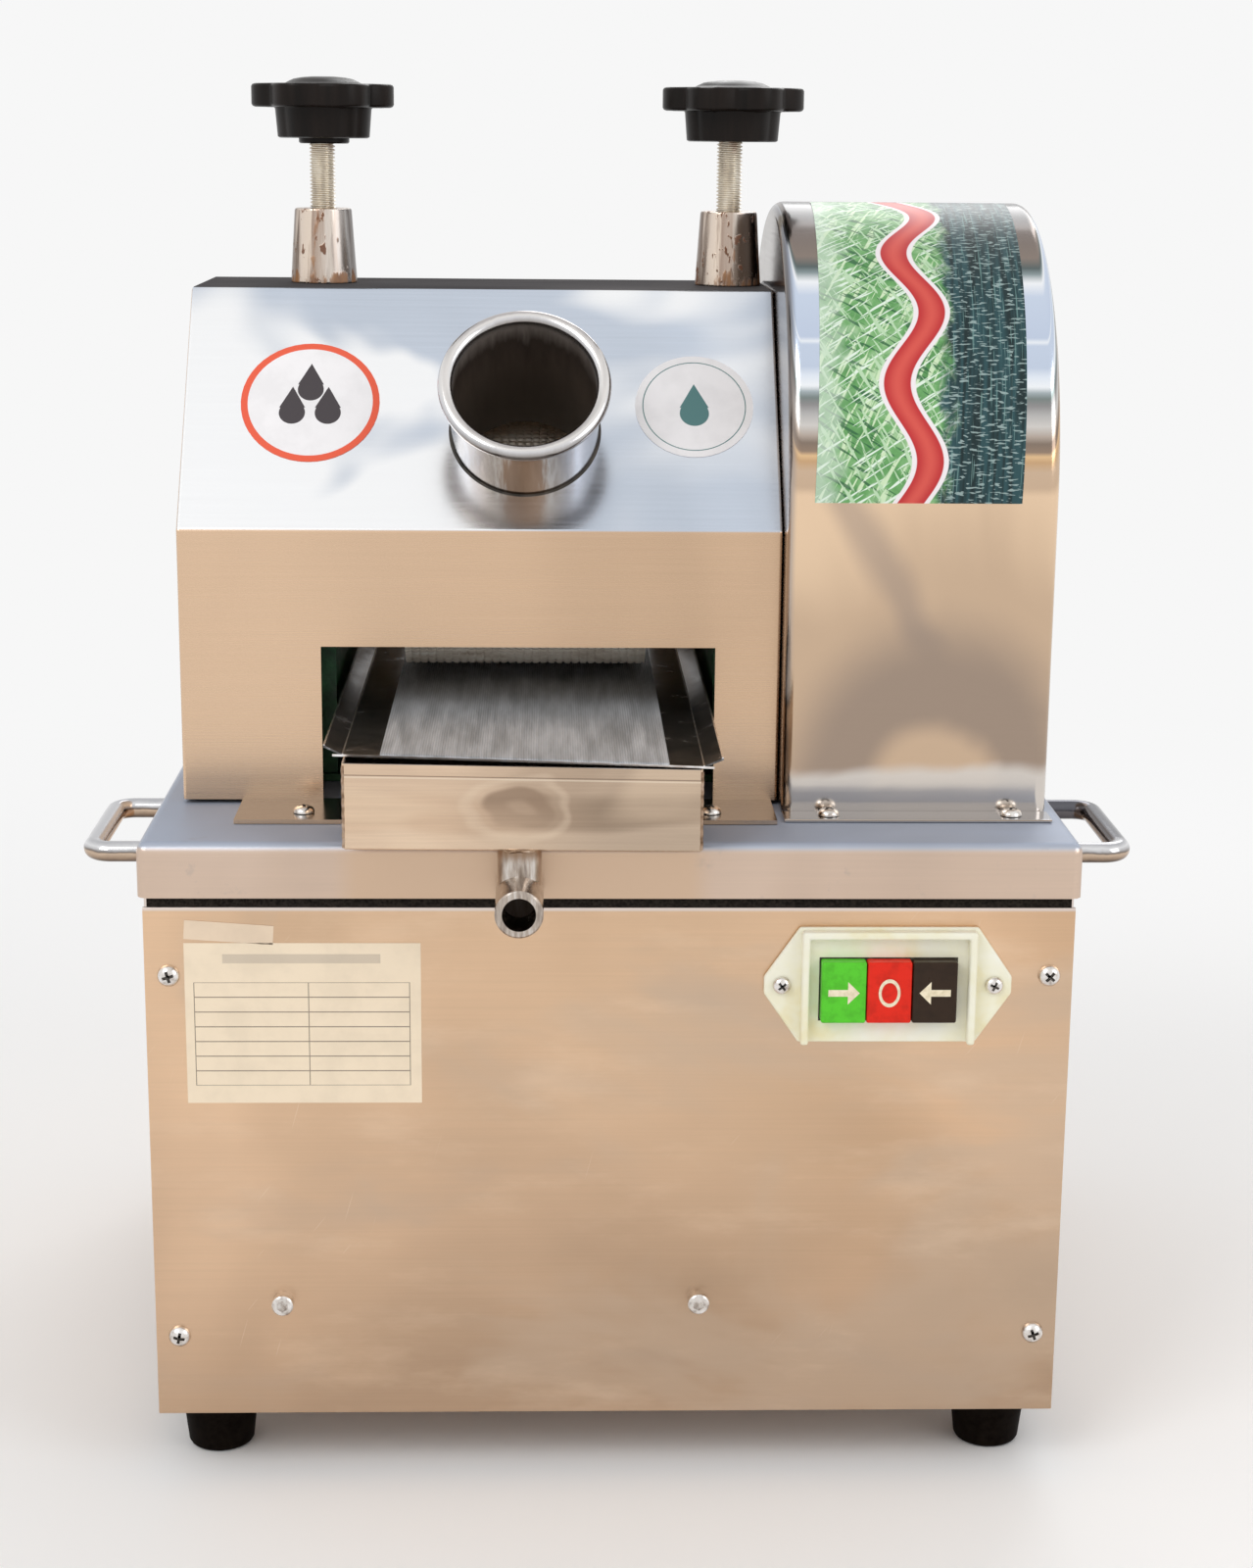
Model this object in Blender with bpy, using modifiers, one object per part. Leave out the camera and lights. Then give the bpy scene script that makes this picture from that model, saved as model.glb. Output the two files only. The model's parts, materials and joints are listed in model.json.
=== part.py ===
"""Desktop electric cane juicer: a sheet-steel cabinet, a three-roller mill and its drive.

Metres, +Z up, the front faces -Y. The origin is on the floor under the middle of the
machine's bounding box.
"""
import math

import bmesh
import bpy
from mathutils import Matrix, Vector

for old in list(bpy.data.objects):
    bpy.data.objects.remove(old, do_unlink=True)

# Clearances
GAP = 0.0003
RUNNING_GAP = 0.0004
SLIDE_GAP = 0.0005

# How far joined shapes run into each other, and how far a cutter runs past what it cuts
JOIN_DEPTH = 0.001
CUT_PAST = 0.003

# Sheet metal
SHEET = 0.0015
EDGE_ROUND = 0.0004

# Deck and cabinet
DECK_WIDTH = 0.430
DECK_DEPTH = 0.407
DECK_LIP = 0.0257
DECK_BEND = 0.005
LIP_SHADOW_GAP = 0.0053
PANEL_HEIGHT = 0.250
PANEL_SETBACK = 0.004
CABINET_INSET = 0.002
CABINET_FLANGE = 0.030
CABINET_BEND = 0.004
BASE_TRAY_WALL = 0.020
REAR_PANEL_DROP = 0.004

# Feet
FOOT_HEIGHT = 0.031
FOOT_TOP_RADIUS = 0.018
FOOT_BOTTOM_RADIUS = 0.0155
FOOT_CHAMFER = 0.0015
FOOT_TAPER_START = 0.017
FOOT_FROM_EDGE_X = 0.027
FOOT_FROM_EDGE_Y = 0.040

# How far the spout reaches ahead of the deck, and the outlet chute behind it
FRONT_REACH = 0.048
REAR_REACH = 0.048

# Handles
HANDLE_ROD_RADIUS = 0.0048
HANDLE_REACH = 0.0252
HANDLE_LENGTH = 0.083
HANDLE_FROM_FRONT = 0.035
HANDLE_DROP = 0.013
HANDLE_BEND = 0.009

# Pan-head screws, their crown given as shares of the head's radius and height
PAN_CROWN_WIDTH = 0.66
PAN_CROWN_HEIGHT = 0.90
PAN_SIDE_HEIGHT = 0.30

# Front panel fasteners
PANEL_SCREW_FROM_EDGE = 0.0130
PANEL_SCREW_INSET_TOP = 0.0323
PANEL_SCREW_INSET_BOTTOM = 0.0400
PANEL_SCREW_HEAD = 0.0052
PANEL_SCREW_HEAD_HEIGHT = 0.0036
PANEL_SLOT_LENGTH = 0.0045
CAP_SCREW_LEFT_X = -0.1529
CAP_SCREW_RIGHT_X = 0.0424
CAP_SCREW_RISE = 0.0575
CAP_SCREW_HEAD = 0.0050
CAP_SCREW_HEAD_HEIGHT = 0.0065
CAP_SCREW_EDGE = 0.0005
CAP_SOCKET_RADIUS = 0.0027
CAP_SOCKET_DEPTH = 0.0036

# Push-button switch
SWITCH_X = 0.1273
SWITCH_WIDTH = 0.1142
SWITCH_HEIGHT = 0.0550
SWITCH_FLAT_WIDTH = 0.0820
SWITCH_END_HEIGHT = 0.0080
SWITCH_DROP = 0.0672
SWITCH_PLATE = 0.0025
SWITCH_RIM = 0.0052
SWITCH_RIM_WALL = 0.0035
SWITCH_RIM_ABOVE = 0.0060
SWITCH_RIM_BESIDE = 0.0040
SWITCH_HOUSING_DEPTH = 0.040
SWITCH_HOUSING_WALL = 0.004
SWITCH_SCREW_X = 0.0489
SWITCH_SCREW_HEAD = 0.0042
SWITCH_SCREW_HEAD_HEIGHT = 0.0028
SWITCH_SCREW_SHANK = 0.0018
SWITCH_SCREW_LENGTH = 0.0020
BUTTON_WIDTH = 0.0205
BUTTON_HEIGHT = 0.0290
BUTTON_PROUD = 0.0065
BUTTON_DEPTH = 0.016
BUTTON_TRAVEL = 0.004
BUTTON_DROP = 0.0018
BUTTON_ROUND = 0.0008

# Mill hood
HOOD_MARGIN_LEFT = 0.0518
HOOD_MARGIN_RIGHT = 0.0107
HOOD_DEPTH = 0.257
HOOD_SHOULDER = 0.131
HOOD_HEIGHT = 0.238
HOOD_TOP_DEPTH = 0.089
HOOD_BEND = 0.0015
HOOD_FLOAT = 0.0020
OPENING_GAP_LEFT = 0.0075
OPENING_GAP_RIGHT = 0.0019
OPENING_TOP = 0.076
OUTLET_GAP = 0.004
OUTLET_HEIGHT = 0.062
SHAFT_HOLE_GAP = 0.002
HOOD_FLANGE_INSET_LEFT = 0.0282
HOOD_FLANGE_INSET_RIGHT = 0.0033
HOOD_FLANGE_REACH = 0.0404
HOOD_FLANGE_SHEET = 0.0020
BASE_BOLT_FROM_EDGE = 0.0140
BASE_BOLT_INSET_LEFT = 0.0312
BASE_BOLT_INSET_RIGHT = 0.0302
BOLT_HEAD = 0.0050
BOLT_HEAD_HEIGHT = 0.0034
BOLT_SHANK = 0.0026

# Gear cover
COVER_WIDTH = 0.1257
COVER_GAP = 0.0004
COVER_CLEARANCE = 0.02535
COVER_ARCH_HEIGHT = 0.1505
COVER_ARCH_FORWARD = 0.019
COVER_BEND = 0.006
COVER_FLANGE_REACH = 0.0160
COVER_BOLT_LEFT = 0.0214
COVER_BOLT_RIGHT = 0.1076

# Mill
MILL_X = -0.0402
SCREW_SPACING = 0.2028
CHEEK_THICKNESS = 0.018
CHEEK_DEPTH = 0.160
CHEEK_CLEARANCE = 0.0060
CHEEK_SHOULDER = 0.178
CHEEK_TOP_DEPTH = 0.080
MILL_BASE_THICKNESS = 0.0034
MILL_BASE_MARGIN_LEFT = 0.010
MILL_BASE_MARGIN_RIGHT = 0.005
MILL_BASE_MARGIN_ENDS = 0.004
ROLLER_RADIUS = 0.032
ROLLER_TO_CHEEK = 0.0328
ROLLER_NIP = 0.0034
ROLLER_OVER_STRAINER = 0.0037
LOWER_ROLLER_SPREAD = 0.008
FLUTES = 48
FLUTE_DEPTH = 0.0009
JOURNAL_RADIUS = 0.015
SHAFT_STUB = 0.003
BLOCK_DEPTH = 0.050
BLOCK_HEIGHT = 0.060
PRESSURE_LIFT = 0.0020
BLOCK_HEADROOM = 0.008
TURN_PLATE_CLEARANCE = 0.0020
TURN_PLATE_TOP_GAP = 0.0040
TURN_PLATE_HEIGHT = 0.040
TURN_PLATE_HALF_WIDTH = 0.0128
TURN_PLATE_CURVED_HEIGHT = 0.0224

# Pressure screws
SCREW_RADIUS = 0.0060
SCREW_BORE_GAP = 0.0007
BOSS_HEIGHT = 0.0362
BOSS_BOTTOM_RADIUS = 0.0165
BOSS_TOP_RADIUS = 0.0142
BOSS_EDGE = 0.001
SCREW_SHOWING = 0.0339
KNOB_HUB_RADIUS = 0.0240
KNOB_HUB_FOOT_RADIUS = 0.0230
KNOB_HUB_HEIGHT = 0.0146
KNOB_RIM_HEIGHT = 0.0114
KNOB_DOME = 0.0036
KNOB_DOME_RADIUS = 0.0168
KNOB_LOBES = 7
KNOB_LOBE_RADIUS = 0.0356
KNOB_WAIST_RADIUS = 0.0312
KNOB_LOBE_SHAPE = 0.6
KNOB_LOBE_STEPS = 6
KNOB_SOCKET_DEPTH = 0.012

# Roller gears
GEAR_TEETH = 14
GEAR_PRESSURE_ANGLE = math.radians(20)
GEAR_ADDENDUM = 0.0038
GEAR_DEDENDUM = 0.0052
GEAR_BACKLASH = 0.0014
GEAR_WIDTH = 0.025
GEAR_FROM_COVER = 0.007
GEAR_SHAFT_END = 0.004

# Chain drive
CHAIN_PITCH = 0.0127
BULL_TEETH = 46
DRIVE_TEETH = 16
SPROCKET_WIDTH = 0.0072
SPROCKET_TIP = 0.0028
SPROCKET_ROOT = 0.0042
SPROCKET_TOOTH_SHARE = 0.12
SPROCKET_SHAFT_END = 0.006
CHAIN_THICKNESS = 0.006
CHAIN_WIDTH = 0.014
CHAIN_SLOT_MARGIN = 0.006
HUB_RADIUS = 0.024
HUB_LENGTH = 0.016
HUB_TO_GEAR = 0.0112

# Motor and gearbox
MOTOR_HEIGHT = 0.086
MOTOR_RADIUS = 0.068
MOTOR_LENGTH = 0.150
MOTOR_FINS = 20
MOTOR_FIN_DEPTH = 0.004
MOTOR_FOOT_INSET = 0.025
MOTOR_FOOT_HALF = 0.0544
MOTOR_FOOT_TOP = 0.034
COWL_LENGTH = 0.042
COWL_WALL = 0.002
ROTOR_SHAFT_RADIUS = 0.009
ROTOR_ENGAGEMENT = 0.020
ROTOR_STUB = 0.004
FAN_RADIUS = 0.054
FAN_HUB_RADIUS = 0.0216
FAN_WIDTH = 0.021
FAN_FROM_MOTOR = 0.006
FAN_BLADES = 8
GEARBOX_LENGTH = 0.105
GEARBOX_WIDTH = 0.140
GEARBOX_HEIGHT = 0.150
GEARBOX_ROUND = 0.006
GEARBOX_BOSS_RADIUS = 0.034
GEARBOX_BOSS_LENGTH = 0.012
GEARBOX_TO_SPROCKET = 0.008
OUTPUT_SHAFT_RADIUS = 0.014
SHAFT_ENGAGEMENT = 0.040
CAPACITOR_RADIUS = 0.022
CAPACITOR_HEIGHT = 0.080
CAPACITOR_EDGE = 0.002
CAPACITOR_X = -0.150
CAPACITOR_FROM_FRONT = 0.060

# Feed tube
TUBE_RADIUS = 0.035
TUBE_WALL = 0.0015
TUBE_OUT = 0.0430
TUBE_IN = 0.0450
TUBE_UP_INCLINE = 0.0549
TUBE_HOLE_GAP = 0.0008
TUBE_COLLAR_REACH = 0.009
BEAD_RADIUS = 0.0034
BEAD_END_ANGLE = math.radians(-105)

# Juice tray, spout and strainer
TRAY_HEIGHT = 0.0390
TRAY_SHEET = 0.0012
TRAY_BEND = 0.0012
TRAY_FRONT_REACH = 0.026
TRAY_LENGTH = 0.311
SPOUT_RADIUS = 0.0100
SPOUT_MOUTH_RADIUS = 0.01075
SPOUT_BORE = 0.0075
SPOUT_DROP = 0.0235
SPOUT_FROM_TRAY_FRONT = 0.0115
STRAINER_SHEET = 0.0010
STRAINER_WING = 0.0089
STRAINER_RISE = 0.0040
STRAINER_TO_CHEEK = 0.0041
STRAINER_REACH = 0.012
STRAINER_END_GAP = 0.0010

# Outlet chute
CHUTE_MARGIN = 0.0044
CHUTE_WALL = 0.014
CHUTE_BEND = 0.002
CHUTE_FROM_ROLLER = 0.012
CHUTE_UNDER_AXIS = 0.016
CHUTE_SLOPE = math.radians(14)

# Cable gland and vents
GLAND_X = 0.150
GLAND_RISE = 0.044
GLAND_RADIUS = 0.011
GLAND_NOSE_RADIUS = 0.0088
GLAND_NOSE_LENGTH = 0.003
GLAND_NECK_RADIUS = 0.0077
GLAND_LENGTH = 0.018
GLAND_BORE = 0.0045
VENT_COUNT = 6
VENT_LENGTH = 0.110
VENT_WIDTH = 0.005
VENT_PITCH = 0.018
VENT_DROP = 0.075

# Heights and depths of the cabinet that follow from the sizes above
WALL_CUT = 2 * (SHEET + CUT_PAST)
DECK_TOP = FOOT_HEIGHT + PANEL_HEIGHT + LIP_SHADOW_GAP + DECK_LIP
DECK_FRONT = -(DECK_DEPTH + REAR_REACH - FRONT_REACH) / 2
DECK_BACK = DECK_FRONT + DECK_DEPTH
DECK_UNDERSIDE = DECK_TOP - SHEET
MILL_Y = DECK_FRONT + DECK_DEPTH / 2
CABINET_HALF = DECK_WIDTH / 2 - CABINET_INSET
PANEL_FACE = DECK_FRONT + PANEL_SETBACK
PANEL_BACK = PANEL_FACE + SHEET
REAR_FACE = DECK_BACK - PANEL_SETBACK
PANEL_TOP = FOOT_HEIGHT + PANEL_HEIGHT
BASE_TRAY_FLOOR = FOOT_HEIGHT + SHEET + GAP
BASE_TRAY_TOP = BASE_TRAY_FLOOR + SHEET
SWITCH_Z = DECK_TOP - SWITCH_DROP
SWITCH_FACE = PANEL_FACE - GAP - SWITCH_PLATE

# Mill widths, from the cheeks to the rollers, strainer, tray and chute
CHEEK_INNER = SCREW_SPACING / 2 - CHEEK_THICKNESS / 2
CHEEK_OUTER = SCREW_SPACING / 2 + CHEEK_THICKNESS / 2
ROLLER_LENGTH = 2 * (CHEEK_INNER - ROLLER_TO_CHEEK)
STRAINER_HALF = CHEEK_INNER - STRAINER_TO_CHEEK
TRAY_WIDTH = 2 * (STRAINER_HALF - STRAINER_WING)
CHUTE_WIDTH = ROLLER_LENGTH + 2 * CHUTE_MARGIN
HOOD_LEFT = MILL_X - CHEEK_OUTER - HOOD_MARGIN_LEFT
HOOD_RIGHT = MILL_X + CHEEK_OUTER + HOOD_MARGIN_RIGHT
HOOD_FRONT = MILL_Y - HOOD_DEPTH / 2
HOOD_BACK = MILL_Y + HOOD_DEPTH / 2
HOOD_TOP = DECK_TOP + HOOD_HEIGHT
HOOD_FLANGE_LEFT = HOOD_LEFT + HOOD_FLANGE_INSET_LEFT
HOOD_FLANGE_RIGHT = HOOD_RIGHT - HOOD_FLANGE_INSET_RIGHT
HOOD_FLANGE_TOP = DECK_TOP + GAP + HOOD_FLANGE_SHEET
BASE_BOLT_LEFT_X = HOOD_FLANGE_LEFT + BASE_BOLT_INSET_LEFT
BASE_BOLT_RIGHT_X = HOOD_FLANGE_RIGHT - BASE_BOLT_INSET_RIGHT
BASE_BOLT_Y = HOOD_FRONT - HOOD_FLANGE_REACH + BASE_BOLT_FROM_EDGE

# Mill heights, from the deck up through the tray and rollers to the knobs
MILL_BASE_TOP = DECK_TOP + GAP + MILL_BASE_THICKNESS
CHEEK_BOTTOM = MILL_BASE_TOP + GAP
TRAY_BOTTOM = MILL_BASE_TOP + GAP
TRAY_TOP = TRAY_BOTTOM + TRAY_HEIGHT
TRAY_FRONT = DECK_FRONT - TRAY_FRONT_REACH
STRAINER_BOTTOM = TRAY_TOP + GAP
STRAINER_TOP = STRAINER_BOTTOM + STRAINER_RISE + STRAINER_SHEET
LOWER_Z = STRAINER_TOP + ROLLER_OVER_STRAINER + ROLLER_RADIUS
LOWER_ROLLER_HEIGHT = LOWER_Z - DECK_TOP
LOWER_ROLLER_OFFSET = ROLLER_RADIUS + LOWER_ROLLER_SPREAD
ROLLER_CENTRES = 2 * ROLLER_RADIUS + ROLLER_NIP
TOP_RISE = math.sqrt(ROLLER_CENTRES ** 2 - LOWER_ROLLER_OFFSET ** 2)
TOP_Z = LOWER_Z + TOP_RISE
FRONT_ROLLER_Y = MILL_Y - LOWER_ROLLER_OFFSET
REAR_ROLLER_Y = MILL_Y + LOWER_ROLLER_OFFSET
BLOCK_BOTTOM = TOP_Z - BLOCK_HEIGHT / 2
BLOCK_TOP = TOP_Z + BLOCK_HEIGHT / 2
KNOB_BOTTOM = HOOD_TOP + GAP + BOSS_HEIGHT + SCREW_SHOWING
KNOB_SOCKET_TOP = KNOB_BOTTOM + KNOB_SOCKET_DEPTH
CHUTE_START = LOWER_ROLLER_OFFSET + ROLLER_RADIUS + CHUTE_FROM_ROLLER

# Drive, from the gears and chain to the motor
MOTOR_Z = BASE_TRAY_TOP + GAP + MOTOR_HEIGHT
BULL_RADIUS = CHAIN_PITCH / (2 * math.sin(math.pi / BULL_TEETH))
DRIVE_RADIUS = CHAIN_PITCH / (2 * math.sin(math.pi / DRIVE_TEETH))
CHAIN_UPPER = BULL_RADIUS + SPROCKET_TIP + GAP + PRESSURE_LIFT
CHAIN_LOWER = DRIVE_RADIUS + SPROCKET_TIP + GAP
COVER_RADIUS = CHAIN_UPPER + CHAIN_THICKNESS + COVER_CLEARANCE
COVER_LEFT = HOOD_RIGHT + COVER_GAP
COVER_RIGHT = COVER_LEFT + COVER_WIDTH
COVER_Y = MILL_Y - COVER_ARCH_FORWARD
COVER_BOLT_Y = COVER_Y - COVER_RADIUS - COVER_FLANGE_REACH / 2
GEAR_LEFT = COVER_LEFT + GEAR_FROM_COVER
GEAR_RIGHT = GEAR_LEFT + GEAR_WIDTH
GEAR_X = (GEAR_LEFT + GEAR_RIGHT) / 2
HUB_LEFT = GEAR_RIGHT + HUB_TO_GEAR
SPROCKET_X = HUB_LEFT + HUB_LENGTH + SPROCKET_WIDTH / 4
SPROCKET_END = SPROCKET_X + SPROCKET_WIDTH / 2 + SPROCKET_SHAFT_END
GEARBOX_FACE = SPROCKET_X - SPROCKET_WIDTH / 2 - GEARBOX_TO_SPROCKET

# Plain directions
AXIS_X = Matrix(((0, 0, 1, 0), (1, 0, 0, 0), (0, 1, 0, 0), (0, 0, 0, 1)))
AXIS_FRONT = Matrix(((1, 0, 0, 0), (0, 0, -1, 0), (0, 1, 0, 0), (0, 0, 0, 1)))
AXIS_Z = Matrix.Identity(4)
ROUND = 24

parts = bpy.data.collections.new("cane_juicer")
cutters = bpy.data.collections.new("cutters")
bpy.context.scene.collection.children.link(parts)
bpy.context.scene.collection.children.link(cutters)


def finish(name, colour, roughness, metallic):
    """A plain Principled material."""
    material = bpy.data.materials.new(name)
    material.use_nodes = True
    shader = material.node_tree.nodes["Principled BSDF"]
    shader.inputs["Base Color"].default_value = (*colour, 1)
    shader.inputs["Roughness"].default_value = roughness
    shader.inputs["Metallic"].default_value = metallic
    return material


BRUSHED = finish("brushed_steel", (0.62, 0.61, 0.60), 0.32, 1.0)
POLISHED = finish("polished_steel", (0.70, 0.69, 0.68), 0.14, 1.0)
DECK_STEEL = finish("deck_steel", (0.52, 0.54, 0.57), 0.42, 1.0)
CAST = finish("green_cast_iron", (0.04, 0.14, 0.07), 0.55, 0.0)
MACHINED = finish("machined_steel", (0.42, 0.41, 0.40), 0.40, 1.0)
ROLLER_STEEL = finish("roller_steel", (0.55, 0.50, 0.43), 0.38, 1.0)
GALVANISED = finish("galvanised_thread", (0.50, 0.50, 0.48), 0.45, 1.0)
KNOB_PLASTIC = finish("black_knob_plastic", (0.012, 0.012, 0.013), 0.35, 0.0)
RUBBER = finish("black_rubber", (0.015, 0.015, 0.015), 0.75, 0.0)
IVORY = finish("ivory_plastic", (0.78, 0.76, 0.60), 0.40, 0.0)
GREEN = finish("green_button_plastic", (0.05, 0.55, 0.10), 0.35, 0.0)
RED = finish("red_button_plastic", (0.55, 0.03, 0.02), 0.35, 0.0)
BLACK = finish("black_button_plastic", (0.03, 0.025, 0.02), 0.35, 0.0)
MOTOR_PAINT = finish("grey_motor_paint", (0.16, 0.20, 0.24), 0.50, 0.0)
CAPACITOR_SHELL = finish("capacitor_shell", (0.70, 0.70, 0.68), 0.45, 0.0)


def add_object(name, mesh, place, material, group=parts):
    """Put a mesh in the scene as one named object."""
    piece = bpy.data.objects.new(name, mesh)
    piece.matrix_world = place
    if material is not None:
        mesh.materials.append(material)
    group.objects.link(piece)
    return piece


def mesh_from(form, name):
    """Turn a bmesh into a mesh with soft shading on its round faces."""
    mesh = bpy.data.meshes.new(name)
    form.to_mesh(mesh)
    form.free()
    mesh.shade_smooth()
    mesh.set_sharp_from_angle(angle=math.radians(35))
    return mesh


def span(low, high):
    """Centre and size of a box given by its two corners."""
    low = Vector(low)
    high = Vector(high)
    return (low + high) / 2, high - low


def box(name, low, high, material=None, bevel=0.0, group=parts):
    """A block between two corners, its edges slightly rounded."""
    centre, size = span(low, high)
    form = bmesh.new()
    bmesh.ops.create_cube(form, size=1)
    bmesh.ops.scale(form, vec=size, verts=form.verts)
    if bevel:
        bmesh.ops.bevel(form, geom=form.edges[:], offset=bevel, segments=2, affect="EDGES", profile=0.5)
    return add_object(name, mesh_from(form, name), Matrix.Translation(centre), material, group)


def cylinder(name, centre, axis, radius, length, material=None, sides=ROUND, top=None, group=parts):
    """A cylinder or cone about an axis through its centre."""
    form = bmesh.new()
    end = radius if top is None else top
    bmesh.ops.create_cone(form, cap_ends=True, segments=sides, radius1=radius, radius2=end, depth=length)
    place = Matrix.Translation(centre) @ axis
    return add_object(name, mesh_from(form, name), place, material, group)


def pan(name, low, high, open_side, material, sheet=SHEET, bend=CABINET_BEND):
    """A folded sheet pan: a box without its face on open_side, given the sheet's thickness inwards."""
    centre, size = span(low, high)
    form = bmesh.new()
    bmesh.ops.create_cube(form, size=1)
    bmesh.ops.scale(form, vec=size, verts=form.verts)
    gone = [face for face in form.faces if face.normal.dot(Vector(open_side)) > 0.9]
    bmesh.ops.delete(form, geom=gone, context="FACES_ONLY")
    folds = [edge for edge in form.edges if len(edge.link_faces) == 2]
    bmesh.ops.bevel(form, geom=folds, offset=bend, segments=3, affect="EDGES", profile=0.5)
    piece = add_object(name, mesh_from(form, name), Matrix.Translation(centre), material)
    thicken(piece, sheet)
    return piece


def thicken(piece, sheet):
    """Give an open surface its sheet thickness, inwards."""
    wall = piece.modifiers.new("Sheet", "SOLIDIFY")
    wall.thickness = sheet
    wall.offset = -1
    wall.use_even_offset = True


def outline(name, loops, thickness, place, material=None, group=parts):
    """A flat outline, the first loop outside and the others holes, as thick as asked."""
    curve = bpy.data.curves.new(name, "CURVE")
    curve.dimensions = "2D"
    curve.fill_mode = "BOTH"
    curve.extrude = thickness / 2
    for loop in loops:
        spline = curve.splines.new("POLY")
        spline.points.add(len(loop) - 1)
        for point, (across, up) in zip(spline.points, loop):
            point.co = (across, up, 0, 1)
        spline.use_cyclic_u = True
    holder = bpy.data.objects.new(name + "_curve", curve)
    bpy.context.scene.collection.objects.link(holder)
    graph = bpy.context.evaluated_depsgraph_get()
    mesh = bpy.data.meshes.new_from_object(holder.evaluated_get(graph))
    bpy.data.objects.remove(holder, do_unlink=True)
    form = bmesh.new()
    form.from_mesh(mesh)
    bmesh.ops.remove_doubles(form, verts=form.verts, dist=0.00001)
    bmesh.ops.recalc_face_normals(form, faces=form.faces)
    bpy.data.meshes.remove(mesh)
    return add_object(name, mesh_from(form, name), place, material, group)


def turned(name, profile, place, material, closed=False, steps=ROUND, group=parts):
    """A turned shape from (radius, height) points, outer side top to bottom."""
    form = bmesh.new()
    points = [form.verts.new((radius, 0, height)) for radius, height in profile]
    for first, second in zip(points, points[1:]):
        form.edges.new((first, second))
    if closed:
        form.edges.new((points[-1], points[0]))
    mesh = bpy.data.meshes.new(name)
    form.to_mesh(mesh)
    form.free()
    piece = add_object(name, mesh, place, material, group)
    spin = piece.modifiers.new("Turn", "SCREW")
    spin.steps = steps
    spin.render_steps = steps
    spin.use_merge_vertices = True
    spin.merge_threshold = 0.00001
    return piece


def combine(piece, tools, operation):
    """Cut or join other shapes with a piece."""
    for tool in tools:
        for group in list(tool.users_collection):
            group.objects.unlink(tool)
        cutters.objects.link(tool)
        tool.hide_render = True
        tool.display_type = "WIRE"
        step = piece.modifiers.new(tool.name, "BOOLEAN")
        step.operation = operation
        step.solver = "EXACT"
        step.object = tool


def cut(piece, *tools):
    combine(piece, tools, "DIFFERENCE")


def join(piece, *tools):
    combine(piece, tools, "UNION")


def hole(name, centre, axis, radius, length, sides=ROUND):
    """A round cutter."""
    return cylinder(name, centre, axis, radius, length, sides=sides, group=cutters)


def block_tool(name, low, high):
    """A square cutter or a block to join on."""
    return box(name, low, high, group=cutters)


def circle(radius, centre=(0, 0), count=ROUND, start=0.0):
    """Points on a circle."""
    points = []
    for step in range(count):
        angle = start + 2 * math.pi * step / count
        points.append((centre[0] + radius * math.cos(angle), centre[1] + radius * math.sin(angle)))
    return points


def arc(centre, radius, first, last, count):
    """Points on an arc, both ends included, angles in radians."""
    points = []
    for step in range(count + 1):
        angle = first + (last - first) * step / count
        points.append((centre[0] + radius * math.cos(angle), centre[1] + radius * math.sin(angle)))
    return points


def at(x, y, z, axis=AXIS_Z):
    """A place in the world with a local Z along the axis."""
    return Matrix.Translation((x, y, z)) @ axis


# Cabinet

def build_side_panel(name, side):
    """One side of the cabinet, a pan with its returns turned inwards and a row of vents."""
    front = PANEL_BACK + GAP
    back = REAR_FACE - SHEET - GAP
    top = DECK_UNDERSIDE - GAP
    outer = side * CABINET_HALF
    inner = side * (CABINET_HALF - CABINET_FLANGE)
    low = (min(outer, inner), front, FOOT_HEIGHT)
    high = (max(outer, inner), back, top)
    panel = pan(name, low, high, (-side, 0, 0), BRUSHED)
    for index in range(VENT_COUNT):
        z = PANEL_TOP - VENT_DROP - index * VENT_PITCH
        low = (outer - WALL_CUT / 2, MILL_Y - VENT_LENGTH / 2, z - VENT_WIDTH / 2)
        high = (outer + WALL_CUT / 2, MILL_Y + VENT_LENGTH / 2, z + VENT_WIDTH / 2)
        cut(panel, block_tool(name + "_vent_" + str(index), low, high))


def build_rear_panel():
    """The flat rear sheet, with vents and the hole for the cable gland."""
    low = (-CABINET_HALF, REAR_FACE - SHEET, FOOT_HEIGHT)
    high = (CABINET_HALF, REAR_FACE, DECK_UNDERSIDE - REAR_PANEL_DROP)
    panel = box("rear_panel", low, high, BRUSHED, EDGE_ROUND)
    for index in range(VENT_COUNT):
        z = PANEL_TOP - VENT_DROP - index * VENT_PITCH
        low = (-VENT_LENGTH / 2, REAR_FACE - WALL_CUT / 2, z - VENT_WIDTH / 2)
        high = (VENT_LENGTH / 2, REAR_FACE + WALL_CUT / 2, z + VENT_WIDTH / 2)
        cut(panel, block_tool("rear_vent_" + str(index), low, high))
    centre = (GLAND_X, REAR_FACE, FOOT_HEIGHT + GLAND_RISE)
    cut(panel, hole("gland_hole", centre, AXIS_FRONT, GLAND_NECK_RADIUS + GAP, WALL_CUT))


def panel_screw_places():
    """Names and centres of the front panel's four corner screws."""
    top = PANEL_TOP - PANEL_SCREW_INSET_TOP
    bottom = FOOT_HEIGHT + PANEL_SCREW_INSET_BOTTOM
    across = DECK_WIDTH / 2 - PANEL_SCREW_FROM_EDGE
    return {
        "panel_screw_top_left": (-across, top),
        "panel_screw_top_right": (across, top),
        "panel_screw_bottom_left": (-across, bottom),
        "panel_screw_bottom_right": (across, bottom),
    }


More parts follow.
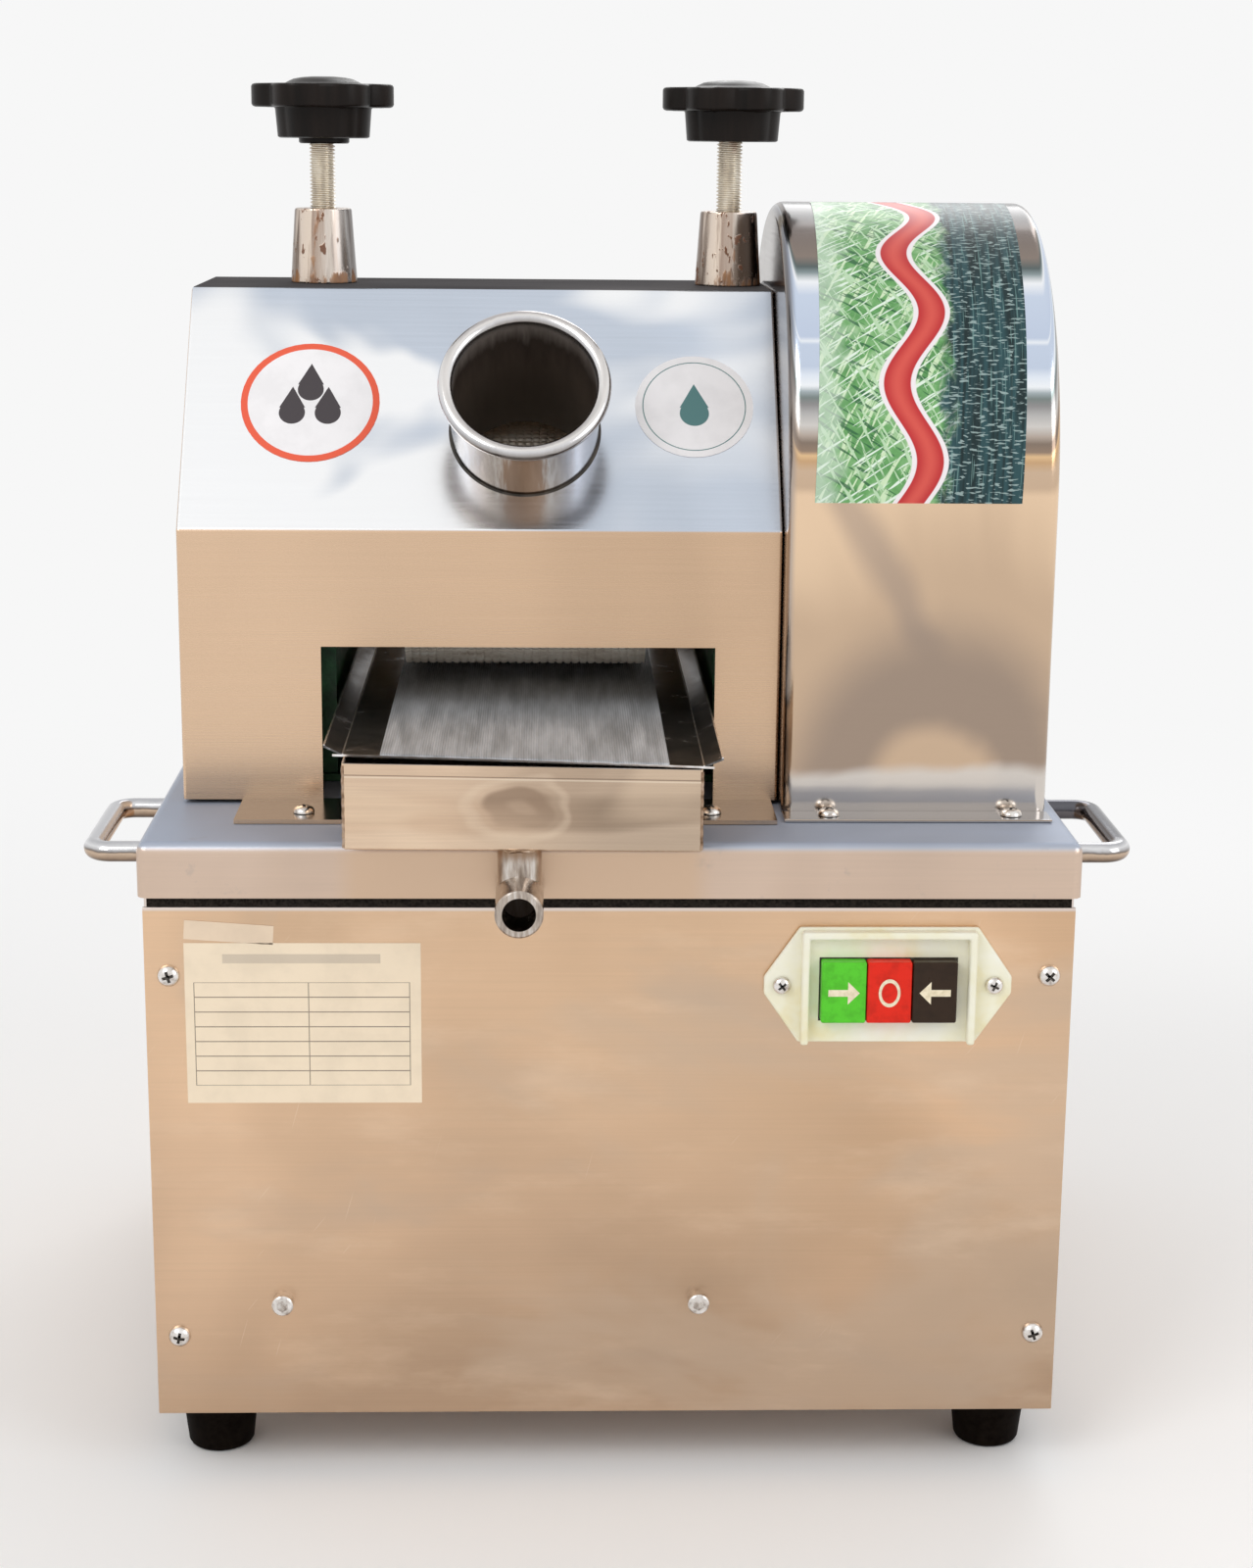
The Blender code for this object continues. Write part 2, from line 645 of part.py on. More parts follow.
def build_front_panel():
    """The removable front sheet, slotted for its screws and cut out for the switch."""
    low = (-CABINET_HALF, PANEL_FACE, FOOT_HEIGHT)
    high = (CABINET_HALF, PANEL_BACK, PANEL_TOP)
    panel = box("front_panel", low, high, BRUSHED, EDGE_ROUND)
    middle = (PANEL_FACE + PANEL_BACK) / 2
    for name, (x, z) in panel_screw_places().items():
        cut(panel, hole(name + "_hole", (x, middle, z), AXIS_FRONT, BOLT_SHANK + SLIDE_GAP, WALL_CUT, 16))
        low = (x - PANEL_SLOT_LENGTH, middle - WALL_CUT / 2, z - BOLT_SHANK)
        high = (x, middle + WALL_CUT / 2, z + BOLT_SHANK)
        cut(panel, block_tool(name + "_slot", low, high))
    for name, x in (("left", CAP_SCREW_LEFT_X), ("right", CAP_SCREW_RIGHT_X)):
        centre = (x, middle, FOOT_HEIGHT + CAP_SCREW_RISE)
        cut(panel, hole("cap_hole_" + name, centre, AXIS_FRONT, BOLT_SHANK + SLIDE_GAP, WALL_CUT, 16))
    width = switch_pocket_width() / 2 + SWITCH_HOUSING_WALL + SLIDE_GAP
    height = BUTTON_HEIGHT / 2 + SWITCH_HOUSING_WALL + SLIDE_GAP + RUNNING_GAP
    low = (SWITCH_X - width, middle - WALL_CUT / 2, SWITCH_Z - BUTTON_DROP - height)
    high = (SWITCH_X + width, middle + WALL_CUT / 2, SWITCH_Z - BUTTON_DROP + height)
    cut(panel, block_tool("switch_cutout", low, high))


def build_cabinet():
    """Base tray, four walls and the deck."""
    inner = CABINET_HALF - SHEET - GAP
    low = (-inner, PANEL_BACK + SHEET + 2 * GAP, BASE_TRAY_FLOOR)
    high = (inner, REAR_FACE - 2 * SHEET - 2 * GAP, BASE_TRAY_FLOOR + BASE_TRAY_WALL)
    pan("base_tray", low, high, (0, 0, 1), DECK_STEEL)
    build_side_panel("left_panel", -1)
    build_side_panel("right_panel", 1)
    build_rear_panel()
    build_front_panel()
    low = (-DECK_WIDTH / 2, DECK_FRONT, DECK_TOP - DECK_LIP)
    high = (DECK_WIDTH / 2, DECK_BACK, DECK_TOP)
    deck = pan("deck", low, high, (0, 0, -1), DECK_STEEL, bend=DECK_BEND)
    half_slot = chain_half_width_at_deck() + CHAIN_SLOT_MARGIN
    half_wide = CHAIN_WIDTH / 2 + CHAIN_SLOT_MARGIN / 2
    low = (SPROCKET_X - half_wide, MILL_Y - half_slot, DECK_TOP - WALL_CUT / 2)
    high = (SPROCKET_X + half_wide, MILL_Y + half_slot, DECK_TOP + WALL_CUT / 2)
    cut(deck, block_tool("chain_slot", low, high))


def build_feet():
    """Four turned rubber feet under the corners."""
    height = FOOT_HEIGHT - GAP
    profile = [
        (0, height), (FOOT_TOP_RADIUS - FOOT_CHAMFER, height), (FOOT_TOP_RADIUS, height - FOOT_CHAMFER),
        (FOOT_TOP_RADIUS, FOOT_TAPER_START), (FOOT_BOTTOM_RADIUS, FOOT_CHAMFER),
        (FOOT_BOTTOM_RADIUS - FOOT_CHAMFER, 0), (0, 0),
    ]
    across = DECK_WIDTH / 2 - FOOT_FROM_EDGE_X
    front = DECK_FRONT + FOOT_FROM_EDGE_Y
    back = DECK_BACK - FOOT_FROM_EDGE_Y
    corners = {
        "foot_front_left": (-across, front),
        "foot_front_right": (across, front),
        "foot_rear_left": (-across, back),
        "foot_rear_right": (across, back),
    }
    for name, (x, y) in corners.items():
        turned(name, profile, at(x, y, 0), RUBBER, steps=20)


def build_handle(name, side):
    """A bent rod pull on the deck's side lip."""
    near = DECK_WIDTH / 2 + GAP
    out = DECK_WIDTH / 2 + HANDLE_REACH
    front = DECK_FRONT + HANDLE_FROM_FRONT
    back = front + HANDLE_LENGTH
    bend = HANDLE_BEND
    route = [(near, front)]
    route += arc((out - bend, front + bend), bend, -math.pi / 2, 0, 5)
    route += arc((out - bend, back - bend), bend, 0, math.pi / 2, 5)
    route.append((near, back))
    curve = bpy.data.curves.new(name, "CURVE")
    curve.dimensions = "3D"
    curve.bevel_depth = HANDLE_ROD_RADIUS
    curve.bevel_resolution = 2
    curve.use_fill_caps = True
    spline = curve.splines.new("POLY")
    spline.points.add(len(route) - 1)
    for point, (x, y) in zip(spline.points, route):
        point.co = (side * x, y, DECK_TOP - HANDLE_DROP, 1)
    curve.materials.append(POLISHED)
    handle = bpy.data.objects.new(name, curve)
    parts.objects.link(handle)


# Front panel fittings

def screw(name, centre, axis, head_radius, head_height, shank_radius, shank_length):
    """A pan-head screw whose head stands on the face at its centre and whose shank goes in."""
    profile = [
        (0, head_height), (head_radius * PAN_CROWN_WIDTH, head_height * PAN_CROWN_HEIGHT),
        (head_radius, head_height * PAN_SIDE_HEIGHT), (head_radius, 0), (shank_radius, 0),
        (shank_radius, -shank_length), (0, -shank_length),
    ]
    return turned(name, profile, Matrix.Translation(centre) @ axis, POLISHED, steps=14)


def build_panel_screws():
    """Corner screws and the two socket cap screws of the front panel."""
    face = PANEL_FACE - GAP
    for name, (x, z) in panel_screw_places().items():
        screw(name, (x, face, z), AXIS_FRONT, PANEL_SCREW_HEAD, PANEL_SCREW_HEAD_HEIGHT, BOLT_SHANK, SHEET)
    head = CAP_SCREW_HEAD_HEIGHT
    floor = head - CAP_SOCKET_DEPTH
    profile = [
        (0, floor), (CAP_SOCKET_RADIUS, floor), (CAP_SOCKET_RADIUS, head),
        (CAP_SCREW_HEAD - CAP_SCREW_EDGE, head), (CAP_SCREW_HEAD, head - CAP_SCREW_EDGE),
        (CAP_SCREW_HEAD, 0), (BOLT_SHANK, 0), (BOLT_SHANK, -SHEET), (0, -SHEET),
    ]
    for name, x in (("cap_screw_left", CAP_SCREW_LEFT_X), ("cap_screw_right", CAP_SCREW_RIGHT_X)):
        place = at(x, face, FOOT_HEIGHT + CAP_SCREW_RISE, AXIS_FRONT)
        turned(name, profile, place, MACHINED, steps=18)


def switch_pocket_width():
    """Width of the pocket that holds three buttons side by side."""
    return 3 * BUTTON_WIDTH + 4 * RUNNING_GAP


def build_switch():
    """The moulded switch: a six-cornered plate, the housing behind the panel, a rim and three buttons."""
    half = SWITCH_WIDTH / 2
    flat = SWITCH_FLAT_WIDTH / 2
    tall = SWITCH_HEIGHT / 2
    end = SWITCH_END_HEIGHT / 2
    corners = [(-half, end), (-half, -end), (-flat, -tall), (flat, -tall)]
    corners += [(half, -end), (half, end), (flat, tall), (-flat, tall)]
    place = at(SWITCH_X, SWITCH_FACE + SWITCH_PLATE / 2, SWITCH_Z, AXIS_FRONT)
    plate = outline("switch_body", [corners], SWITCH_PLATE, place, IVORY)
    middle = SWITCH_Z - BUTTON_DROP
    pocket = switch_pocket_width() / 2
    reach = BUTTON_HEIGHT / 2 + RUNNING_GAP
    wall = SWITCH_HOUSING_WALL
    low = (SWITCH_X - pocket - wall, SWITCH_FACE + SWITCH_PLATE / 2, middle - reach - wall)
    back = SWITCH_FACE + SWITCH_PLATE + SWITCH_HOUSING_DEPTH
    high = (SWITCH_X + pocket + wall, back, middle + reach + wall)
    join(plate, block_tool("switch_housing", low, high))
    join_switch_rim(plate, middle, pocket, reach)
    low = (SWITCH_X - pocket, SWITCH_FACE - CUT_PAST, middle - reach)
    high = (SWITCH_X + pocket, SWITCH_FACE + BUTTON_DEPTH, middle + reach)
    cut(plate, block_tool("button_pocket", low, high))
    build_switch_screws(plate)
    build_buttons(middle)


def join_switch_rim(plate, middle, pocket, reach):
    """The raised rim above and beside the buttons."""
    wall = SWITCH_RIM_WALL
    top = middle + reach + SWITCH_RIM_ABOVE + wall
    bottom = middle - reach - SWITCH_RIM_BESIDE
    left = SWITCH_X - pocket - SWITCH_RIM_BESIDE - wall
    right = SWITCH_X + pocket + SWITCH_RIM_BESIDE + wall
    front = SWITCH_FACE - SWITCH_RIM
    back = SWITCH_FACE + JOIN_DEPTH
    join(plate, block_tool("switch_rim_top", (left, front, top - wall), (right, back, top)))
    for name, start in (("left", left), ("right", right - wall)):
        side = block_tool("switch_rim_" + name, (start, front, bottom), (start + wall, back, top - wall / 2))
        join(plate, side)


def build_switch_screws(plate):
    """The two screws that hold the switch, and their holes."""
    for label, side in (("left", -1), ("right", 1)):
        x = SWITCH_X + side * SWITCH_SCREW_X
        through = hole("switch_hole_" + label, (x, SWITCH_FACE, SWITCH_Z), AXIS_FRONT,
                       SWITCH_SCREW_SHANK + GAP, WALL_CUT, 16)
        cut(plate, through)
        screw("switch_screw_" + label, (x, SWITCH_FACE - GAP, SWITCH_Z), AXIS_FRONT, SWITCH_SCREW_HEAD,
              SWITCH_SCREW_HEAD_HEIGHT, SWITCH_SCREW_SHANK, SWITCH_SCREW_LENGTH)


def build_buttons(middle):
    """Three buttons side by side, short of the pocket's floor by their travel."""
    front = SWITCH_FACE - BUTTON_PROUD
    back = SWITCH_FACE + BUTTON_DEPTH - BUTTON_TRAVEL - SLIDE_GAP
    pitch = BUTTON_WIDTH + RUNNING_GAP
    buttons = (("button_forward", GREEN), ("button_stop", RED), ("button_reverse", BLACK))
    for index, (name, colour) in enumerate(buttons):
        x = SWITCH_X + (index - 1) * pitch
        low = (x - BUTTON_WIDTH / 2, front, middle - BUTTON_HEIGHT / 2)
        high = (x + BUTTON_WIDTH / 2, back, middle + BUTTON_HEIGHT / 2)
        box(name, low, high, colour, BUTTON_ROUND)


# Mill housing

def hood_profile():
    """The hood's section, seen from the right: depth from the mill's middle and height from the deck."""
    half = HOOD_DEPTH / 2
    top = HOOD_TOP_DEPTH / 2
    return [
        (-half, HOOD_FLOAT), (half, HOOD_FLOAT), (half, HOOD_SHOULDER), (top, HOOD_HEIGHT),
        (-top, HOOD_HEIGHT), (-half, HOOD_SHOULDER),
    ]


def shell_from(name, loop, width, place, bend, material, folds_along=False):
    """An extruded outline without its bottom face, folded from sheet."""
    piece = outline(name, [loop], width, place, material)
    form = bmesh.new()
    form.from_mesh(piece.data)
    bmesh.ops.dissolve_limit(form, angle_limit=0.01, verts=form.verts, edges=form.edges)
    lowest = min(vert.co.y for vert in form.verts)
    bottom = [face for face in form.faces if all(vert.co.y < lowest + 0.00001 for vert in face.verts)]
    bmesh.ops.delete(form, geom=bottom, context="FACES_ONLY")
    folds = []
    for edge in form.edges:
        across = abs(edge.verts[0].co.z - edge.verts[1].co.z) > 0.001
        if len(edge.link_faces) == 2 and (folds_along or not across):
            folds.append(edge)
    bmesh.ops.bevel(form, geom=folds, offset=bend, segments=2, affect="EDGES", profile=0.5)
    bmesh.ops.recalc_face_normals(form, faces=form.faces)
    form.to_mesh(piece.data)
    form.free()
    piece.data.shade_smooth()
    piece.data.set_sharp_from_angle(angle=math.radians(35))
    thicken(piece, SHEET)
    return piece


def tube_axis():
    """Foot point on the incline and outward direction of the feed tube, both in the Y-Z plane."""
    half = HOOD_DEPTH / 2
    run = Vector((0, half - HOOD_TOP_DEPTH / 2, HOOD_HEIGHT - HOOD_SHOULDER)).normalized()
    foot = Vector((MILL_X, HOOD_FRONT, DECK_TOP + HOOD_SHOULDER)) + run * TUBE_UP_INCLINE
    outward = Vector((0, -run.z, run.y))
    return foot, outward


def tube_turn():
    """Rotation that points local Z along the feed tube."""
    outward = tube_axis()[1]
    return Vector((0, 0, 1)).rotation_difference(outward).to_matrix().to_4x4()


def build_hood():
    """The mill's folded hood with its front opening, outlet, feed hole and foot flanges."""
    width = HOOD_RIGHT - HOOD_LEFT
    place = at((HOOD_LEFT + HOOD_RIGHT) / 2, MILL_Y, DECK_TOP, AXIS_X)
    hood = shell_from("hood", hood_profile(), width, place, HOOD_BEND, BRUSHED, folds_along=True)
    for name, edge, side in (("front", HOOD_FRONT, -1), ("rear", HOOD_BACK, 1)):
        inside = edge - side * SHEET
        outside = edge + side * HOOD_FLANGE_REACH
        low = (HOOD_FLANGE_LEFT, min(inside, outside), DECK_TOP + GAP)
        high = (HOOD_FLANGE_RIGHT, max(inside, outside), HOOD_FLANGE_TOP)
        join(hood, block_tool("hood_flange_" + name, low, high))
    low = (MILL_X - STRAINER_HALF - OPENING_GAP_LEFT, HOOD_FRONT - WALL_CUT / 2, HOOD_FLANGE_TOP)
    high = (MILL_X + STRAINER_HALF + OPENING_GAP_RIGHT, HOOD_FRONT + WALL_CUT / 2, DECK_TOP + OPENING_TOP)
    cut(hood, block_tool("front_opening", low, high))
    bottom = chute_underside(HOOD_BACK) - GAP
    half = CHUTE_WIDTH / 2 + OUTLET_GAP
    low = (MILL_X - half, HOOD_BACK - WALL_CUT / 2, bottom)
    high = (MILL_X + half, HOOD_BACK + WALL_CUT / 2, bottom + OUTLET_HEIGHT)
    cut(hood, block_tool("rear_outlet", low, high))
    foot = tube_axis()[0]
    cut(hood, hole("feed_hole", foot, tube_turn(), TUBE_RADIUS + TUBE_HOLE_GAP, WALL_CUT, 36))
    for label, side in (("left", -1), ("right", 1)):
        centre = (MILL_X + side * SCREW_SPACING / 2, MILL_Y, HOOD_TOP)
        cut(hood, hole("hood_screw_hole_" + label, centre, AXIS_Z, SCREW_RADIUS + SCREW_BORE_GAP, WALL_CUT))
    cut_shaft_holes(hood, "hood", HOOD_RIGHT)
    for label, x in (("left", BASE_BOLT_LEFT_X), ("right", BASE_BOLT_RIGHT_X)):
        centre = (x, BASE_BOLT_Y, HOOD_FLANGE_TOP)
        cut(hood, hole("base_bolt_hole_" + label, centre, AXIS_Z, BOLT_SHANK + GAP, WALL_CUT, 16))


def cut_shaft_holes(piece, name, x):
    """Holes for the three roller shafts in a wall near x; the top one leaves room for the lift."""
    radius = JOURNAL_RADIUS + SHAFT_HOLE_GAP
    for label, y in (("front", FRONT_ROLLER_Y), ("rear", REAR_ROLLER_Y)):
        cut(piece, hole(name + "_" + label + "_shaft", (x, y, LOWER_Z), AXIS_X, radius, WALL_CUT))
    middle = TOP_Z + PRESSURE_LIFT / 2
    cut(piece, hole(name + "_top_shaft", (x, MILL_Y, middle), AXIS_X, radius + PRESSURE_LIFT, WALL_CUT))


def build_gear_cover():
    """The arched cover over the gears and sprocket, with its foot flanges."""
    loop = [(-COVER_RADIUS, GAP), (COVER_RADIUS, GAP)]
    loop += arc((0, COVER_ARCH_HEIGHT), COVER_RADIUS, 0, math.pi, 22)
    place = at((COVER_LEFT + COVER_RIGHT) / 2, COVER_Y, DECK_TOP, AXIS_X)
    cover = shell_from("gear_cover", loop, COVER_WIDTH, place, COVER_BEND, POLISHED)
    low_z = DECK_TOP + GAP
    high_z = low_z + SHEET
    for name, side in (("front", -1), ("rear", 1)):
        inside = COVER_Y + side * (COVER_RADIUS - SHEET)
        outside = COVER_Y + side * (COVER_RADIUS + COVER_FLANGE_REACH)
        low = (COVER_LEFT, min(inside, outside), low_z)
        high = (COVER_RIGHT, max(inside, outside), high_z)
        join(cover, block_tool("cover_flange_" + name, low, high))
    cut_shaft_holes(cover, "cover", COVER_LEFT)
    for label, offset in (("left", COVER_BOLT_LEFT), ("right", COVER_BOLT_RIGHT)):
        centre = (COVER_LEFT + offset, COVER_BOLT_Y, high_z)
        cut(cover, hole("cover_bolt_hole_" + label, centre, AXIS_Z, BOLT_SHANK + GAP, WALL_CUT, 16))


def build_deck_bolts():
    """The pan-head bolts in the hood's and the gear cover's front flanges."""
    for name, x in (("base_bolt_left", BASE_BOLT_LEFT_X), ("base_bolt_right", BASE_BOLT_RIGHT_X)):
        place = (x, BASE_BOLT_Y, HOOD_FLANGE_TOP + GAP)
        screw(name, place, AXIS_Z, BOLT_HEAD, BOLT_HEAD_HEIGHT, BOLT_SHANK, SHEET)
    for name, offset in (("cover_bolt_left", COVER_BOLT_LEFT), ("cover_bolt_right", COVER_BOLT_RIGHT)):
        place = (COVER_LEFT + offset, COVER_BOLT_Y, DECK_TOP + 2 * GAP + SHEET)
        screw(name, place, AXIS_Z, BOLT_HEAD, BOLT_HEAD_HEIGHT, BOLT_SHANK, SHEET)


# Mill

def build_cheek(name, side):
    """A cast side plate with bores for the lower journals and a window for the top block."""
    half = CHEEK_DEPTH / 2
    top = CHEEK_TOP_DEPTH / 2
    height = HOOD_HEIGHT - CHEEK_CLEARANCE
    bottom = CHEEK_BOTTOM - DECK_TOP
    loop = [(-half, bottom), (half, bottom), (half, CHEEK_SHOULDER), (top, height), (-top, height)]
    loop.append((-half, CHEEK_SHOULDER))
    bore = JOURNAL_RADIUS + RUNNING_GAP
    lower_front = circle(bore, (-LOWER_ROLLER_OFFSET, LOWER_ROLLER_HEIGHT))
    lower_rear = circle(bore, (LOWER_ROLLER_OFFSET, LOWER_ROLLER_HEIGHT))
    wide = BLOCK_DEPTH / 2 + SLIDE_GAP
    low = BLOCK_BOTTOM - GAP - DECK_TOP
    high = BLOCK_TOP + BLOCK_HEADROOM - DECK_TOP
    window = [(-wide, low), (wide, low), (wide, high), (-wide, high)]
    x = MILL_X + side * SCREW_SPACING / 2
    cheek = outline(name, [loop, lower_front, lower_rear, window], CHEEK_THICKNESS,
                    at(x, MILL_Y, DECK_TOP, AXIS_X), CAST)
    centre = (x, MILL_Y, DECK_TOP + (height + high) / 2)
    depth = height - high + 2 * CUT_PAST
    cut(cheek, hole(name + "_bore", centre, AXIS_Z, SCREW_RADIUS + SCREW_BORE_GAP, depth))


def fluted_loop():
    """The roller's section with its fine lengthwise flutes."""
    points = []
    for index in range(FLUTES):
        for share, radius in ((0.0, ROLLER_RADIUS), (0.5, ROLLER_RADIUS - FLUTE_DEPTH)):
            angle = 2 * math.pi * (index + share) / FLUTES
            points.append((radius * math.cos(angle), radius * math.sin(angle)))
    return points


def build_roller(name, y, z, shaft_right):
    """A fluted roller turned on one shaft with its journals."""
    roller = outline(name, [fluted_loop()], ROLLER_LENGTH, at(MILL_X, y, z, AXIS_X), ROLLER_STEEL)
    left = MILL_X - CHEEK_OUTER - SHAFT_STUB
    centre = ((left + shaft_right) / 2, y, z)
    join(roller, hole(name + "_shaft", centre, AXIS_X, JOURNAL_RADIUS, shaft_right - left))


def build_block(name, side):
    """The sliding bearing block of the top roller."""
    half = BLOCK_HEIGHT / 2
    wide = BLOCK_DEPTH / 2
    loop = [(-wide, -half), (wide, -half), (wide, half), (-wide, half)]
    bore = circle(JOURNAL_RADIUS + RUNNING_GAP)
    x = MILL_X + side * SCREW_SPACING / 2
    outline(name, [loop, bore], CHEEK_THICKNESS, at(x, MILL_Y, TOP_Z, AXIS_X), MACHINED)


def tooth_angles(radius, pitch_radius, teeth):
    """Half the angle that a gear tooth spans at a radius, from the involute of its base circle."""
    base = pitch_radius * math.cos(GEAR_PRESSURE_ANGLE)
    pitch_half = math.pi / (2 * teeth) - GEAR_BACKLASH / (4 * pitch_radius)
    involute_pitch = math.tan(GEAR_PRESSURE_ANGLE) - GEAR_PRESSURE_ANGLE
    if radius <= base:
        return pitch_half + involute_pitch
    local = math.acos(base / radius)
    return pitch_half + involute_pitch - (math.tan(local) - local)


def gear_loop(phase):
    """Outline of a roller gear whose first tooth points along the phase angle."""
    pitch_radius = ROLLER_CENTRES / 2
    root = pitch_radius - GEAR_DEDENDUM
    tip = pitch_radius + GEAR_ADDENDUM
    levels = [root, pitch_radius, (pitch_radius + tip) / 2, tip]
    points = []
    for tooth in range(GEAR_TEETH):
        middle = phase + 2 * math.pi * tooth / GEAR_TEETH
        flank = [(radius, tooth_angles(radius, pitch_radius, GEAR_TEETH)) for radius in levels]
        for radius, half in flank:
            points.append((radius * math.cos(middle - half), radius * math.sin(middle - half)))
        for radius, half in reversed(flank):
            points.append((radius * math.cos(middle + half), radius * math.sin(middle + half)))
    return points


def mesh_phase(direction, phase):
    """Phase of a gear that meshes with one of the same size lying opposite to the direction."""
    pitch = 2 * math.pi / GEAR_TEETH
    share = ((direction - phase) / pitch) % 1
    return direction + math.pi - (0.5 - share) * pitch


def build_roller_gears():
    """Three equal gears that keep the rollers in step."""
    top_phase = math.pi / 2
    bore = circle(JOURNAL_RADIUS + GAP)
    place = at(GEAR_X, MILL_Y, TOP_Z, AXIS_X)
    outline("top_gear", [gear_loop(top_phase), bore], GEAR_WIDTH, place, MACHINED)
    for name, y in (("front_gear", FRONT_ROLLER_Y), ("rear_gear", REAR_ROLLER_Y)):
        direction = math.atan2(LOWER_Z - TOP_Z, y - MILL_Y)
        phase = mesh_phase(direction, top_phase)
        outline(name, [gear_loop(phase), bore], GEAR_WIDTH, at(GEAR_X, y, LOWER_Z, AXIS_X), MACHINED)


def sprocket_loop(teeth, radius):
    """Outline of a chain sprocket with pointed teeth."""
    points = []
    flat = SPROCKET_TOOTH_SHARE
    for tooth in range(teeth):
        for share, level in ((-flat, SPROCKET_TIP), (flat, SPROCKET_TIP), (0.5, -SPROCKET_ROOT)):
            angle = 2 * math.pi * (tooth + share) / teeth
            points.append(((radius + level) * math.cos(angle), (radius + level) * math.sin(angle)))
    return points


def chain_loops():
    """Outer and inner line of the chain round both sprockets, seen from the right."""
    rise = TOP_Z - MOTOR_Z
    tilt = math.asin((CHAIN_UPPER - CHAIN_LOWER) / rise)
    loops = []
    for grow in (CHAIN_THICKNESS, 0.0):
        line = arc((0, rise), CHAIN_UPPER + grow, -tilt, math.pi + tilt, 30)
        line += arc((0, 0), CHAIN_LOWER + grow, math.pi + tilt, 2 * math.pi - tilt, 12)
        loops.append(line)
    return loops


def chain_half_width_at_deck():
    """Half the width of the chain loop where it passes the deck."""
    share = (DECK_TOP - MOTOR_Z) / (TOP_Z - MOTOR_Z)
    return CHAIN_LOWER + (CHAIN_UPPER - CHAIN_LOWER) * share + CHAIN_THICKNESS


def build_chain_drive():
    """Bull sprocket on the top shaft, drive sprocket on the gearbox shaft and the chain between them."""
    bore = circle(JOURNAL_RADIUS + GAP)
    upper = at(SPROCKET_X, MILL_Y, TOP_Z, AXIS_X)
    lower = at(SPROCKET_X, MILL_Y, MOTOR_Z, AXIS_X)
    teeth = sprocket_loop(BULL_TEETH, BULL_RADIUS)
    bull = outline("bull_sprocket", [teeth, bore], SPROCKET_WIDTH, upper, MACHINED)
    hub_place = at(HUB_LEFT + HUB_LENGTH / 2, MILL_Y, TOP_Z, AXIS_X)
    join(bull, outline("bull_hub", [circle(HUB_RADIUS), bore], HUB_LENGTH, hub_place, group=cutters))
    teeth = sprocket_loop(DRIVE_TEETH, DRIVE_RADIUS)
    drive = outline("drive_sprocket", [teeth], SPROCKET_WIDTH, lower, MACHINED)
    left = GEARBOX_FACE - SHAFT_ENGAGEMENT
    centre = ((left + SPROCKET_END) / 2, MILL_Y, MOTOR_Z)
    join(drive, hole("output_shaft", centre, AXIS_X, OUTPUT_SHAFT_RADIUS, SPROCKET_END - left))
    outline("drive_chain", chain_loops(), CHAIN_WIDTH, lower, MACHINED)


def spoked_loop(count, levels):
    """A closed outline that repeats (share of a step, radius) points round the circle."""
    points = []
    for index in range(count):
        for share, radius in levels:
            angle = 2 * math.pi * (index + share) / count
            points.append((radius * math.cos(angle), radius * math.sin(angle)))
    return points


def build_gearbox(right, left, bottom):
    """The gearbox with its output boss and the bores for both of its shafts."""
    low = (left, MILL_Y - GEARBOX_WIDTH / 2, bottom)
    high = (right, MILL_Y + GEARBOX_WIDTH / 2, bottom + GEARBOX_HEIGHT)
    gearbox = box("gearbox", low, high, MOTOR_PAINT, GEARBOX_ROUND)
    start = right - 2 * JOIN_DEPTH
    centre = ((start + GEARBOX_FACE) / 2, MILL_Y, MOTOR_Z)
    join(gearbox, hole("gearbox_boss", centre, AXIS_X, GEARBOX_BOSS_RADIUS, GEARBOX_FACE - start))
    start = GEARBOX_FACE - SHAFT_ENGAGEMENT - GAP
    end = GEARBOX_FACE + CUT_PAST
    centre = ((start + end) / 2, MILL_Y, MOTOR_Z)
    cut(gearbox, hole("output_bore", centre, AXIS_X, OUTPUT_SHAFT_RADIUS + RUNNING_GAP, end - start))
    start = left - CUT_PAST
    end = left + ROTOR_ENGAGEMENT + GAP
    centre = ((start + end) / 2, MILL_Y, MOTOR_Z)
    cut(gearbox, hole("input_bore", centre, AXIS_X, ROTOR_SHAFT_RADIUS + RUNNING_GAP, end - start))


def build_motor_case(left, right, bottom):
    """The finned case on its foot, with the fan cowl on its left end."""
    root = MOTOR_RADIUS - MOTOR_FIN_DEPTH
    fins = spoked_loop(MOTOR_FINS, ((-0.2, MOTOR_RADIUS), (0.2, MOTOR_RADIUS), (0.3, root), (0.7, root)))
    middle = (left + right) / 2
    motor = outline("motor", [fins], right - left, at(middle, MILL_Y, MOTOR_Z, AXIS_X), MOTOR_PAINT)
    low = (left + MOTOR_FOOT_INSET, MILL_Y - MOTOR_FOOT_HALF, bottom)
    high = (right - MOTOR_FOOT_INSET, MILL_Y + MOTOR_FOOT_HALF, MOTOR_Z - MOTOR_FOOT_TOP)
    join(motor, block_tool("motor_foot", low, high))
    outer = MOTOR_RADIUS - MOTOR_FIN_DEPTH / 2
    rings = [circle(outer, count=32), circle(outer - COWL_WALL, count=32)]
    place = at(left - COWL_LENGTH / 2 + 2 * JOIN_DEPTH, MILL_Y, MOTOR_Z, AXIS_X)
    join(motor, outline("motor_cowl", rings, COWL_LENGTH, place, group=cutters))
    radius = ROTOR_SHAFT_RADIUS + RUNNING_GAP
    length = right - left + 2 * CUT_PAST
    cut(motor, hole("rotor_bore", (middle, MILL_Y, MOTOR_Z), AXIS_X, radius, length))


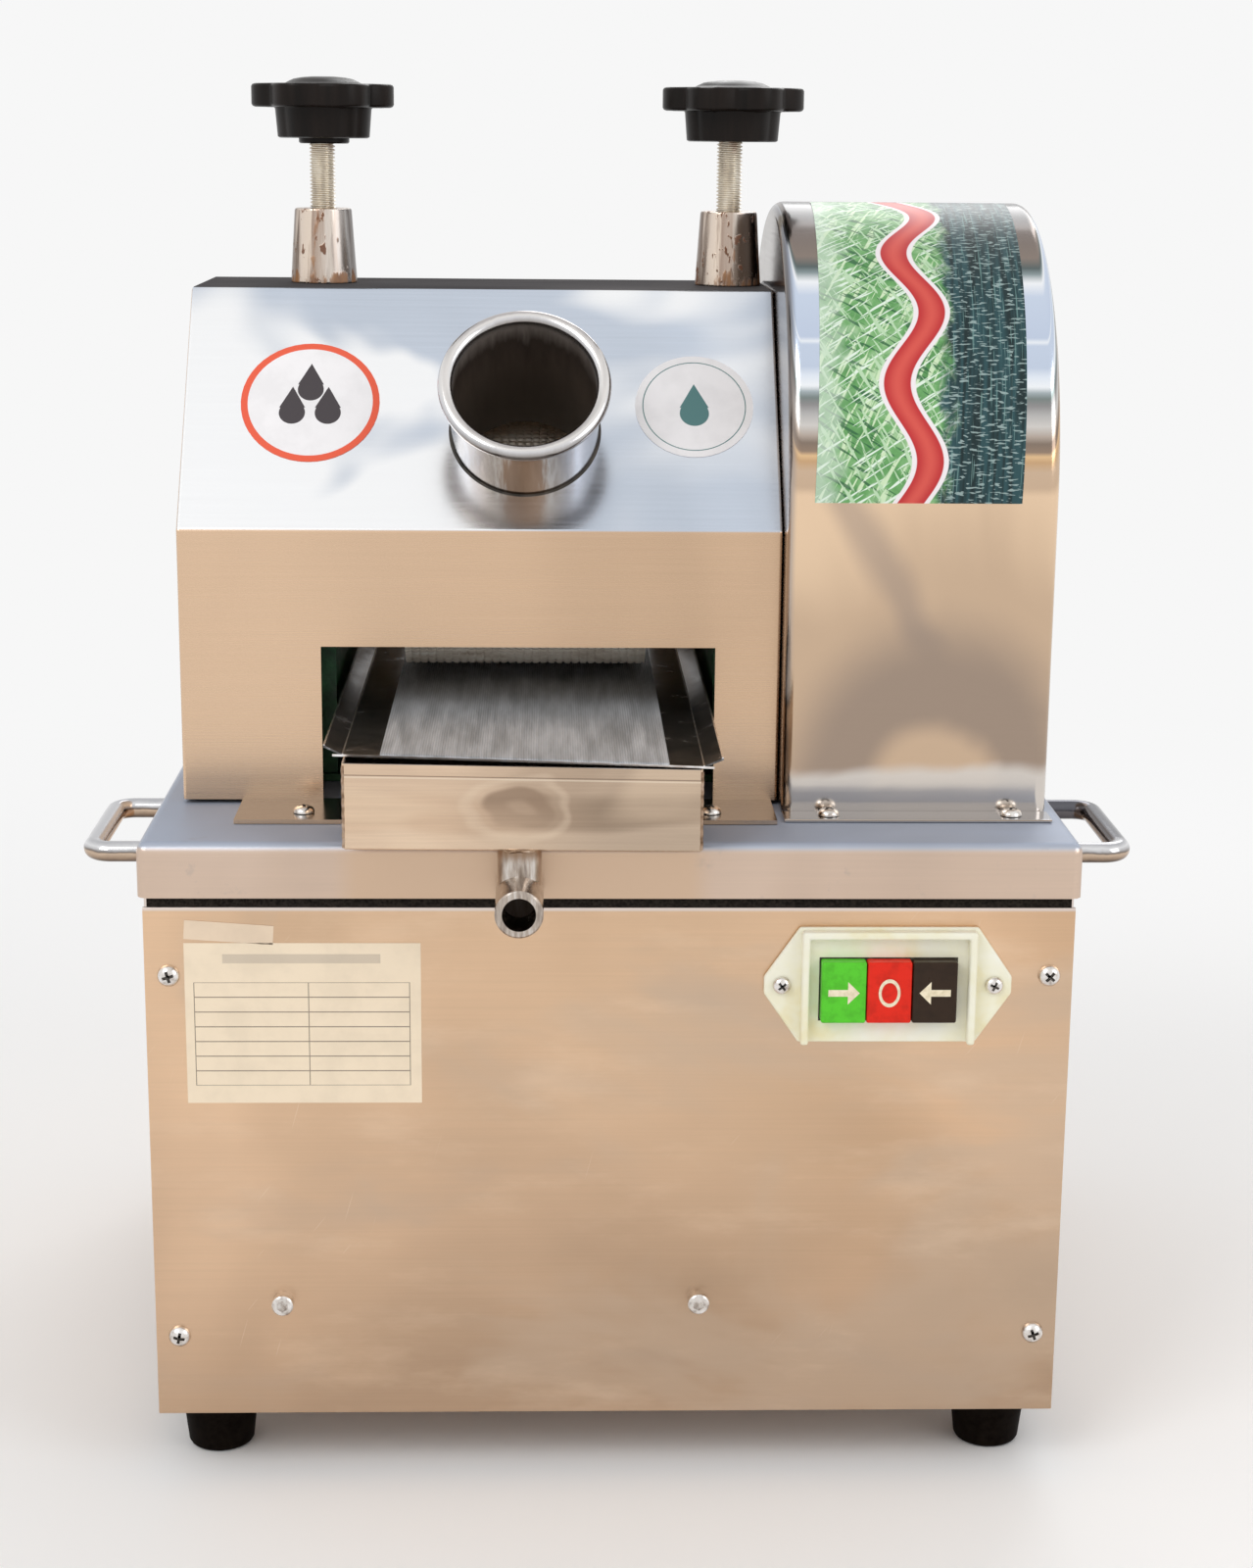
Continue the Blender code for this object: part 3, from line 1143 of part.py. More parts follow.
def build_rotor(motor_left, gearbox_left):
    """The motor's shaft from the gearbox to the fan at its free end."""
    hub = FAN_HUB_RADIUS
    blades = spoked_loop(FAN_BLADES, ((-0.12, FAN_RADIUS), (0.12, FAN_RADIUS), (0.20, hub), (0.80, hub)))
    fan_x = motor_left - FAN_FROM_MOTOR - FAN_WIDTH / 2
    rotor = outline("motor_rotor", [blades], FAN_WIDTH, at(fan_x, MILL_Y, MOTOR_Z, AXIS_X), MACHINED)
    left = fan_x - FAN_WIDTH / 2 - ROTOR_STUB
    right = gearbox_left + ROTOR_ENGAGEMENT - GAP
    centre = ((left + right) / 2, MILL_Y, MOTOR_Z)
    join(rotor, hole("rotor_shaft", centre, AXIS_X, ROTOR_SHAFT_RADIUS, right - left))


def build_capacitor():
    """The motor's run capacitor, standing on the base tray."""
    radius = CAPACITOR_RADIUS
    top = CAPACITOR_HEIGHT
    edge = CAPACITOR_EDGE
    profile = [(0, top), (radius - edge, top), (radius, top - edge), (radius, 0), (0, 0)]
    place = at(CAPACITOR_X, DECK_FRONT + CAPACITOR_FROM_FRONT, BASE_TRAY_TOP + GAP)
    turned("capacitor", profile, place, CAPACITOR_SHELL)


def build_motor():
    """Gearbox, motor, rotor and capacitor, laid out leftwards from the sprocket."""
    gearbox_right = GEARBOX_FACE - GEARBOX_BOSS_LENGTH
    gearbox_left = gearbox_right - GEARBOX_LENGTH
    motor_right = gearbox_left - GAP
    motor_left = motor_right - MOTOR_LENGTH
    bottom = BASE_TRAY_TOP + GAP
    build_gearbox(gearbox_right, gearbox_left, bottom)
    build_motor_case(motor_left, motor_right, bottom)
    build_rotor(motor_left, gearbox_left)
    build_capacitor()


def build_mill():
    """Base plate, cheeks, rollers, blocks and the turn plate."""
    half = CHEEK_DEPTH / 2 + MILL_BASE_MARGIN_ENDS
    low = (MILL_X - CHEEK_OUTER - MILL_BASE_MARGIN_LEFT, MILL_Y - half, DECK_TOP + GAP)
    high = (MILL_X + CHEEK_OUTER + MILL_BASE_MARGIN_RIGHT, MILL_Y + half, MILL_BASE_TOP)
    box("mill_base", low, high, CAST, EDGE_ROUND)
    build_cheek("cheek_left", -1)
    build_cheek("cheek_right", 1)
    build_roller("front_roller", FRONT_ROLLER_Y, LOWER_Z, GEAR_RIGHT + GEAR_SHAFT_END)
    build_roller("rear_roller", REAR_ROLLER_Y, LOWER_Z, GEAR_RIGHT + GEAR_SHAFT_END)
    build_roller("top_roller", MILL_Y, TOP_Z, SPROCKET_END)
    build_block("bearing_block_left", -1)
    build_block("bearing_block_right", 1)
    build_turn_plate()


def lower_roller_edge(height):
    """Distance from the mill's middle to a lower roller's surface at a height above its axis."""
    return LOWER_ROLLER_OFFSET - math.sqrt(ROLLER_RADIUS ** 2 - height ** 2)


def build_turn_plate():
    """The bar between the lower rollers that turns the cane up to the rear nip."""
    top = TOP_RISE - ROLLER_RADIUS - TURN_PLATE_TOP_GAP
    right = []
    for step in range(6):
        height = top - TURN_PLATE_HEIGHT * step / 5
        near = min(abs(height), TURN_PLATE_CURVED_HEIGHT)
        across = min(lower_roller_edge(near) - TURN_PLATE_CLEARANCE, TURN_PLATE_HALF_WIDTH)
        right.append((across, height))
    left = [(-across, height) for across, height in reversed(right)]
    length = 2 * (CHEEK_INNER - GAP)
    outline("turn_plate", [right + left], length, at(MILL_X, MILL_Y, LOWER_Z, AXIS_X), MACHINED)


def build_pressure_screws():
    """Bosses on the hood, the long screws through them and their lobed knobs."""
    bore = SCREW_RADIUS + SCREW_BORE_GAP
    for label, side in (("left", -1), ("right", 1)):
        x = MILL_X + side * SCREW_SPACING / 2
        profile = [
            (BOSS_TOP_RADIUS - BOSS_EDGE, BOSS_HEIGHT), (BOSS_TOP_RADIUS, BOSS_HEIGHT - BOSS_EDGE),
            (BOSS_BOTTOM_RADIUS, 0), (bore, 0), (bore, BOSS_HEIGHT),
        ]
        turned("boss_" + label, profile, at(x, MILL_Y, HOOD_TOP + GAP), BRUSHED, closed=True)
        low = BLOCK_TOP + GAP
        high = KNOB_SOCKET_TOP - GAP
        centre = (x, MILL_Y, (low + high) / 2)
        cylinder("pressure_screw_" + label, centre, AXIS_Z, SCREW_RADIUS, high - low, GALVANISED, 24)
        build_knob("pressure_knob_" + label, x)


def knob_outline(radius, depth):
    """A round outline with shallow lobes."""
    points = []
    count = KNOB_LOBES * KNOB_LOBE_STEPS
    for step in range(count):
        angle = 2 * math.pi * step / count + math.pi / 2
        wave = math.cos(KNOB_LOBES * angle)
        share = (1 + wave) / 2
        level = radius - depth * (1 - share ** KNOB_LOBE_SHAPE)
        points.append((level * math.cos(angle), level * math.sin(angle)))
    return points


def build_knob(name, x):
    """The lobed hand knob, socketed on its screw."""
    rim_bottom = KNOB_BOTTOM + KNOB_HUB_HEIGHT
    rim_top = rim_bottom + KNOB_RIM_HEIGHT
    lobes = knob_outline(KNOB_LOBE_RADIUS, KNOB_LOBE_RADIUS - KNOB_WAIST_RADIUS)
    knob = outline(name, [lobes], KNOB_RIM_HEIGHT, at(x, MILL_Y, (rim_bottom + rim_top) / 2), KNOB_PLASTIC)
    height = KNOB_HUB_HEIGHT + JOIN_DEPTH
    hub = cylinder(name + "_hub", (x, MILL_Y, KNOB_BOTTOM + height / 2), AXIS_Z, KNOB_HUB_FOOT_RADIUS, height,
                   top=KNOB_HUB_RADIUS, group=cutters)
    height = KNOB_DOME + JOIN_DEPTH
    centre = (x, MILL_Y, rim_top + KNOB_DOME - height / 2)
    dome = cylinder(name + "_dome", centre, AXIS_Z, KNOB_HUB_RADIUS, height,
                    top=KNOB_DOME_RADIUS, group=cutters)
    join(knob, hub, dome)
    height = KNOB_SOCKET_DEPTH + CUT_PAST
    centre = (x, MILL_Y, KNOB_SOCKET_TOP - height / 2)
    cut(knob, hole(name + "_socket", centre, AXIS_Z, SCREW_RADIUS + GAP, height))


# Feed tube, tray, strainer and chute

def build_feed_tube():
    """The feed tube square to the incline, with a rolled rim outside and a collar under the hood."""
    inner = TUBE_RADIUS - TUBE_WALL
    bead_x = inner + BEAD_RADIUS
    bead_z = TUBE_OUT - BEAD_RADIUS
    profile = arc((bead_x, bead_z), BEAD_RADIUS, math.pi, BEAD_END_ANGLE, 8)
    profile.append((TUBE_RADIUS, bead_z - BEAD_RADIUS - GAP))
    collar_top = -SHEET - GAP
    collar = TUBE_RADIUS + TUBE_COLLAR_REACH
    profile += [(TUBE_RADIUS, collar_top), (collar, collar_top)]
    profile += [(collar, collar_top - SHEET), (TUBE_RADIUS, collar_top - SHEET)]
    profile += [(TUBE_RADIUS, -TUBE_IN), (inner, -TUBE_IN)]
    place = Matrix.Translation(tube_axis()[0]) @ tube_turn()
    turned("feed_tube", profile, place, POLISHED, closed=True, steps=36)


def build_tray():
    """The juice tray that slides out under the rollers, with its downward and forward spout."""
    half = TRAY_WIDTH / 2
    low = (MILL_X - half, TRAY_FRONT, TRAY_BOTTOM)
    high = (MILL_X + half, TRAY_FRONT + TRAY_LENGTH, TRAY_TOP)
    tray = pan("juice_tray", low, high, (0, 0, 1), POLISHED, sheet=TRAY_SHEET, bend=TRAY_BEND)
    y = TRAY_FRONT + SPOUT_FROM_TRAY_FRONT
    bottom = TRAY_BOTTOM - SPOUT_DROP
    top = TRAY_BOTTOM + TRAY_SHEET / 2
    down = hole("spout_down", (MILL_X, y, (top + bottom) / 2), AXIS_Z, SPOUT_RADIUS, top - bottom, 24)
    mouth_y = DECK_FRONT - FRONT_REACH
    back_y = y + SPOUT_RADIUS
    out = hole("spout_out", (MILL_X, (mouth_y + back_y) / 2, bottom), AXIS_FRONT, SPOUT_MOUTH_RADIUS,
               back_y - mouth_y, 24)
    join(tray, down, out)
    bore_top = TRAY_BOTTOM + 2 * TRAY_SHEET
    bore_down = hole("spout_bore_down", (MILL_X, y, (bore_top + bottom) / 2), AXIS_Z, SPOUT_BORE,
                     bore_top - bottom, 20)
    start = mouth_y - CUT_PAST
    centre = (MILL_X, (start + y) / 2, bottom)
    bore_out = hole("spout_bore_out", centre, AXIS_FRONT, SPOUT_BORE, y - start, 20)
    cut(tray, bore_down, bore_out)


def build_strainer():
    """The strainer sheet that lies on the tray's side walls, its two edges turned up."""
    half = STRAINER_HALF
    flat = TRAY_WIDTH / 2
    rise = STRAINER_RISE
    sheet = STRAINER_SHEET
    loop = [
        (-half, rise), (-flat, 0), (flat, 0), (half, rise),
        (half, rise + sheet), (flat, sheet), (-flat, sheet), (-half, rise + sheet),
    ]
    start = DECK_FRONT - STRAINER_REACH
    end = TRAY_FRONT + TRAY_LENGTH - TRAY_SHEET - STRAINER_END_GAP
    place = at(MILL_X, (start + end) / 2, STRAINER_BOTTOM, AXIS_FRONT)
    outline("strainer", [loop], end - start, place, POLISHED)


def chute_underside(y):
    """Height of the outlet chute's underside at a depth."""
    fall = (y - MILL_Y - CHUTE_START) * math.tan(CHUTE_SLOPE)
    return LOWER_Z - CHUTE_UNDER_AXIS - fall


def build_chute():
    """The sloping channel that carries the pressed cane out at the back."""
    run = DECK_BACK + REAR_REACH - MILL_Y - CHUTE_START - CHUTE_WALL * math.sin(CHUTE_SLOPE)
    length = run / math.cos(CHUTE_SLOPE)
    form = bmesh.new()
    bmesh.ops.create_cube(form, size=1)
    bmesh.ops.scale(form, vec=(CHUTE_WIDTH, length, CHUTE_WALL), verts=form.verts)
    bmesh.ops.translate(form, vec=(0, length / 2, CHUTE_WALL / 2), verts=form.verts)
    gone = [face for face in form.faces if face.normal.z > 0.9 or abs(face.normal.y) > 0.9]
    bmesh.ops.delete(form, geom=gone, context="FACES_ONLY")
    folds = [edge for edge in form.edges if len(edge.link_faces) == 2]
    bmesh.ops.bevel(form, geom=folds, offset=CHUTE_BEND, segments=3, affect="EDGES", profile=0.5)
    turn = Matrix.Rotation(-CHUTE_SLOPE, 4, "X")
    place = at(MILL_X, MILL_Y + CHUTE_START, LOWER_Z - CHUTE_UNDER_AXIS) @ turn
    chute = add_object("outlet_chute", mesh_from(form, "outlet_chute"), place, BRUSHED)
    thicken(chute, SHEET)


def build_gland():
    """The empty cable gland low on the rear panel."""
    inside = -SHEET - GAP
    shoulder = GLAND_LENGTH - GLAND_NOSE_LENGTH
    profile = [
        (GLAND_NOSE_RADIUS, GLAND_LENGTH), (GLAND_RADIUS, shoulder), (GLAND_RADIUS, 0),
        (GLAND_NECK_RADIUS, 0), (GLAND_NECK_RADIUS, inside),
        (GLAND_BORE, inside), (GLAND_BORE, GLAND_LENGTH),
    ]
    outward = Matrix.Rotation(-math.pi / 2, 4, "X")
    place = at(GLAND_X, REAR_FACE + GAP, FOOT_HEIGHT + GLAND_RISE, outward)
    turned("cable_gland", profile, place, KNOB_PLASTIC, closed=True, steps=20)


build_cabinet()
build_feet()
build_handle("handle_left", -1)
build_handle("handle_right", 1)
build_panel_screws()
build_switch()
build_hood()
build_gear_cover()
build_deck_bolts()
build_mill()
build_roller_gears()
build_chain_drive()
build_motor()
build_pressure_screws()
build_feed_tube()
build_tray()
build_strainer()
build_chute()
build_gland()
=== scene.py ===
# %% [markdown]
# # A desktop cane juicer, dressed for its portrait
# The machine's solids come packed and stay where they are. This script gives them their
# finishes and replaces the plain ones that show with finer pieces, one step at a time.

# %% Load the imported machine
import json
import math

import bmesh
import bpy
from mathutils import Matrix, Vector

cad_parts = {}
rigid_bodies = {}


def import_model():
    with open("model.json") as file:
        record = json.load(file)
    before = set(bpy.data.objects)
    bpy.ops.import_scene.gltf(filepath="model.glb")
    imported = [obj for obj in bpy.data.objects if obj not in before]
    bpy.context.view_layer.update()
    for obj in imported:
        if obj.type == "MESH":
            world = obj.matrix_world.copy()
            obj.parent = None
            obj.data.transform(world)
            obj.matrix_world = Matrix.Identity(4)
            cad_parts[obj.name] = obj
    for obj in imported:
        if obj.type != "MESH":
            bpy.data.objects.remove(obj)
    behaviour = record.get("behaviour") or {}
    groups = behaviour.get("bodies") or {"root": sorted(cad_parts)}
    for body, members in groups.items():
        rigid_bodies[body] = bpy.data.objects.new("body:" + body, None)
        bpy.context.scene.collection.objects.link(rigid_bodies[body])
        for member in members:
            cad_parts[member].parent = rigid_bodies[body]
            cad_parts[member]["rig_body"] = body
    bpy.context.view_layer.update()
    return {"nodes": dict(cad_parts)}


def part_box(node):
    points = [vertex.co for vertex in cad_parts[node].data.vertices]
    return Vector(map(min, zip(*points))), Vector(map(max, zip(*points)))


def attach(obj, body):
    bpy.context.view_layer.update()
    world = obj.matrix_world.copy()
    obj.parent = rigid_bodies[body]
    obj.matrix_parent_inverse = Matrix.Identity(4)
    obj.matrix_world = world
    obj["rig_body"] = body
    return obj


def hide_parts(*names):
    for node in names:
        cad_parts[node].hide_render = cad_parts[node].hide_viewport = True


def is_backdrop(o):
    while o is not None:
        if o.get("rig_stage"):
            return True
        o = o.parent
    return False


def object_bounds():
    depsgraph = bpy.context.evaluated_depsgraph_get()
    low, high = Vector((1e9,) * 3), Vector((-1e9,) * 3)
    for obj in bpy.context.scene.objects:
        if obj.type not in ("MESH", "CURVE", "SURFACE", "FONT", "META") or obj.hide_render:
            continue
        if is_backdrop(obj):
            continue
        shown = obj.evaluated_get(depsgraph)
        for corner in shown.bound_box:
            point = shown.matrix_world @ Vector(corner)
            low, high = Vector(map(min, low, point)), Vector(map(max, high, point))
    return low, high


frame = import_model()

# %% [markdown]
# ## The camera
# A portrait of a real thing needs the real camera's place and lens. The focal length is
# known in pixels of a 1279 by 1600 picture, so the lens follows from the sensor's long
# side. Three turns aim it: down by the pitch, a little to the right, and a slight roll.

# %% Place the camera
PICTURE_HEIGHT = 1600
FOCAL_PIXELS = 2772.2
SENSOR = 36.0
CAMERA_PLACE = (-0.03147, -1.3898, 0.6254)
PITCH = math.radians(13.525)
YAW = math.radians(1.818)
ROLL = math.radians(0.539)

camera_data = bpy.data.cameras.new("portrait")
camera_data.sensor_width = SENSOR
camera_data.lens = FOCAL_PIXELS * SENSOR / PICTURE_HEIGHT
camera_data.clip_start = 0.05
camera_data.clip_end = 100
camera = bpy.data.objects.new("portrait", camera_data)
aim = Matrix.Rotation(-YAW, 4, "Z") @ Matrix.Rotation(math.pi / 2 - PITCH, 4, "X")
camera.matrix_world = Matrix.Translation(CAMERA_PLACE) @ aim @ Matrix.Rotation(ROLL, 4, "Z")
bpy.context.scene.collection.objects.link(camera)
bpy.context.scene.camera = camera
bpy.context.scene.view_settings.view_transform = "Standard"
print("lens", round(camera_data.lens, 2), "mm")

# %% [markdown]
# ## Writing shaders as sums
# A material's nodes are easier to read as arithmetic. `Value` wraps a socket, so that
# `1 - mask` or `mask * 0.5` adds the Math node that does it. `Paint` is one material: its
# constants sit on the shader itself, and `feed` links what changes over the surface.

# %% A socket that does sums
class Value:
    """A number or colour that changes over a surface."""

    def __init__(self, paint, socket):
        self.paint = paint
        self.socket = socket

    def __add__(self, other):
        return self.paint.sum("ADD", self, other)

    def __sub__(self, other):
        return self.paint.sum("SUBTRACT", self, other)

    def __rsub__(self, other):
        return self.paint.sum("SUBTRACT", other, self)

    def __mul__(self, other):
        return self.paint.sum("MULTIPLY", self, other)

    def __truediv__(self, other):
        return self.paint.sum("DIVIDE", self, other)

    def __gt__(self, other):
        return self.paint.sum("GREATER_THAN", self, other)

    def __lt__(self, other):
        return self.paint.sum("LESS_THAN", self, other)

    def __abs__(self):
        return self.paint.node("Math", {"operation": "ABSOLUTE"}, {0: self})

    __radd__ = __add__
    __rmul__ = __mul__


# %% A material with its own shorthand
class Paint:
    """One material, made of constants on the shader and of nodes that vary it."""

    def __init__(self, name, colour, roughness, metallic=0.0, shine=0.5):
        self.material = bpy.data.materials.new(name)
        self.material.use_nodes = True
        self.tree = self.material.node_tree
        self.shader = self.tree.nodes["Principled BSDF"]
        self.shader.inputs["Base Color"].default_value = (*colour, 1)
        self.shader.inputs["Roughness"].default_value = roughness
        self.shader.inputs["Metallic"].default_value = metallic
        self.shader.inputs["Specular IOR Level"].default_value = shine

    def node(self, kind, settings, sockets, output=0):
        """Any node: its settings first, then the value or link of each socket."""
        made = self.tree.nodes.new("ShaderNode" + kind)
        for name, value in settings.items():
            if name == "stops":
                self.set_stops(made.color_ramp, value)
            else:
                setattr(made, name, value)
        for name, value in sockets.items():
            if isinstance(value, Value):
                self.tree.links.new(value.socket, made.inputs[name])
            else:
                made.inputs[name].default_value = value
        return Value(self, made.outputs[output])

    def set_stops(self, ramp, stops):
        """Colours along a ramp, from its left end to its right."""
        while len(ramp.elements) < len(stops):
            ramp.elements.new(1.0)
        for element, (place, colour) in zip(ramp.elements, stops):
            element.position = place
            element.color = (*colour, 1)

    def sum(self, operation, first, second):
        return self.node("Math", {"operation": operation}, {0: first, 1: second})

    def clamped(self, value):
        """The value held between 0 and 1."""
        return self.node("Clamp", {}, {"Value": value})

    def place(self, scale=(1, 1, 1), shift=(0, 0, 0), turn=(0, 0, 0)):
        """Where a point lies on the machine, in metres, stretched or turned for a pattern."""
        spot = self.node("TexCoord", {}, {}, "Object")
        if scale == (1, 1, 1) and shift == (0, 0, 0) and turn == (0, 0, 0):
            return spot
        return self.node("Mapping", {}, {"Vector": spot, "Location": shift, "Rotation": turn, "Scale": scale})

    def lying(self, where, turn, long, short):
        """Coordinates for strokes that lie at an angle: their length and width in the chart's units."""
        sockets = {"Vector": where, "Rotation": (0, 0, turn), "Scale": (long, short, 1)}
        return self.node("Mapping", {"vector_type": "TEXTURE"}, sockets)

    def facing(self, axis):
        """How far the surface faces along an axis, from -1 to 1."""
        normal = self.node("TexCoord", {}, {}, "Normal")
        return self.node("SeparateXYZ", {}, {"Vector": normal}, axis)

    def along(self, axis):
        """The distance along an axis, in metres."""
        return self.node("SeparateXYZ", {}, {"Vector": self.place()}, axis)

    def noise(self, where, size, detail=2.0, rough=0.5, distortion=0.0):
        """Cloudy values about 0.5, with this many clouds to a metre."""
        sockets = {"Vector": where, "Scale": size, "Detail": detail, "Roughness": rough, "Distortion": distortion}
        return self.node("TexNoise", {}, sockets)

    def between(self, value, low, high):
        """0 below low and 1 above high, with a smooth rise between."""
        settings = {"interpolation_type": "SMOOTHSTEP"}
        return self.node("MapRange", settings, {"Value": value, "From Min": low, "From Max": high})

    def ramp(self, value, *stops):
        return self.node("ValToRGB", {"stops": stops}, {"Fac": value})

    def mix(self, share, first, second, blend="MIX"):
        """Two colours mixed: the second shows where the share is 1."""
        first = first if isinstance(first, Value) else (*first, 1)
        second = second if isinstance(second, Value) else (*second, 1)
        return self.node("Mix", {"data_type": "RGBA", "blend_type": blend}, {0: share, 6: first, 7: second}, 2)

    def bump(self, height, depth, strength=1.0):
        """Feeds a relief of this depth in metres to the shader's normal."""
        normal = self.node("Bump", {}, {"Height": height, "Distance": depth, "Strength": strength})
        self.feed("Normal", normal)

    def feed(self, socket, value):
        self.tree.links.new(value.socket, self.shader.inputs[socket])


print("shader helpers ready")

# %% [markdown]
# ## Making pieces with bmesh
# Every new piece goes through the same few steps: shape it, place it in the machine's
# space, smooth its round faces, and let it ride on the body that carries it. The object
# stays at the origin and its place is in the mesh, so patterns don't slide.

# %% Helpers for shapes
def joined(*forms):
    """Several shapes in one, each keeping its own surface."""
    first = forms[0]
    for other in forms[1:]:
        spare = bpy.data.meshes.new("spare")
        other.to_mesh(spare)
        first.from_mesh(spare)
        bpy.data.meshes.remove(spare)
        other.free()
    return first


def moved(form, place):
    bmesh.ops.transform(form, matrix=place, verts=form.verts)
    return form


def rounded(form, width, segments=3, sharper_than=50):
    """Rounds the edges that turn by more than an angle in degrees."""
    limit = math.radians(sharper_than)
    edges = [edge for edge in form.edges if len(edge.link_faces) == 2 and edge.calc_face_angle() > limit]
    bmesh.ops.bevel(form, geom=edges, offset=width, segments=segments, profile=0.5, affect="EDGES",
                    material=-1, clamp_overlap=True)
    return form


def block(low, high):
    """A box between two corners."""
    form = bmesh.new()
    low, high = Vector(low), Vector(high)
    size = high - low
    bmesh.ops.create_cube(form, size=1)
    bmesh.ops.scale(form, vec=size, verts=form.verts)
    bmesh.ops.translate(form, vec=(low + high) / 2, verts=form.verts)
    return form


def turned(profile, steps=64, ring=False):
    """A shape turned about Z from points of (radius, height); a ring's profile is closed."""
    form = bmesh.new()
    verts = [form.verts.new((radius, 0, height)) for radius, height in profile]
    chain = list(zip(verts, verts[1:]))
    if ring:
        chain.append((verts[-1], verts[0]))
    edges = [form.edges.new(pair) for pair in chain]
    bmesh.ops.spin(form, geom=verts + edges, axis=(0, 0, 1), cent=(0, 0, 0), angle=2 * math.pi, steps=steps,
                   use_merge=True)
    bmesh.ops.remove_doubles(form, verts=form.verts, dist=0.000001)
    bmesh.ops.recalc_face_normals(form, faces=form.faces)
    return form


def slab(points, thickness):
    """A flat outline in the XY plane, raised by a thickness."""
    form = bmesh.new()
    face = form.faces.new([form.verts.new((x, y, 0)) for x, y in points])
    raised = bmesh.ops.extrude_face_region(form, geom=[face])["geom"]
    tops = [item for item in raised if isinstance(item, bmesh.types.BMVert)]
    bmesh.ops.translate(form, vec=(0, 0, thickness), verts=tops)
    bmesh.ops.recalc_face_normals(form, faces=form.faces)
    return form


def curve(centre, radius, start, end, steps):
    """Points along an arc, its angles in degrees."""
    angles = [math.radians(start + (end - start) * step / steps) for step in range(steps + 1)]
    return [(centre[0] + radius * math.cos(a), centre[1] + radius * math.sin(a)) for a in angles]


# %% Helpers for places and finished pieces
def facing_front(x, y, z):
    """A place whose Z axis points to the front of the machine, and whose Y axis points up."""
    return Matrix.Translation((x, y, z)) @ Matrix.Rotation(math.pi / 2, 4, "X")


def body_of(node):
    return frame["nodes"][node]["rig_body"]


def piece(name, form, paint, stands_for=(), body=None, smooth=35):
    """Makes a shape into a piece that rides where the solids it stands for ride."""
    mesh = bpy.data.meshes.new(name)
    form.to_mesh(mesh)
    form.free()
    mesh.materials.append(paint.material)
    mesh.shade_smooth()
    mesh.set_sharp_from_angle(angle=math.radians(smooth))
    made = bpy.data.objects.new(name, mesh)
    bpy.context.scene.collection.objects.link(made)
    even = made.modifiers.new("even shading", "WEIGHTED_NORMAL")
    even.keep_sharp = True
    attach(made, body or body_of(stands_for[0]))
    if stands_for:
        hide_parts(*stands_for)
    return made


def smoothed(node, paint, name=None):
    """The solid's own shape with its bends shaded as one surface."""
    form = bmesh.new()
    form.from_mesh(frame["nodes"][node].data)
    bmesh.ops.remove_doubles(form, verts=form.verts, dist=0.00001)
    bmesh.ops.dissolve_limit(form, angle_limit=math.radians(0.2), verts=form.verts, edges=form.edges)
    return piece(name or node + "_dressed", form, paint, [node])


def dress(paint, *nodes):
    """Gives solids that stay a finish of their own."""
    for node in nodes:
        shown = frame["nodes"][node]
        shown.data.materials.clear()
        shown.data.materials.append(paint.material)


print("shape helpers ready")

# %% [markdown]
# ## Sheet steel
# The cabinet and hood are brushed stainless sheet. Such steel has a fine grain from the
# brushing. Painted reflections give it a warm tone on upright faces and a cold one where it
# faces up. The tone follows the way the surface faces, broken by soft painted reflection clouds, so it holds from every
# side.

# %% Brushed sheet
# The warm, cold and dark tones below are painted reflections, put on faces by the way they face.
WARM_REFLECTION = (0.72, 0.505, 0.340)
COLD_REFLECTION = (0.64, 0.71, 0.82)
DARK_REFLECTION = (0.040, 0.037, 0.040)
FAINT = (0.72, 0.71, 0.70)
BRIGHT = (1.0, 1.0, 1.0)
FRONT_GRAIN = (9, 480, 900)
SIDE_GRAIN = (480, 9, 900)


def sheet_steel(name, shades, roughness=0.34, clouds=4.0, contrast=1.0, seed=0.0):
    """Brushed steel: painted reflections by facing, soft painted reflection clouds, and a grain stretched along the
    brushing.
    """
    paint = Paint(name, WARM_REFLECTION, roughness, metallic=1.0)
    # Painted reflections by facing, multiplied by soft clouds of painted reflection.
    tone = paint.ramp(paint.facing(2), *shades)
    cloud = paint.noise(paint.place((1, 1, 0.6), (seed, seed, 0)), clouds, 2.5, 0.5, 0.9)
    dark = tuple(1 - contrast * (1 - value) for value in FAINT)
    light = paint.ramp(cloud, (0.34, dark), (0.56, (0.94, 0.93, 0.92)), (0.72, BRIGHT))
    tone = paint.mix(1.0, tone, light, "MULTIPLY")
    across = paint.noise(paint.place(FRONT_GRAIN), 1.0, 3.0, 0.65)
    deep = paint.noise(paint.place(SIDE_GRAIN), 1.0, 3.0, 0.65)
    lines = across + (deep - across) * paint.between(abs(paint.facing(0)), 0.5, 0.8)
    streak = paint.ramp(lines, (0.25, (0.94, 0.94, 0.94)), (0.75, BRIGHT))
    return paint, paint.mix(1.0, tone, streak, "MULTIPLY"), lines


def scratched(paint, tone):
    """A few short pale scratches across the grain."""
    upright = paint.place(turn=(-math.pi / 2, 0, 0))
    patch = paint.between(paint.noise(paint.place(), 9.0, 1.0), 0.52, 0.66)
    for angle, length, width in ((0.9, 0.026, 0.0009), (1.3, 0.040, 0.0009)):
        sliver = paint.noise(paint.lying(upright, angle, length, width), 1.0, 0.0)
        tone = paint.mix(paint.between(sliver, 0.82, 0.86) * patch * 0.28, tone, (0.96, 0.82, 0.68))
    return tone


# Painted reflections by facing: warm on upright faces, cold on slopes, dark on tops.
FACING_REFLECTIONS = ((0.0, WARM_REFLECTION), (0.30, WARM_REFLECTION), (0.48, COLD_REFLECTION), (0.80, COLD_REFLECTION), (0.96, DARK_REFLECTION))
TOP_FACING = 0.90

# %% Cabinet steel
panel_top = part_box("front_panel")[1].z


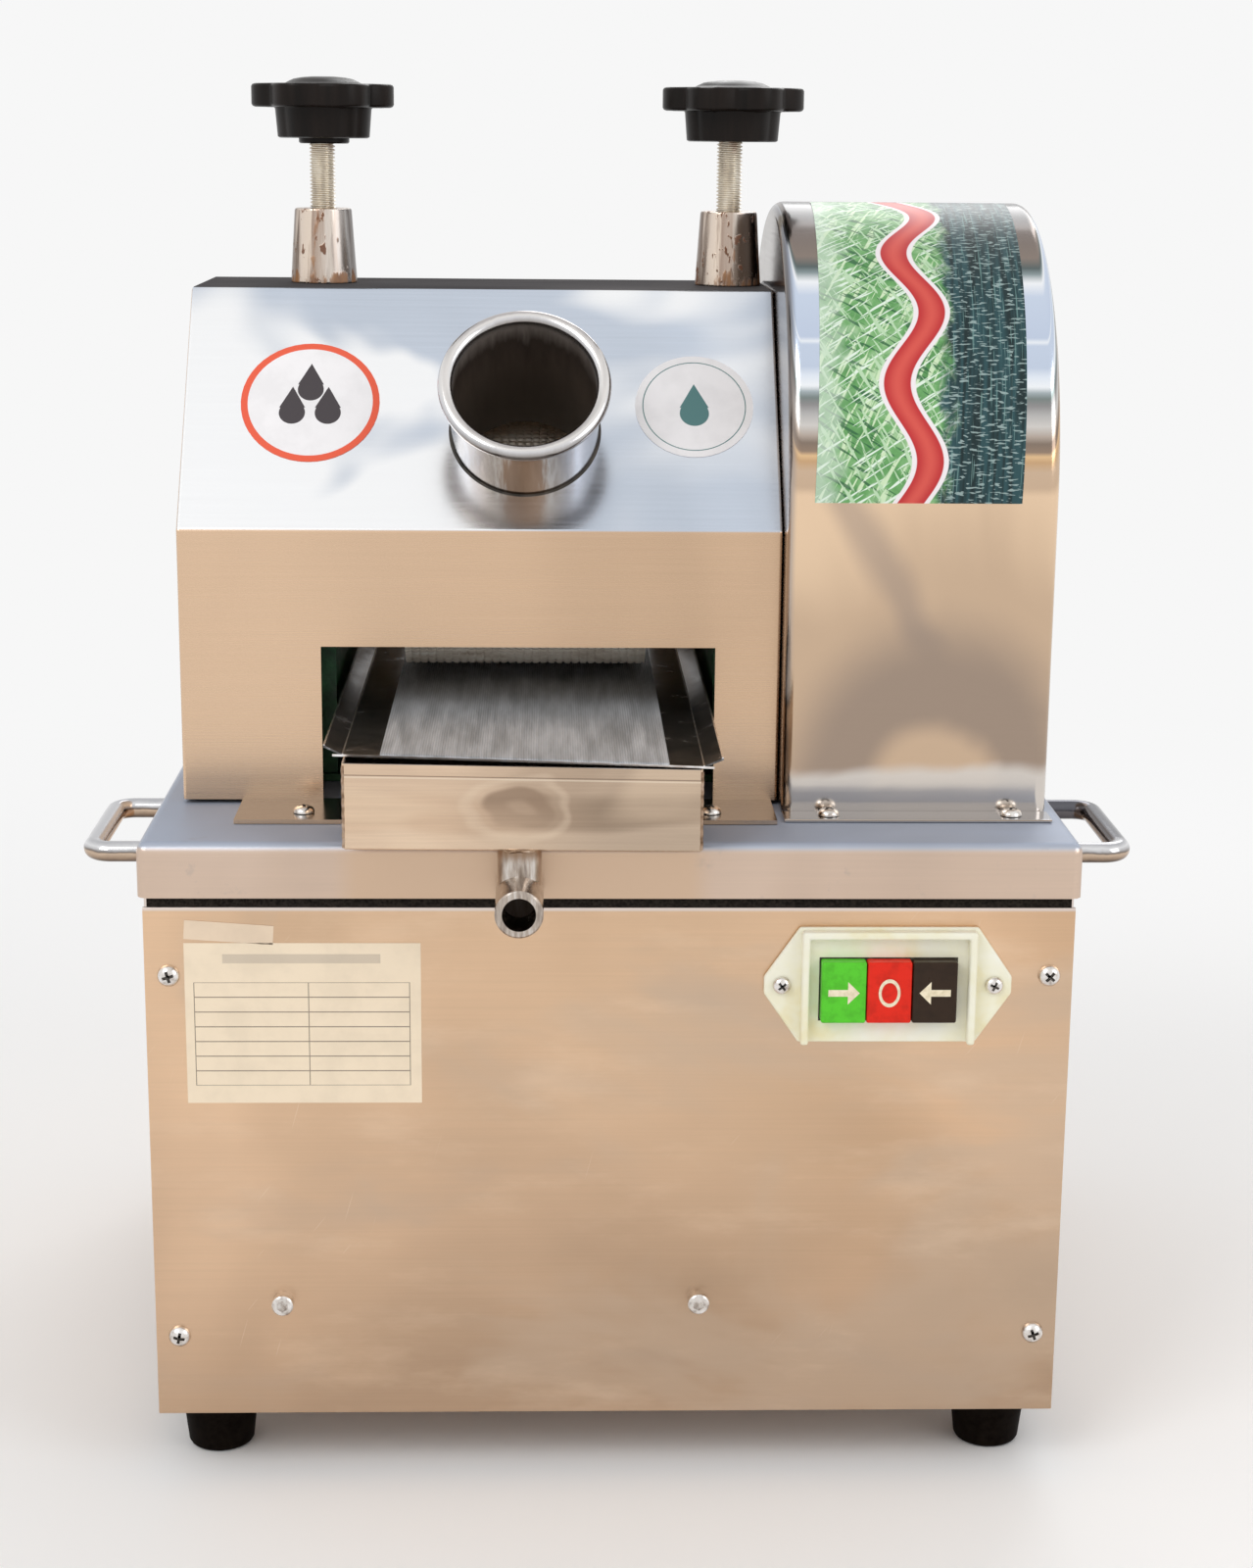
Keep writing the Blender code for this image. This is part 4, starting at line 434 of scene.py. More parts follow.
def cabinet_steel(name, seed):
    """The panels: a painted warm reflection, paler towards the top and darker towards the bottom."""
    warm = (0.97, 0.675, 0.445)
    shades = ((0.0, warm), (0.5, warm), (0.9, COLD_REFLECTION))
    paint, tone, lines = sheet_steel(name, shades, 0.33, clouds=4.2, contrast=1.0, seed=seed)
    height = paint.along(2)
    drift = (paint.noise(paint.place((1, 1, 1.4), (seed, 0, seed)), 3.4, 3.0, 0.55, 0.8) - 0.5) * 0.9
    # Painted reflection: darker towards the bottom, paler towards the top.
    reflection_fade = paint.ramp(height * 3.2 + drift, (0.08, (0.60, 0.61, 0.64)), (0.34, (0.80, 0.80, 0.82)),
                      (0.56, (0.94, 0.94, 0.95)), (0.86, BRIGHT))
    tone = paint.mix(1.0, tone, reflection_fade, "MULTIPLY")
    # Darker towards the right, part of the same painted reflection.
    aside = paint.between(paint.along(0) + drift * 0.10, 0.05, 0.18)
    tone = paint.mix(aside * 0.75, tone, paint.mix(1.0, tone, (0.80, 0.76, 0.72), "MULTIPLY"))
    grey = paint.between(paint.noise(paint.place((1, 1, 1.8), (0.2, seed, 0.5)), 5.2, 4.0, 0.55, 0.6), 0.50, 0.64)
    tone = paint.mix(grey * 0.50, tone, (0.60, 0.465, 0.350))
    smudge = paint.noise(paint.place((5, 5, 14)), 1.0, 4.0, 0.6)
    tone = paint.mix(paint.between(smudge, 0.54, 0.70) * 0.30, tone, (0.50, 0.40, 0.32))
    smear = paint.noise(paint.place((1, 1, 3.2), (seed, 0.3, 0)), 11.0, 5.0, 0.62)
    tone = paint.mix(paint.between(smear, 0.50, 0.74) * 0.20, tone, (0.98, 0.76, 0.56))
    tone = scratched(paint, tone)
    # A painted highlight along the panel's folded top edge.
    hem = paint.between(height, panel_top - 0.0022, panel_top - 0.0010)
    tone = paint.mix(hem * 0.6, tone, (0.78, 0.76, 0.77))
    paint.feed("Base Color", tone)
    paint.feed("Roughness", lines * 0.16 + 0.24)
    paint.bump(lines, 0.00006, 0.6)
    return paint


front_steel = cabinet_steel("front_steel", 0.7)
side_steel = cabinet_steel("side_steel", 2.3)
for node, paint in (("front_panel", front_steel), ("rear_panel", front_steel),
                    ("left_panel", side_steel), ("right_panel", side_steel)):
    smoothed(node, paint)

# %% Deck and floor pan
# Painted reflections by facing: warm on the upright lip, cold blue-grey on the top.
deck_facing_reflections = ((0.0, (0.70, 0.54, 0.43)), (0.25, (0.70, 0.55, 0.45)), (0.6, (0.52, 0.55, 0.62)),
               (0.95, (0.40, 0.455, 0.57)))
deck_paint, tone, lines = sheet_steel("deck_steel", deck_facing_reflections, 0.38, clouds=7.0, contrast=0.6)
stain = deck_paint.noise(deck_paint.place(), 60.0, 5.0, 0.65)
tone = deck_paint.mix(deck_paint.between(stain, 0.62, 0.74) * 0.25, tone, (0.30, 0.29, 0.29))
# A painted warm reflection of the tray on the upright faces beneath it.
tray_reflection = deck_paint.between(abs(deck_paint.along(0) + 0.0402), 0.088, 0.074)
upright = deck_paint.between(abs(deck_paint.facing(2)), 0.35, 0.05)
tone = deck_paint.mix(tray_reflection * upright * 0.8, tone, (0.64, 0.455, 0.315))
deck_paint.feed("Base Color", tone)
level = deck_paint.between(deck_paint.facing(2), 0.7, TOP_FACING)
deck_paint.feed("Metallic", 1 - level * 0.85)
deck_paint.shader.inputs["Specular IOR Level"].default_value = 0.3
deck_paint.feed("Roughness", lines * 0.18 + 0.27 + level * 0.15)
deck_paint.bump(lines, 0.00005, 0.5)
smoothed("deck", deck_paint)
smoothed("base_tray", deck_paint)

# A black strip behind the gap under the deck's lip: painted shade that darkens the gap.
gap_shade_paint = Paint("gap_shade_black", (0.015, 0.012, 0.010), 0.9, shine=0.1)
strip_mottle = gap_shade_paint.noise(gap_shade_paint.place(), 900.0, 2.0)
gap_shade_paint.feed("Base Color", gap_shade_paint.ramp(strip_mottle, (0.35, (0.008, 0.006, 0.005)), (0.65, (0.030, 0.024, 0.020))))
panel_low, panel_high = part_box("front_panel")
GAP_SHADE_DEEP = 0.0030
GAP_SHADE_TALL = 0.0060
gap_shade_strip = block((panel_low.x + 0.002, panel_low.y + 0.0002, panel_high.z + 0.0001),
               (panel_high.x - 0.002, panel_low.y + GAP_SHADE_DEEP, panel_high.z + GAP_SHADE_TALL))
piece("deck_gap_shade", gap_shade_strip, gap_shade_paint, body="cabinet")

# %% [markdown]
# ## The hood
# One sheet is folded over the mill: a tall front, a slope that carries the feed tube, and a
# narrow top. The solid has the right folds, so its own shape is kept, and painted reflections
# tell the faces apart: a warm one on the upright steel, a cold bright one with a painted highlight on the slope, and a
# dark one on the top.

# %% Dress the hood
hood_paint, tone, lines = sheet_steel("hood_steel", FACING_REFLECTIONS, 0.30, clouds=5.5, contrast=0.75, seed=1.9)
# glow and the left mask paint a bright highlight on the slope, stronger to the left and lower down.
glow = hood_paint.noise(hood_paint.place((1, 1, 1), (0.4, 0.2, 0)), 7.0, 2.0, 0.5, 1.2)
slope = hood_paint.between(hood_paint.facing(2), 0.35, 0.5)
left = hood_paint.between(hood_paint.along(0), 0.04, -0.18)
lower = (0.500 - hood_paint.along(2)) * 2.4
shine = hood_paint.between(glow + left * (lower + 0.30), 0.56, 0.72)
tone = hood_paint.mix(shine * slope * 0.9, tone, (1.0, 1.0, 1.0))
# A painted warm reflection on the left of the upright faces.
tone = hood_paint.mix(left * (1 - slope) * 0.25, tone, (1.0, 0.74, 0.53))
# Darker patches low on the hood.
low = hood_paint.between(hood_paint.along(2), 0.362, 0.322)
dull = hood_paint.between(hood_paint.noise(hood_paint.place((1.6, 1.6, 1)), 8.0, 2.0), 0.44, 0.62)
tone = hood_paint.mix(low * dull * 0.55, tone, (0.36, 0.34, 0.33))
level = hood_paint.between(hood_paint.facing(2), 0.80, TOP_FACING)
chute = hood_paint.between(hood_paint.along(1), 0.09, 0.10)
level = level * (1 - chute) * hood_paint.between(hood_paint.along(2), 0.45, 0.50)
flange = hood_paint.between(hood_paint.facing(2), 0.80, TOP_FACING) * (hood_paint.along(2) < 0.45)
tone = hood_paint.mix(flange * (1 - chute), tone, (0.40, 0.39, 0.39))
# A painted dark reflection on the narrow top.
dark_top_reflection = hood_paint.ramp(lines * 0.5 + glow * 0.5, (0.36, (0.060, 0.057, 0.060)), (0.64, (0.125, 0.118, 0.120)))
tone = hood_paint.mix(level, tone, dark_top_reflection)
hood_paint.feed("Metallic", 1 - level * 0.92)
hood_paint.feed("Base Color", tone)
hood_paint.feed("Roughness", lines * 0.14 + 0.20 + level * 0.3 - slope * 0.06)
hood_paint.shader.inputs["Specular IOR Level"].default_value = 0.0
hood_paint.bump(lines, 0.00003, 0.35)
smoothed("hood", hood_paint)
smoothed("outlet_chute", hood_paint)
hood_low, hood_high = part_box("hood")
print("hood", [round(value, 4) for value in (*hood_low, *hood_high)])

# %% [markdown]
# ## The gear cover
# An arched band of polished steel closed by two flat walls. Its section, with a soft bend
# at each side, is spun half a turn over the gears and then pulled down to the deck. The
# reflections of a polished arch are painted into its colour as bands that follow the slope, with painted dark and
# bright patches on the upright faces.

# %% Polished arch finish
cover_paint = Paint("cover_steel", (0.6, 0.58, 0.56), 0.16, metallic=1.0)
slope = cover_paint.facing(2)
# Painted reflections: bands of colour that follow the slope of the arch.
bands = cover_paint.ramp(
    slope,
    (0.00, (0.62, 0.45, 0.31)), (0.09, (0.64, 0.47, 0.33)), (0.125, (0.62, 0.40, 0.22)),
    (0.145, (0.80, 0.54, 0.30)), (0.16, (0.33, 0.24, 0.18)), (0.19, (0.26, 0.20, 0.16)),
    (0.215, (0.50, 0.42, 0.36)), (0.25, (0.68, 0.65, 0.62)), (0.29, (0.50, 0.49, 0.48)),
    (0.32, (0.31, 0.30, 0.30)), (0.345, (0.22, 0.26, 0.25)), (0.365, (0.40, 0.46, 0.48)),
    (0.385, (0.93, 0.96, 0.99)), (0.42, (0.80, 0.86, 0.95)), (0.45, (0.58, 0.66, 0.80)),
    (0.525, (0.60, 0.68, 0.82)), (0.536, (0.88, 0.92, 0.97)), (0.55, (0.57, 0.65, 0.80)),
    (0.69, (0.62, 0.70, 0.84)), (0.735, (0.93, 0.95, 0.98)), (0.765, (0.28, 0.34, 0.35)),
    (0.785, (0.12, 0.15, 0.15)), (0.82, (0.27, 0.22, 0.19)), (0.90, (0.20, 0.165, 0.15)),
    (0.955, (0.07, 0.065, 0.065)),
)
swirl = cover_paint.noise(cover_paint.place((1.2, 1.2, 1)), 6.5, 3.0, 0.5, 1.2)
upright = cover_paint.between(slope, 0.04, 0.0)
height = cover_paint.along(2)
sideways = cover_paint.along(0)
wander = (swirl - 0.5) * 0.16
# A painted warm reflection on the upright faces, higher up.
glow = cover_paint.between(height + wander, 0.400, 0.470)
tone = cover_paint.mix(glow * upright * 0.95, bands, (0.86, 0.63, 0.43))
# A painted dark reflection sweeping down across the upright faces.
sweep = abs(height + wander * 0.5 + sideways * 1.83 - 0.661) / 2.085
high_up = cover_paint.between(height, 0.380, 0.400)
tone = cover_paint.mix(cover_paint.between(sweep, 0.012, 0.001) * high_up * upright * 0.50, tone, (0.34, 0.27, 0.23))
# A painted dark ring of reflection round a point on the upright faces.
pool_x = sideways - 0.1513 + wander * 0.12
pool_z = (height - 0.322 + wander * 0.15) * 0.85
pool = cover_paint.node("Math", {"operation": "SQRT"}, {0: pool_x * pool_x + pool_z * pool_z})
shadow = cover_paint.between(pool, 0.022, 0.036) * cover_paint.between(pool, 0.082, 0.050)
tone = cover_paint.mix(shadow * upright * 0.70, tone, (0.27, 0.215, 0.185))
# A painted bright reflection along the foot of the upright faces.
base = cover_paint.between(height + wander * 0.15, 0.337, 0.329)
tone = cover_paint.mix(base * upright * 0.85, tone, (0.72, 0.67, 0.62))
# A painted dark reflection on the wall that faces the hood, darker higher up.
inward = cover_paint.between(cover_paint.facing(0), -0.25, -0.85)
hood_side_wall_reflection = cover_paint.ramp(height, (0.47, (0.44, 0.38, 0.34)), (0.54, (0.10, 0.085, 0.08)))
tone = cover_paint.mix(inward * 0.9, tone, hood_side_wall_reflection)
flat = cover_paint.between(slope, 0.90, 0.98) * (height < 0.40)
tone = cover_paint.mix(flat, tone, (0.41, 0.41, 0.43))
cover_paint.feed("Base Color", tone)
dull = cover_paint.between(slope, 0.86, 0.95) * (1 - flat)
cover_paint.feed("Metallic", 1 - dull * 0.85)
cover_paint.shader.inputs["Specular IOR Level"].default_value = 0.2
wear = cover_paint.noise(cover_paint.place((12, 12, 400)), 1.0, 3.0, 0.6)
cover_paint.feed("Roughness", wear * 0.10 + 0.11)
cover_paint.bump(swirl, 0.0012, 0.25)

# %% Shape the gear cover
COVER_SHEET = 0.0015
COVER_FLANGE = 0.016
COVER_BEND = 0.006
SHAFT_HOLE = 0.017
cover_low, cover_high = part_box("gear_cover")
cover_radius = (cover_high.y - cover_low.y) / 2 - COVER_FLANGE
cover_y = (cover_high.y + cover_low.y) / 2
arch_z = cover_high.z - cover_radius


def chain_of(form, points):
    """Vertices joined in a row."""
    verts = [form.verts.new(point) for point in points]
    edges = [form.edges.new(pair) for pair in zip(verts, verts[1:])]
    return verts, edges


def pulled(form, edges, vector):
    """Extrudes a row of edges by a vector."""
    made = bmesh.ops.extrude_edge_only(form, edges=edges)["geom"]
    verts = [item for item in made if isinstance(item, bmesh.types.BMVert)]
    bmesh.ops.translate(form, vec=vector, verts=verts)
    return made


def wall_in(form, x, holes):
    """Fills the flat end of the arch at x, leaving round holes of (y, z, radius)."""
    level = [vert for vert in form.verts if abs(vert.co.x - x) < 0.00001]
    feet = sorted((vert for vert in level if vert.co.z < cover_low.z + 0.00001), key=lambda vert: vert.co.y)
    rim = {edge for vert in level for edge in vert.link_edges if edge.is_boundary}
    rim = [edge for edge in rim if all(abs(vert.co.x - x) < 0.00001 for vert in edge.verts)]
    rim.append(form.edges.new((feet[0], feet[-1])))
    for y, z, radius in holes:
        turn = Matrix.Translation((x, y, z)) @ Matrix.Rotation(math.pi / 2, 4, "Y")
        ring = bmesh.ops.create_circle(form, cap_ends=False, radius=radius, segments=40, matrix=turn)["verts"]
        rim += list({edge for vert in ring for edge in vert.link_edges})
    bmesh.ops.triangle_fill(form, use_beauty=True, use_dissolve=False, edges=rim)


shell = bmesh.new()
section = curve((cover_low.x + COVER_BEND, cover_radius - COVER_BEND), COVER_BEND, 180, 90, 6)
section += curve((cover_high.x - COVER_BEND, cover_radius - COVER_BEND), COVER_BEND, 90, 0, 6)
verts, edges = chain_of(shell, [(x, cover_y - reach, arch_z) for x, reach in section])
spun = bmesh.ops.spin(shell, geom=verts + edges, cent=(0, cover_y, arch_z), axis=(-1, 0, 0),
                      angle=math.pi, steps=96)["geom_last"]
drop = (0, 0, cover_low.z - arch_z)
pulled(shell, edges, drop)
pulled(shell, [item for item in spun if isinstance(item, bmesh.types.BMEdge)], drop)
shafts = [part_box(roller) for roller in ("top_roller", "front_roller", "rear_roller")]
holes = [((low.y + high.y) / 2, (low.z + high.z) / 2, SHAFT_HOLE) for low, high in shafts]
wall_in(shell, cover_low.x, holes)
wall_in(shell, cover_high.x, [])
bmesh.ops.remove_doubles(shell, verts=shell.verts, dist=0.000001)
bmesh.ops.recalc_face_normals(shell, faces=shell.faces)
outer = max(shell.faces, key=lambda face: face.calc_center_median().z)
if outer.normal.z < 0:
    bmesh.ops.reverse_faces(shell, faces=shell.faces)
cover = piece("gear_cover_shell", shell, cover_paint, ["gear_cover"])
wall = cover.modifiers.new("sheet", "SOLIDIFY")
wall.thickness = COVER_SHEET
wall.offset = -1
cover.modifiers.move(1, 0)

flanges = [
    block((cover_low.x, cover_low.y, cover_low.z), (cover_high.x, cover_y - cover_radius, cover_low.z + COVER_SHEET)),
    block((cover_low.x, cover_y + cover_radius, cover_low.z), (cover_high.x, cover_high.y, cover_low.z + COVER_SHEET)),
]
flange = rounded(joined(*flanges), 0.0004, 2)
piece("gear_cover_flanges", flange, cover_paint, body="cabinet")
print("gear cover arch radius", round(cover_radius, 4), "top", round(cover_high.z, 4))

# %% [markdown]
# ## The printed banner
# A glossy film is stuck over the front of the arch. It is a strip spun about the same axis
# just outside the steel, with a UV map that runs across and along it, so its printed
# pattern of leaves, canes and a ribbon follows the curve.

# %% Banner print
banner_paint = Paint("banner_print", (0.2, 0.5, 0.2), 0.36, shine=0.3)
chart = banner_paint.node("UVMap", {"uv_map": "print"}, {})
across = banner_paint.node("SeparateXYZ", {}, {"Vector": chart}, 0)
upward = banner_paint.node("SeparateXYZ", {}, {"Vector": chart}, 1)


sheet = banner_paint.node("Mapping", {}, {"Vector": chart, "Scale": (1.0, 2.1, 1.0)})


def blades(turn, long, short, low, high):
    """Thin leaf-like strokes at an angle, their length and width in shares of the banner's width."""
    where = banner_paint.lying(sheet, turn, long, short)
    return banner_paint.between(banner_paint.noise(where, 1.0, 1.5, 0.5, 0.35), low, high)


green = banner_paint.ramp(banner_paint.noise(sheet, 5.0, 4.0, 0.6), (0.30, (0.06, 0.22, 0.06)),
                          (0.50, (0.15, 0.38, 0.13)), (0.68, (0.40, 0.60, 0.34)))
green = banner_paint.mix(blades(1.15, 0.20, 0.022, 0.55, 0.62), green, (0.60, 0.76, 0.50))
green = banner_paint.mix(blades(-0.55, 0.16, 0.018, 0.56, 0.62) * 0.9, green, (0.03, 0.13, 0.05))
green = banner_paint.mix(blades(0.60, 0.22, 0.016, 0.57, 0.63), green, (0.74, 0.86, 0.74))
green = banner_paint.mix(blades(-1.05, 0.18, 0.020, 0.58, 0.64), green, (0.48, 0.68, 0.44))
misty = banner_paint.between(across + (banner_paint.noise(sheet, 9.0, 3.0) - 0.5) * 0.3, 0.16, 0.02)
green = banner_paint.mix(misty * 0.55, green, (0.66, 0.77, 0.66))
canes = banner_paint.ramp(blades(math.pi / 2, 0.6, 0.030, 0.35, 0.65), (0.0, (0.006, 0.020, 0.022)),
                          (1.0, (0.022, 0.070, 0.080)))
canes = banner_paint.mix(blades(0.0, 0.045, 0.012, 0.57, 0.62) * 0.75, canes, (0.36, 0.47, 0.46))
canes = banner_paint.mix(blades(math.pi / 2, 0.30, 0.010, 0.62, 0.66) * 0.5, canes, (0.20, 0.36, 0.34))
edge = across + (banner_paint.noise(chart, 14.0, 3.0) - 0.5) * 0.22
ground = banner_paint.mix(banner_paint.between(edge, 0.56, 0.66), green, canes)
ripple = banner_paint.node("Math", {"operation": "SINE"}, {0: upward * 17.0})
offset = abs(across - 0.46 - ripple * 0.085)
ground = banner_paint.mix(banner_paint.between(offset, 0.092, 0.086), ground, (0.86, 0.80, 0.82))
red = banner_paint.mix(banner_paint.between(offset, 0.0, 0.07), (0.66, 0.09, 0.07), (0.50, 0.025, 0.03))
ground = banner_paint.mix(banner_paint.between(offset, 0.068, 0.062), ground, red)
banner_paint.feed("Base Color", ground)
banner_paint.bump(banner_paint.noise(banner_paint.place(), 90.0, 2.0), 0.0002, 0.3)

# %% Banner shape
BANNER_LEFT = 0.0934
BANNER_WIDTH = 0.0958
BANNER_LEAN = 0.0060
BANNER_START = math.radians(-1.2)
BANNER_END = math.radians(87.0)
BANNER_PROUD = 0.0003
film = bmesh.new()
reach = cover_radius + BANNER_PROUD
count = 12
across_points = [BANNER_LEFT + BANNER_WIDTH * step / count for step in range(count + 1)]
verts, edges = chain_of(film, [(x, cover_y - reach, arch_z) for x in across_points])
centre = Vector((0, cover_y, arch_z))
bmesh.ops.rotate(film, cent=centre, matrix=Matrix.Rotation(-BANNER_START, 3, "X"), verts=film.verts)
bmesh.ops.spin(film, geom=verts + edges, cent=centre, axis=(-1, 0, 0), angle=BANNER_END - BANNER_START, steps=60)
print_map = film.loops.layers.uv.new("print")
for face in film.faces:
    for loop in face.loops:
        spot = loop.vert.co
        angle = math.atan2(spot.z - arch_z, cover_y - spot.y)
        loop[print_map].uv = ((spot.x - BANNER_LEFT) / BANNER_WIDTH,
                              (angle - BANNER_START) / (BANNER_END - BANNER_START))
for vert in film.verts:
    angle = math.atan2(vert.co.z - arch_z, cover_y - vert.co.y)
    vert.co.x += BANNER_LEAN * (angle - BANNER_START) / (BANNER_END - BANNER_START)
bmesh.ops.recalc_face_normals(film, faces=film.faces)
if min(film.faces, key=lambda face: face.calc_center_median().y).normal.y > 0:
    bmesh.ops.reverse_faces(film, faces=film.faces)
piece("gear_cover_banner", film, banner_paint, body="cabinet")
print("banner runs over", round(math.degrees(BANNER_END - BANNER_START)), "degrees of the arch")

# %% [markdown]
# ## Labels on the steel
# The plate, the little strip and the two round signs are thin printed films. Each is a
# slab a fifth of a millimetre thick, lying just proud of the steel, and a few sums on its
# own coordinates draw its plain rules and rings.

# %% Slope of the hood and label films
FILM = 0.0002
FILM_GAP = 0.0001
face_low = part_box("front_panel")[0].y
SLOPE_OUT = Vector((0, -0.78658, 0.61751))
SLOPE_UP = Vector((0, 0.61751, 0.78658))
TUBE_FOOT = Vector((-0.0402, -0.0946, 0.4862))


def on_slope(x, up):
    """A place on the hood's slope: x across, and a distance up the slope from the tube's foot."""
    spot = TUBE_FOOT + SLOPE_UP * up + SLOPE_OUT * FILM_GAP
    turn = Matrix((Vector((1, 0, 0)), SLOPE_UP, SLOPE_OUT)).transposed().to_4x4()
    return Matrix.Translation((x, spot.y, spot.z)) @ turn


def film_paint(name, colour):
    """Aged paper-like film with a faint mottle."""
    paint = Paint(name, colour, 0.42, shine=0.2)
    age = paint.noise(paint.place(), 45.0, 4.0, 0.6)
    worn = tuple(value * 0.93 for value in colour)
    return paint, paint.mix(paint.between(age, 0.40, 0.66), colour, worn)


def disc(radius):
    return slab(curve((0, 0), radius, 0, 352.5, 47), FILM)


# %% Rating plate
PLATE_LEFT = -0.1948
PLATE_RIGHT = -0.0870
PLATE_BOTTOM = 0.1872
PLATE_TOP = 0.2642
PLATE_ROWS = 7
CREAM = (0.88, 0.74, 0.56)
INK = (0.10, 0.08, 0.07)
plate_paint, tone = film_paint("plate_print", CREAM)
x = plate_paint.along(0)
z = plate_paint.along(2)
table_left = PLATE_LEFT + 0.004
table_right = PLATE_RIGHT - 0.005
table_bottom = PLATE_BOTTOM + 0.0085
row = 0.0071
divider = (table_left + table_right) / 2 + 0.003
inside = (x > table_left) * (x < table_right) * (z > table_bottom) * (z < table_bottom + PLATE_ROWS * row)
step = (z - table_bottom) / row
nearest = plate_paint.node("Math", {"operation": "ROUND"}, {0: step})
rules = abs(step - nearest) < 0.035
column = abs(x - divider) < 0.00022
sides = (abs(x - table_left - 0.0002) < 0.00022) + (abs(x - table_right + 0.0002) < 0.00022)
lines_drawn = plate_paint.clamped(rules + column + sides) * inside
tone = plate_paint.mix(lines_drawn * 0.75, tone, INK)
header = (abs(z - PLATE_TOP + 0.0075) < 0.0022) * (abs(x - divider + 0.003) < 0.036)
tone = plate_paint.mix(header * 0.5, tone, (0.42, 0.36, 0.30))
plate_paint.feed("Base Color", tone)
width = PLATE_RIGHT - PLATE_LEFT
plate = slab([(0, 0), (width, 0), (width, PLATE_TOP - PLATE_BOTTOM), (0, PLATE_TOP - PLATE_BOTTOM)], FILM)
moved(plate, facing_front(PLATE_LEFT, face_low - FILM_GAP, PLATE_BOTTOM))
piece("rating_plate", plate, plate_paint, body="cabinet")

strip_paint, tone = film_paint("strip_print", (0.80, 0.64, 0.48))
strip_paint.feed("Base Color", tone)
strip = slab([(-0.0203, -0.0045), (0.0203, -0.0045), (0.0203, 0.0045), (-0.0203, 0.0045)], FILM)
tilt = Matrix.Rotation(math.radians(-4), 4, "Z")
moved(strip, facing_front(-0.1742, face_low - FILM_GAP, 0.2692) @ tilt)
piece("plain_strip", strip, strip_paint, body="cabinet")
print("plate", round(width * 1000), "mm wide")

# %% Round signs
CORAL = (0.84, 0.13, 0.07)
SIGN_WHITE = (0.92, 0.90, 0.91)


def ring_print(name, x, up, radius, bands, drops):
    """A round film with rings of (inner, outer, colour) and a few plain drop shapes."""
    paint, tone = film_paint(name, SIGN_WHITE)
    place = on_slope(x, up)
    spot = paint.place()
    local = paint.node("VectorMath", {"operation": "SUBTRACT"}, {0: spot, 1: tuple(place.translation)})
    right = paint.node("SeparateXYZ", {}, {"Vector": local}, 0)
    rise = paint.node("VectorMath", {"operation": "DOT_PRODUCT"}, {0: local, 1: tuple(SLOPE_UP)}, "Value")
    away = paint.node("Math", {"operation": "SQRT"}, {0: right * right + rise * rise})
    for inner, outer, colour in bands:
        tone = paint.mix((away > inner) * (away < outer), tone, colour)
    for dx, dz, size, colour in drops:
        side = abs(right - dx)
        lift = rise - dz
        bowl = paint.node("Math", {"operation": "SQRT"}, {0: side * side + lift * lift}) < size
        cone = (side * 1.9 < (size * 2.35 - lift)) * (lift > size * 0.45)
        tone = paint.mix(paint.clamped(bowl + cone), tone, colour)
    paint.feed("Base Color", tone)
    piece(name, moved(disc(radius), place), paint, body="cabinet")


GREY = (0.07, 0.06, 0.065)
ring_print("round_sign", -0.1425, 0.0152, 0.0330, [(0.0297, 0.0330, CORAL)],
           [(-0.0085, -0.0060, 0.0062, GREY), (0.0085, -0.0060, 0.0062, GREY), (0.0, 0.0070, 0.0062, GREY)])
ring_print("round_seal", 0.0406, 0.0141, 0.0283, [(0.0243, 0.0248, (0.10, 0.22, 0.22))],
           [(0.0, -0.0040, 0.0070, (0.10, 0.22, 0.22))])
print("round signs made")

# %% [markdown]
# ## The feed tube
# Cane goes in through a short tube set square to the slope. A single profile, turned once,
# gives its wall, its rolled rim and the collar under the sheet. Its outside and rim carry
# painted reflections and shade by the way they face, and inside it painted shade darkens the steel by depth.

# %% Tube finish and shape
TUBE_OUTER = 0.0350
TUBE_INNER = 0.0335
TUBE_RIM = 0.0430
TUBE_DEEP = -0.0450
BEAD = 0.0034
tube_paint = Paint("tube_steel", (0.72, 0.66, 0.60), 0.17, metallic=1.0, shine=0.2)
span = tube_paint.place((1, 1, 1), tuple(-TUBE_FOOT))
depth = tube_paint.node("VectorMath", {"operation": "DOT_PRODUCT"}, {0: span, 1: tuple(SLOPE_OUT)}, "Value")
axis_x = tube_paint.node("SeparateXYZ", {}, {"Vector": span}, 0)
along_up = tube_paint.node("VectorMath", {"operation": "DOT_PRODUCT"}, {0: span, 1: tuple(SLOPE_UP)}, "Value")
away = tube_paint.node("Math", {"operation": "SQRT"}, {0: axis_x * axis_x + along_up * along_up})
streaks = tube_paint.noise(tube_paint.place((260, 30, 30)), 1.0, 3.0, 0.6)
# Painted reflections and shade round the tube, by the way each side faces.
round_side = abs(tube_paint.facing(0)) + (streaks - 0.5) * 0.5
tone = tube_paint.ramp(round_side, (0.0, (0.27, 0.16, 0.092)), (0.22, (0.33, 0.21, 0.135)), (0.34, (0.58, 0.52, 0.46)),
                       (0.42, (0.44, 0.37, 0.31)), (0.62, (0.28, 0.23, 0.20)), (0.80, (0.36, 0.35, 0.36)),
                       (0.95, (0.20, 0.18, 0.18)))
# Painted shade on the left side.
lean = tube_paint.ramp(tube_paint.facing(0) * 0.5 + 0.5, (0.14, (0.28, 0.28, 0.29)), (0.42, (0.8, 0.8, 0.8)),
                       (0.60, (1.0, 1.0, 1.0)), (0.85, (1.0, 1.0, 1.0)))
tone = tube_paint.mix(1.0, tone, lean, "MULTIPLY")
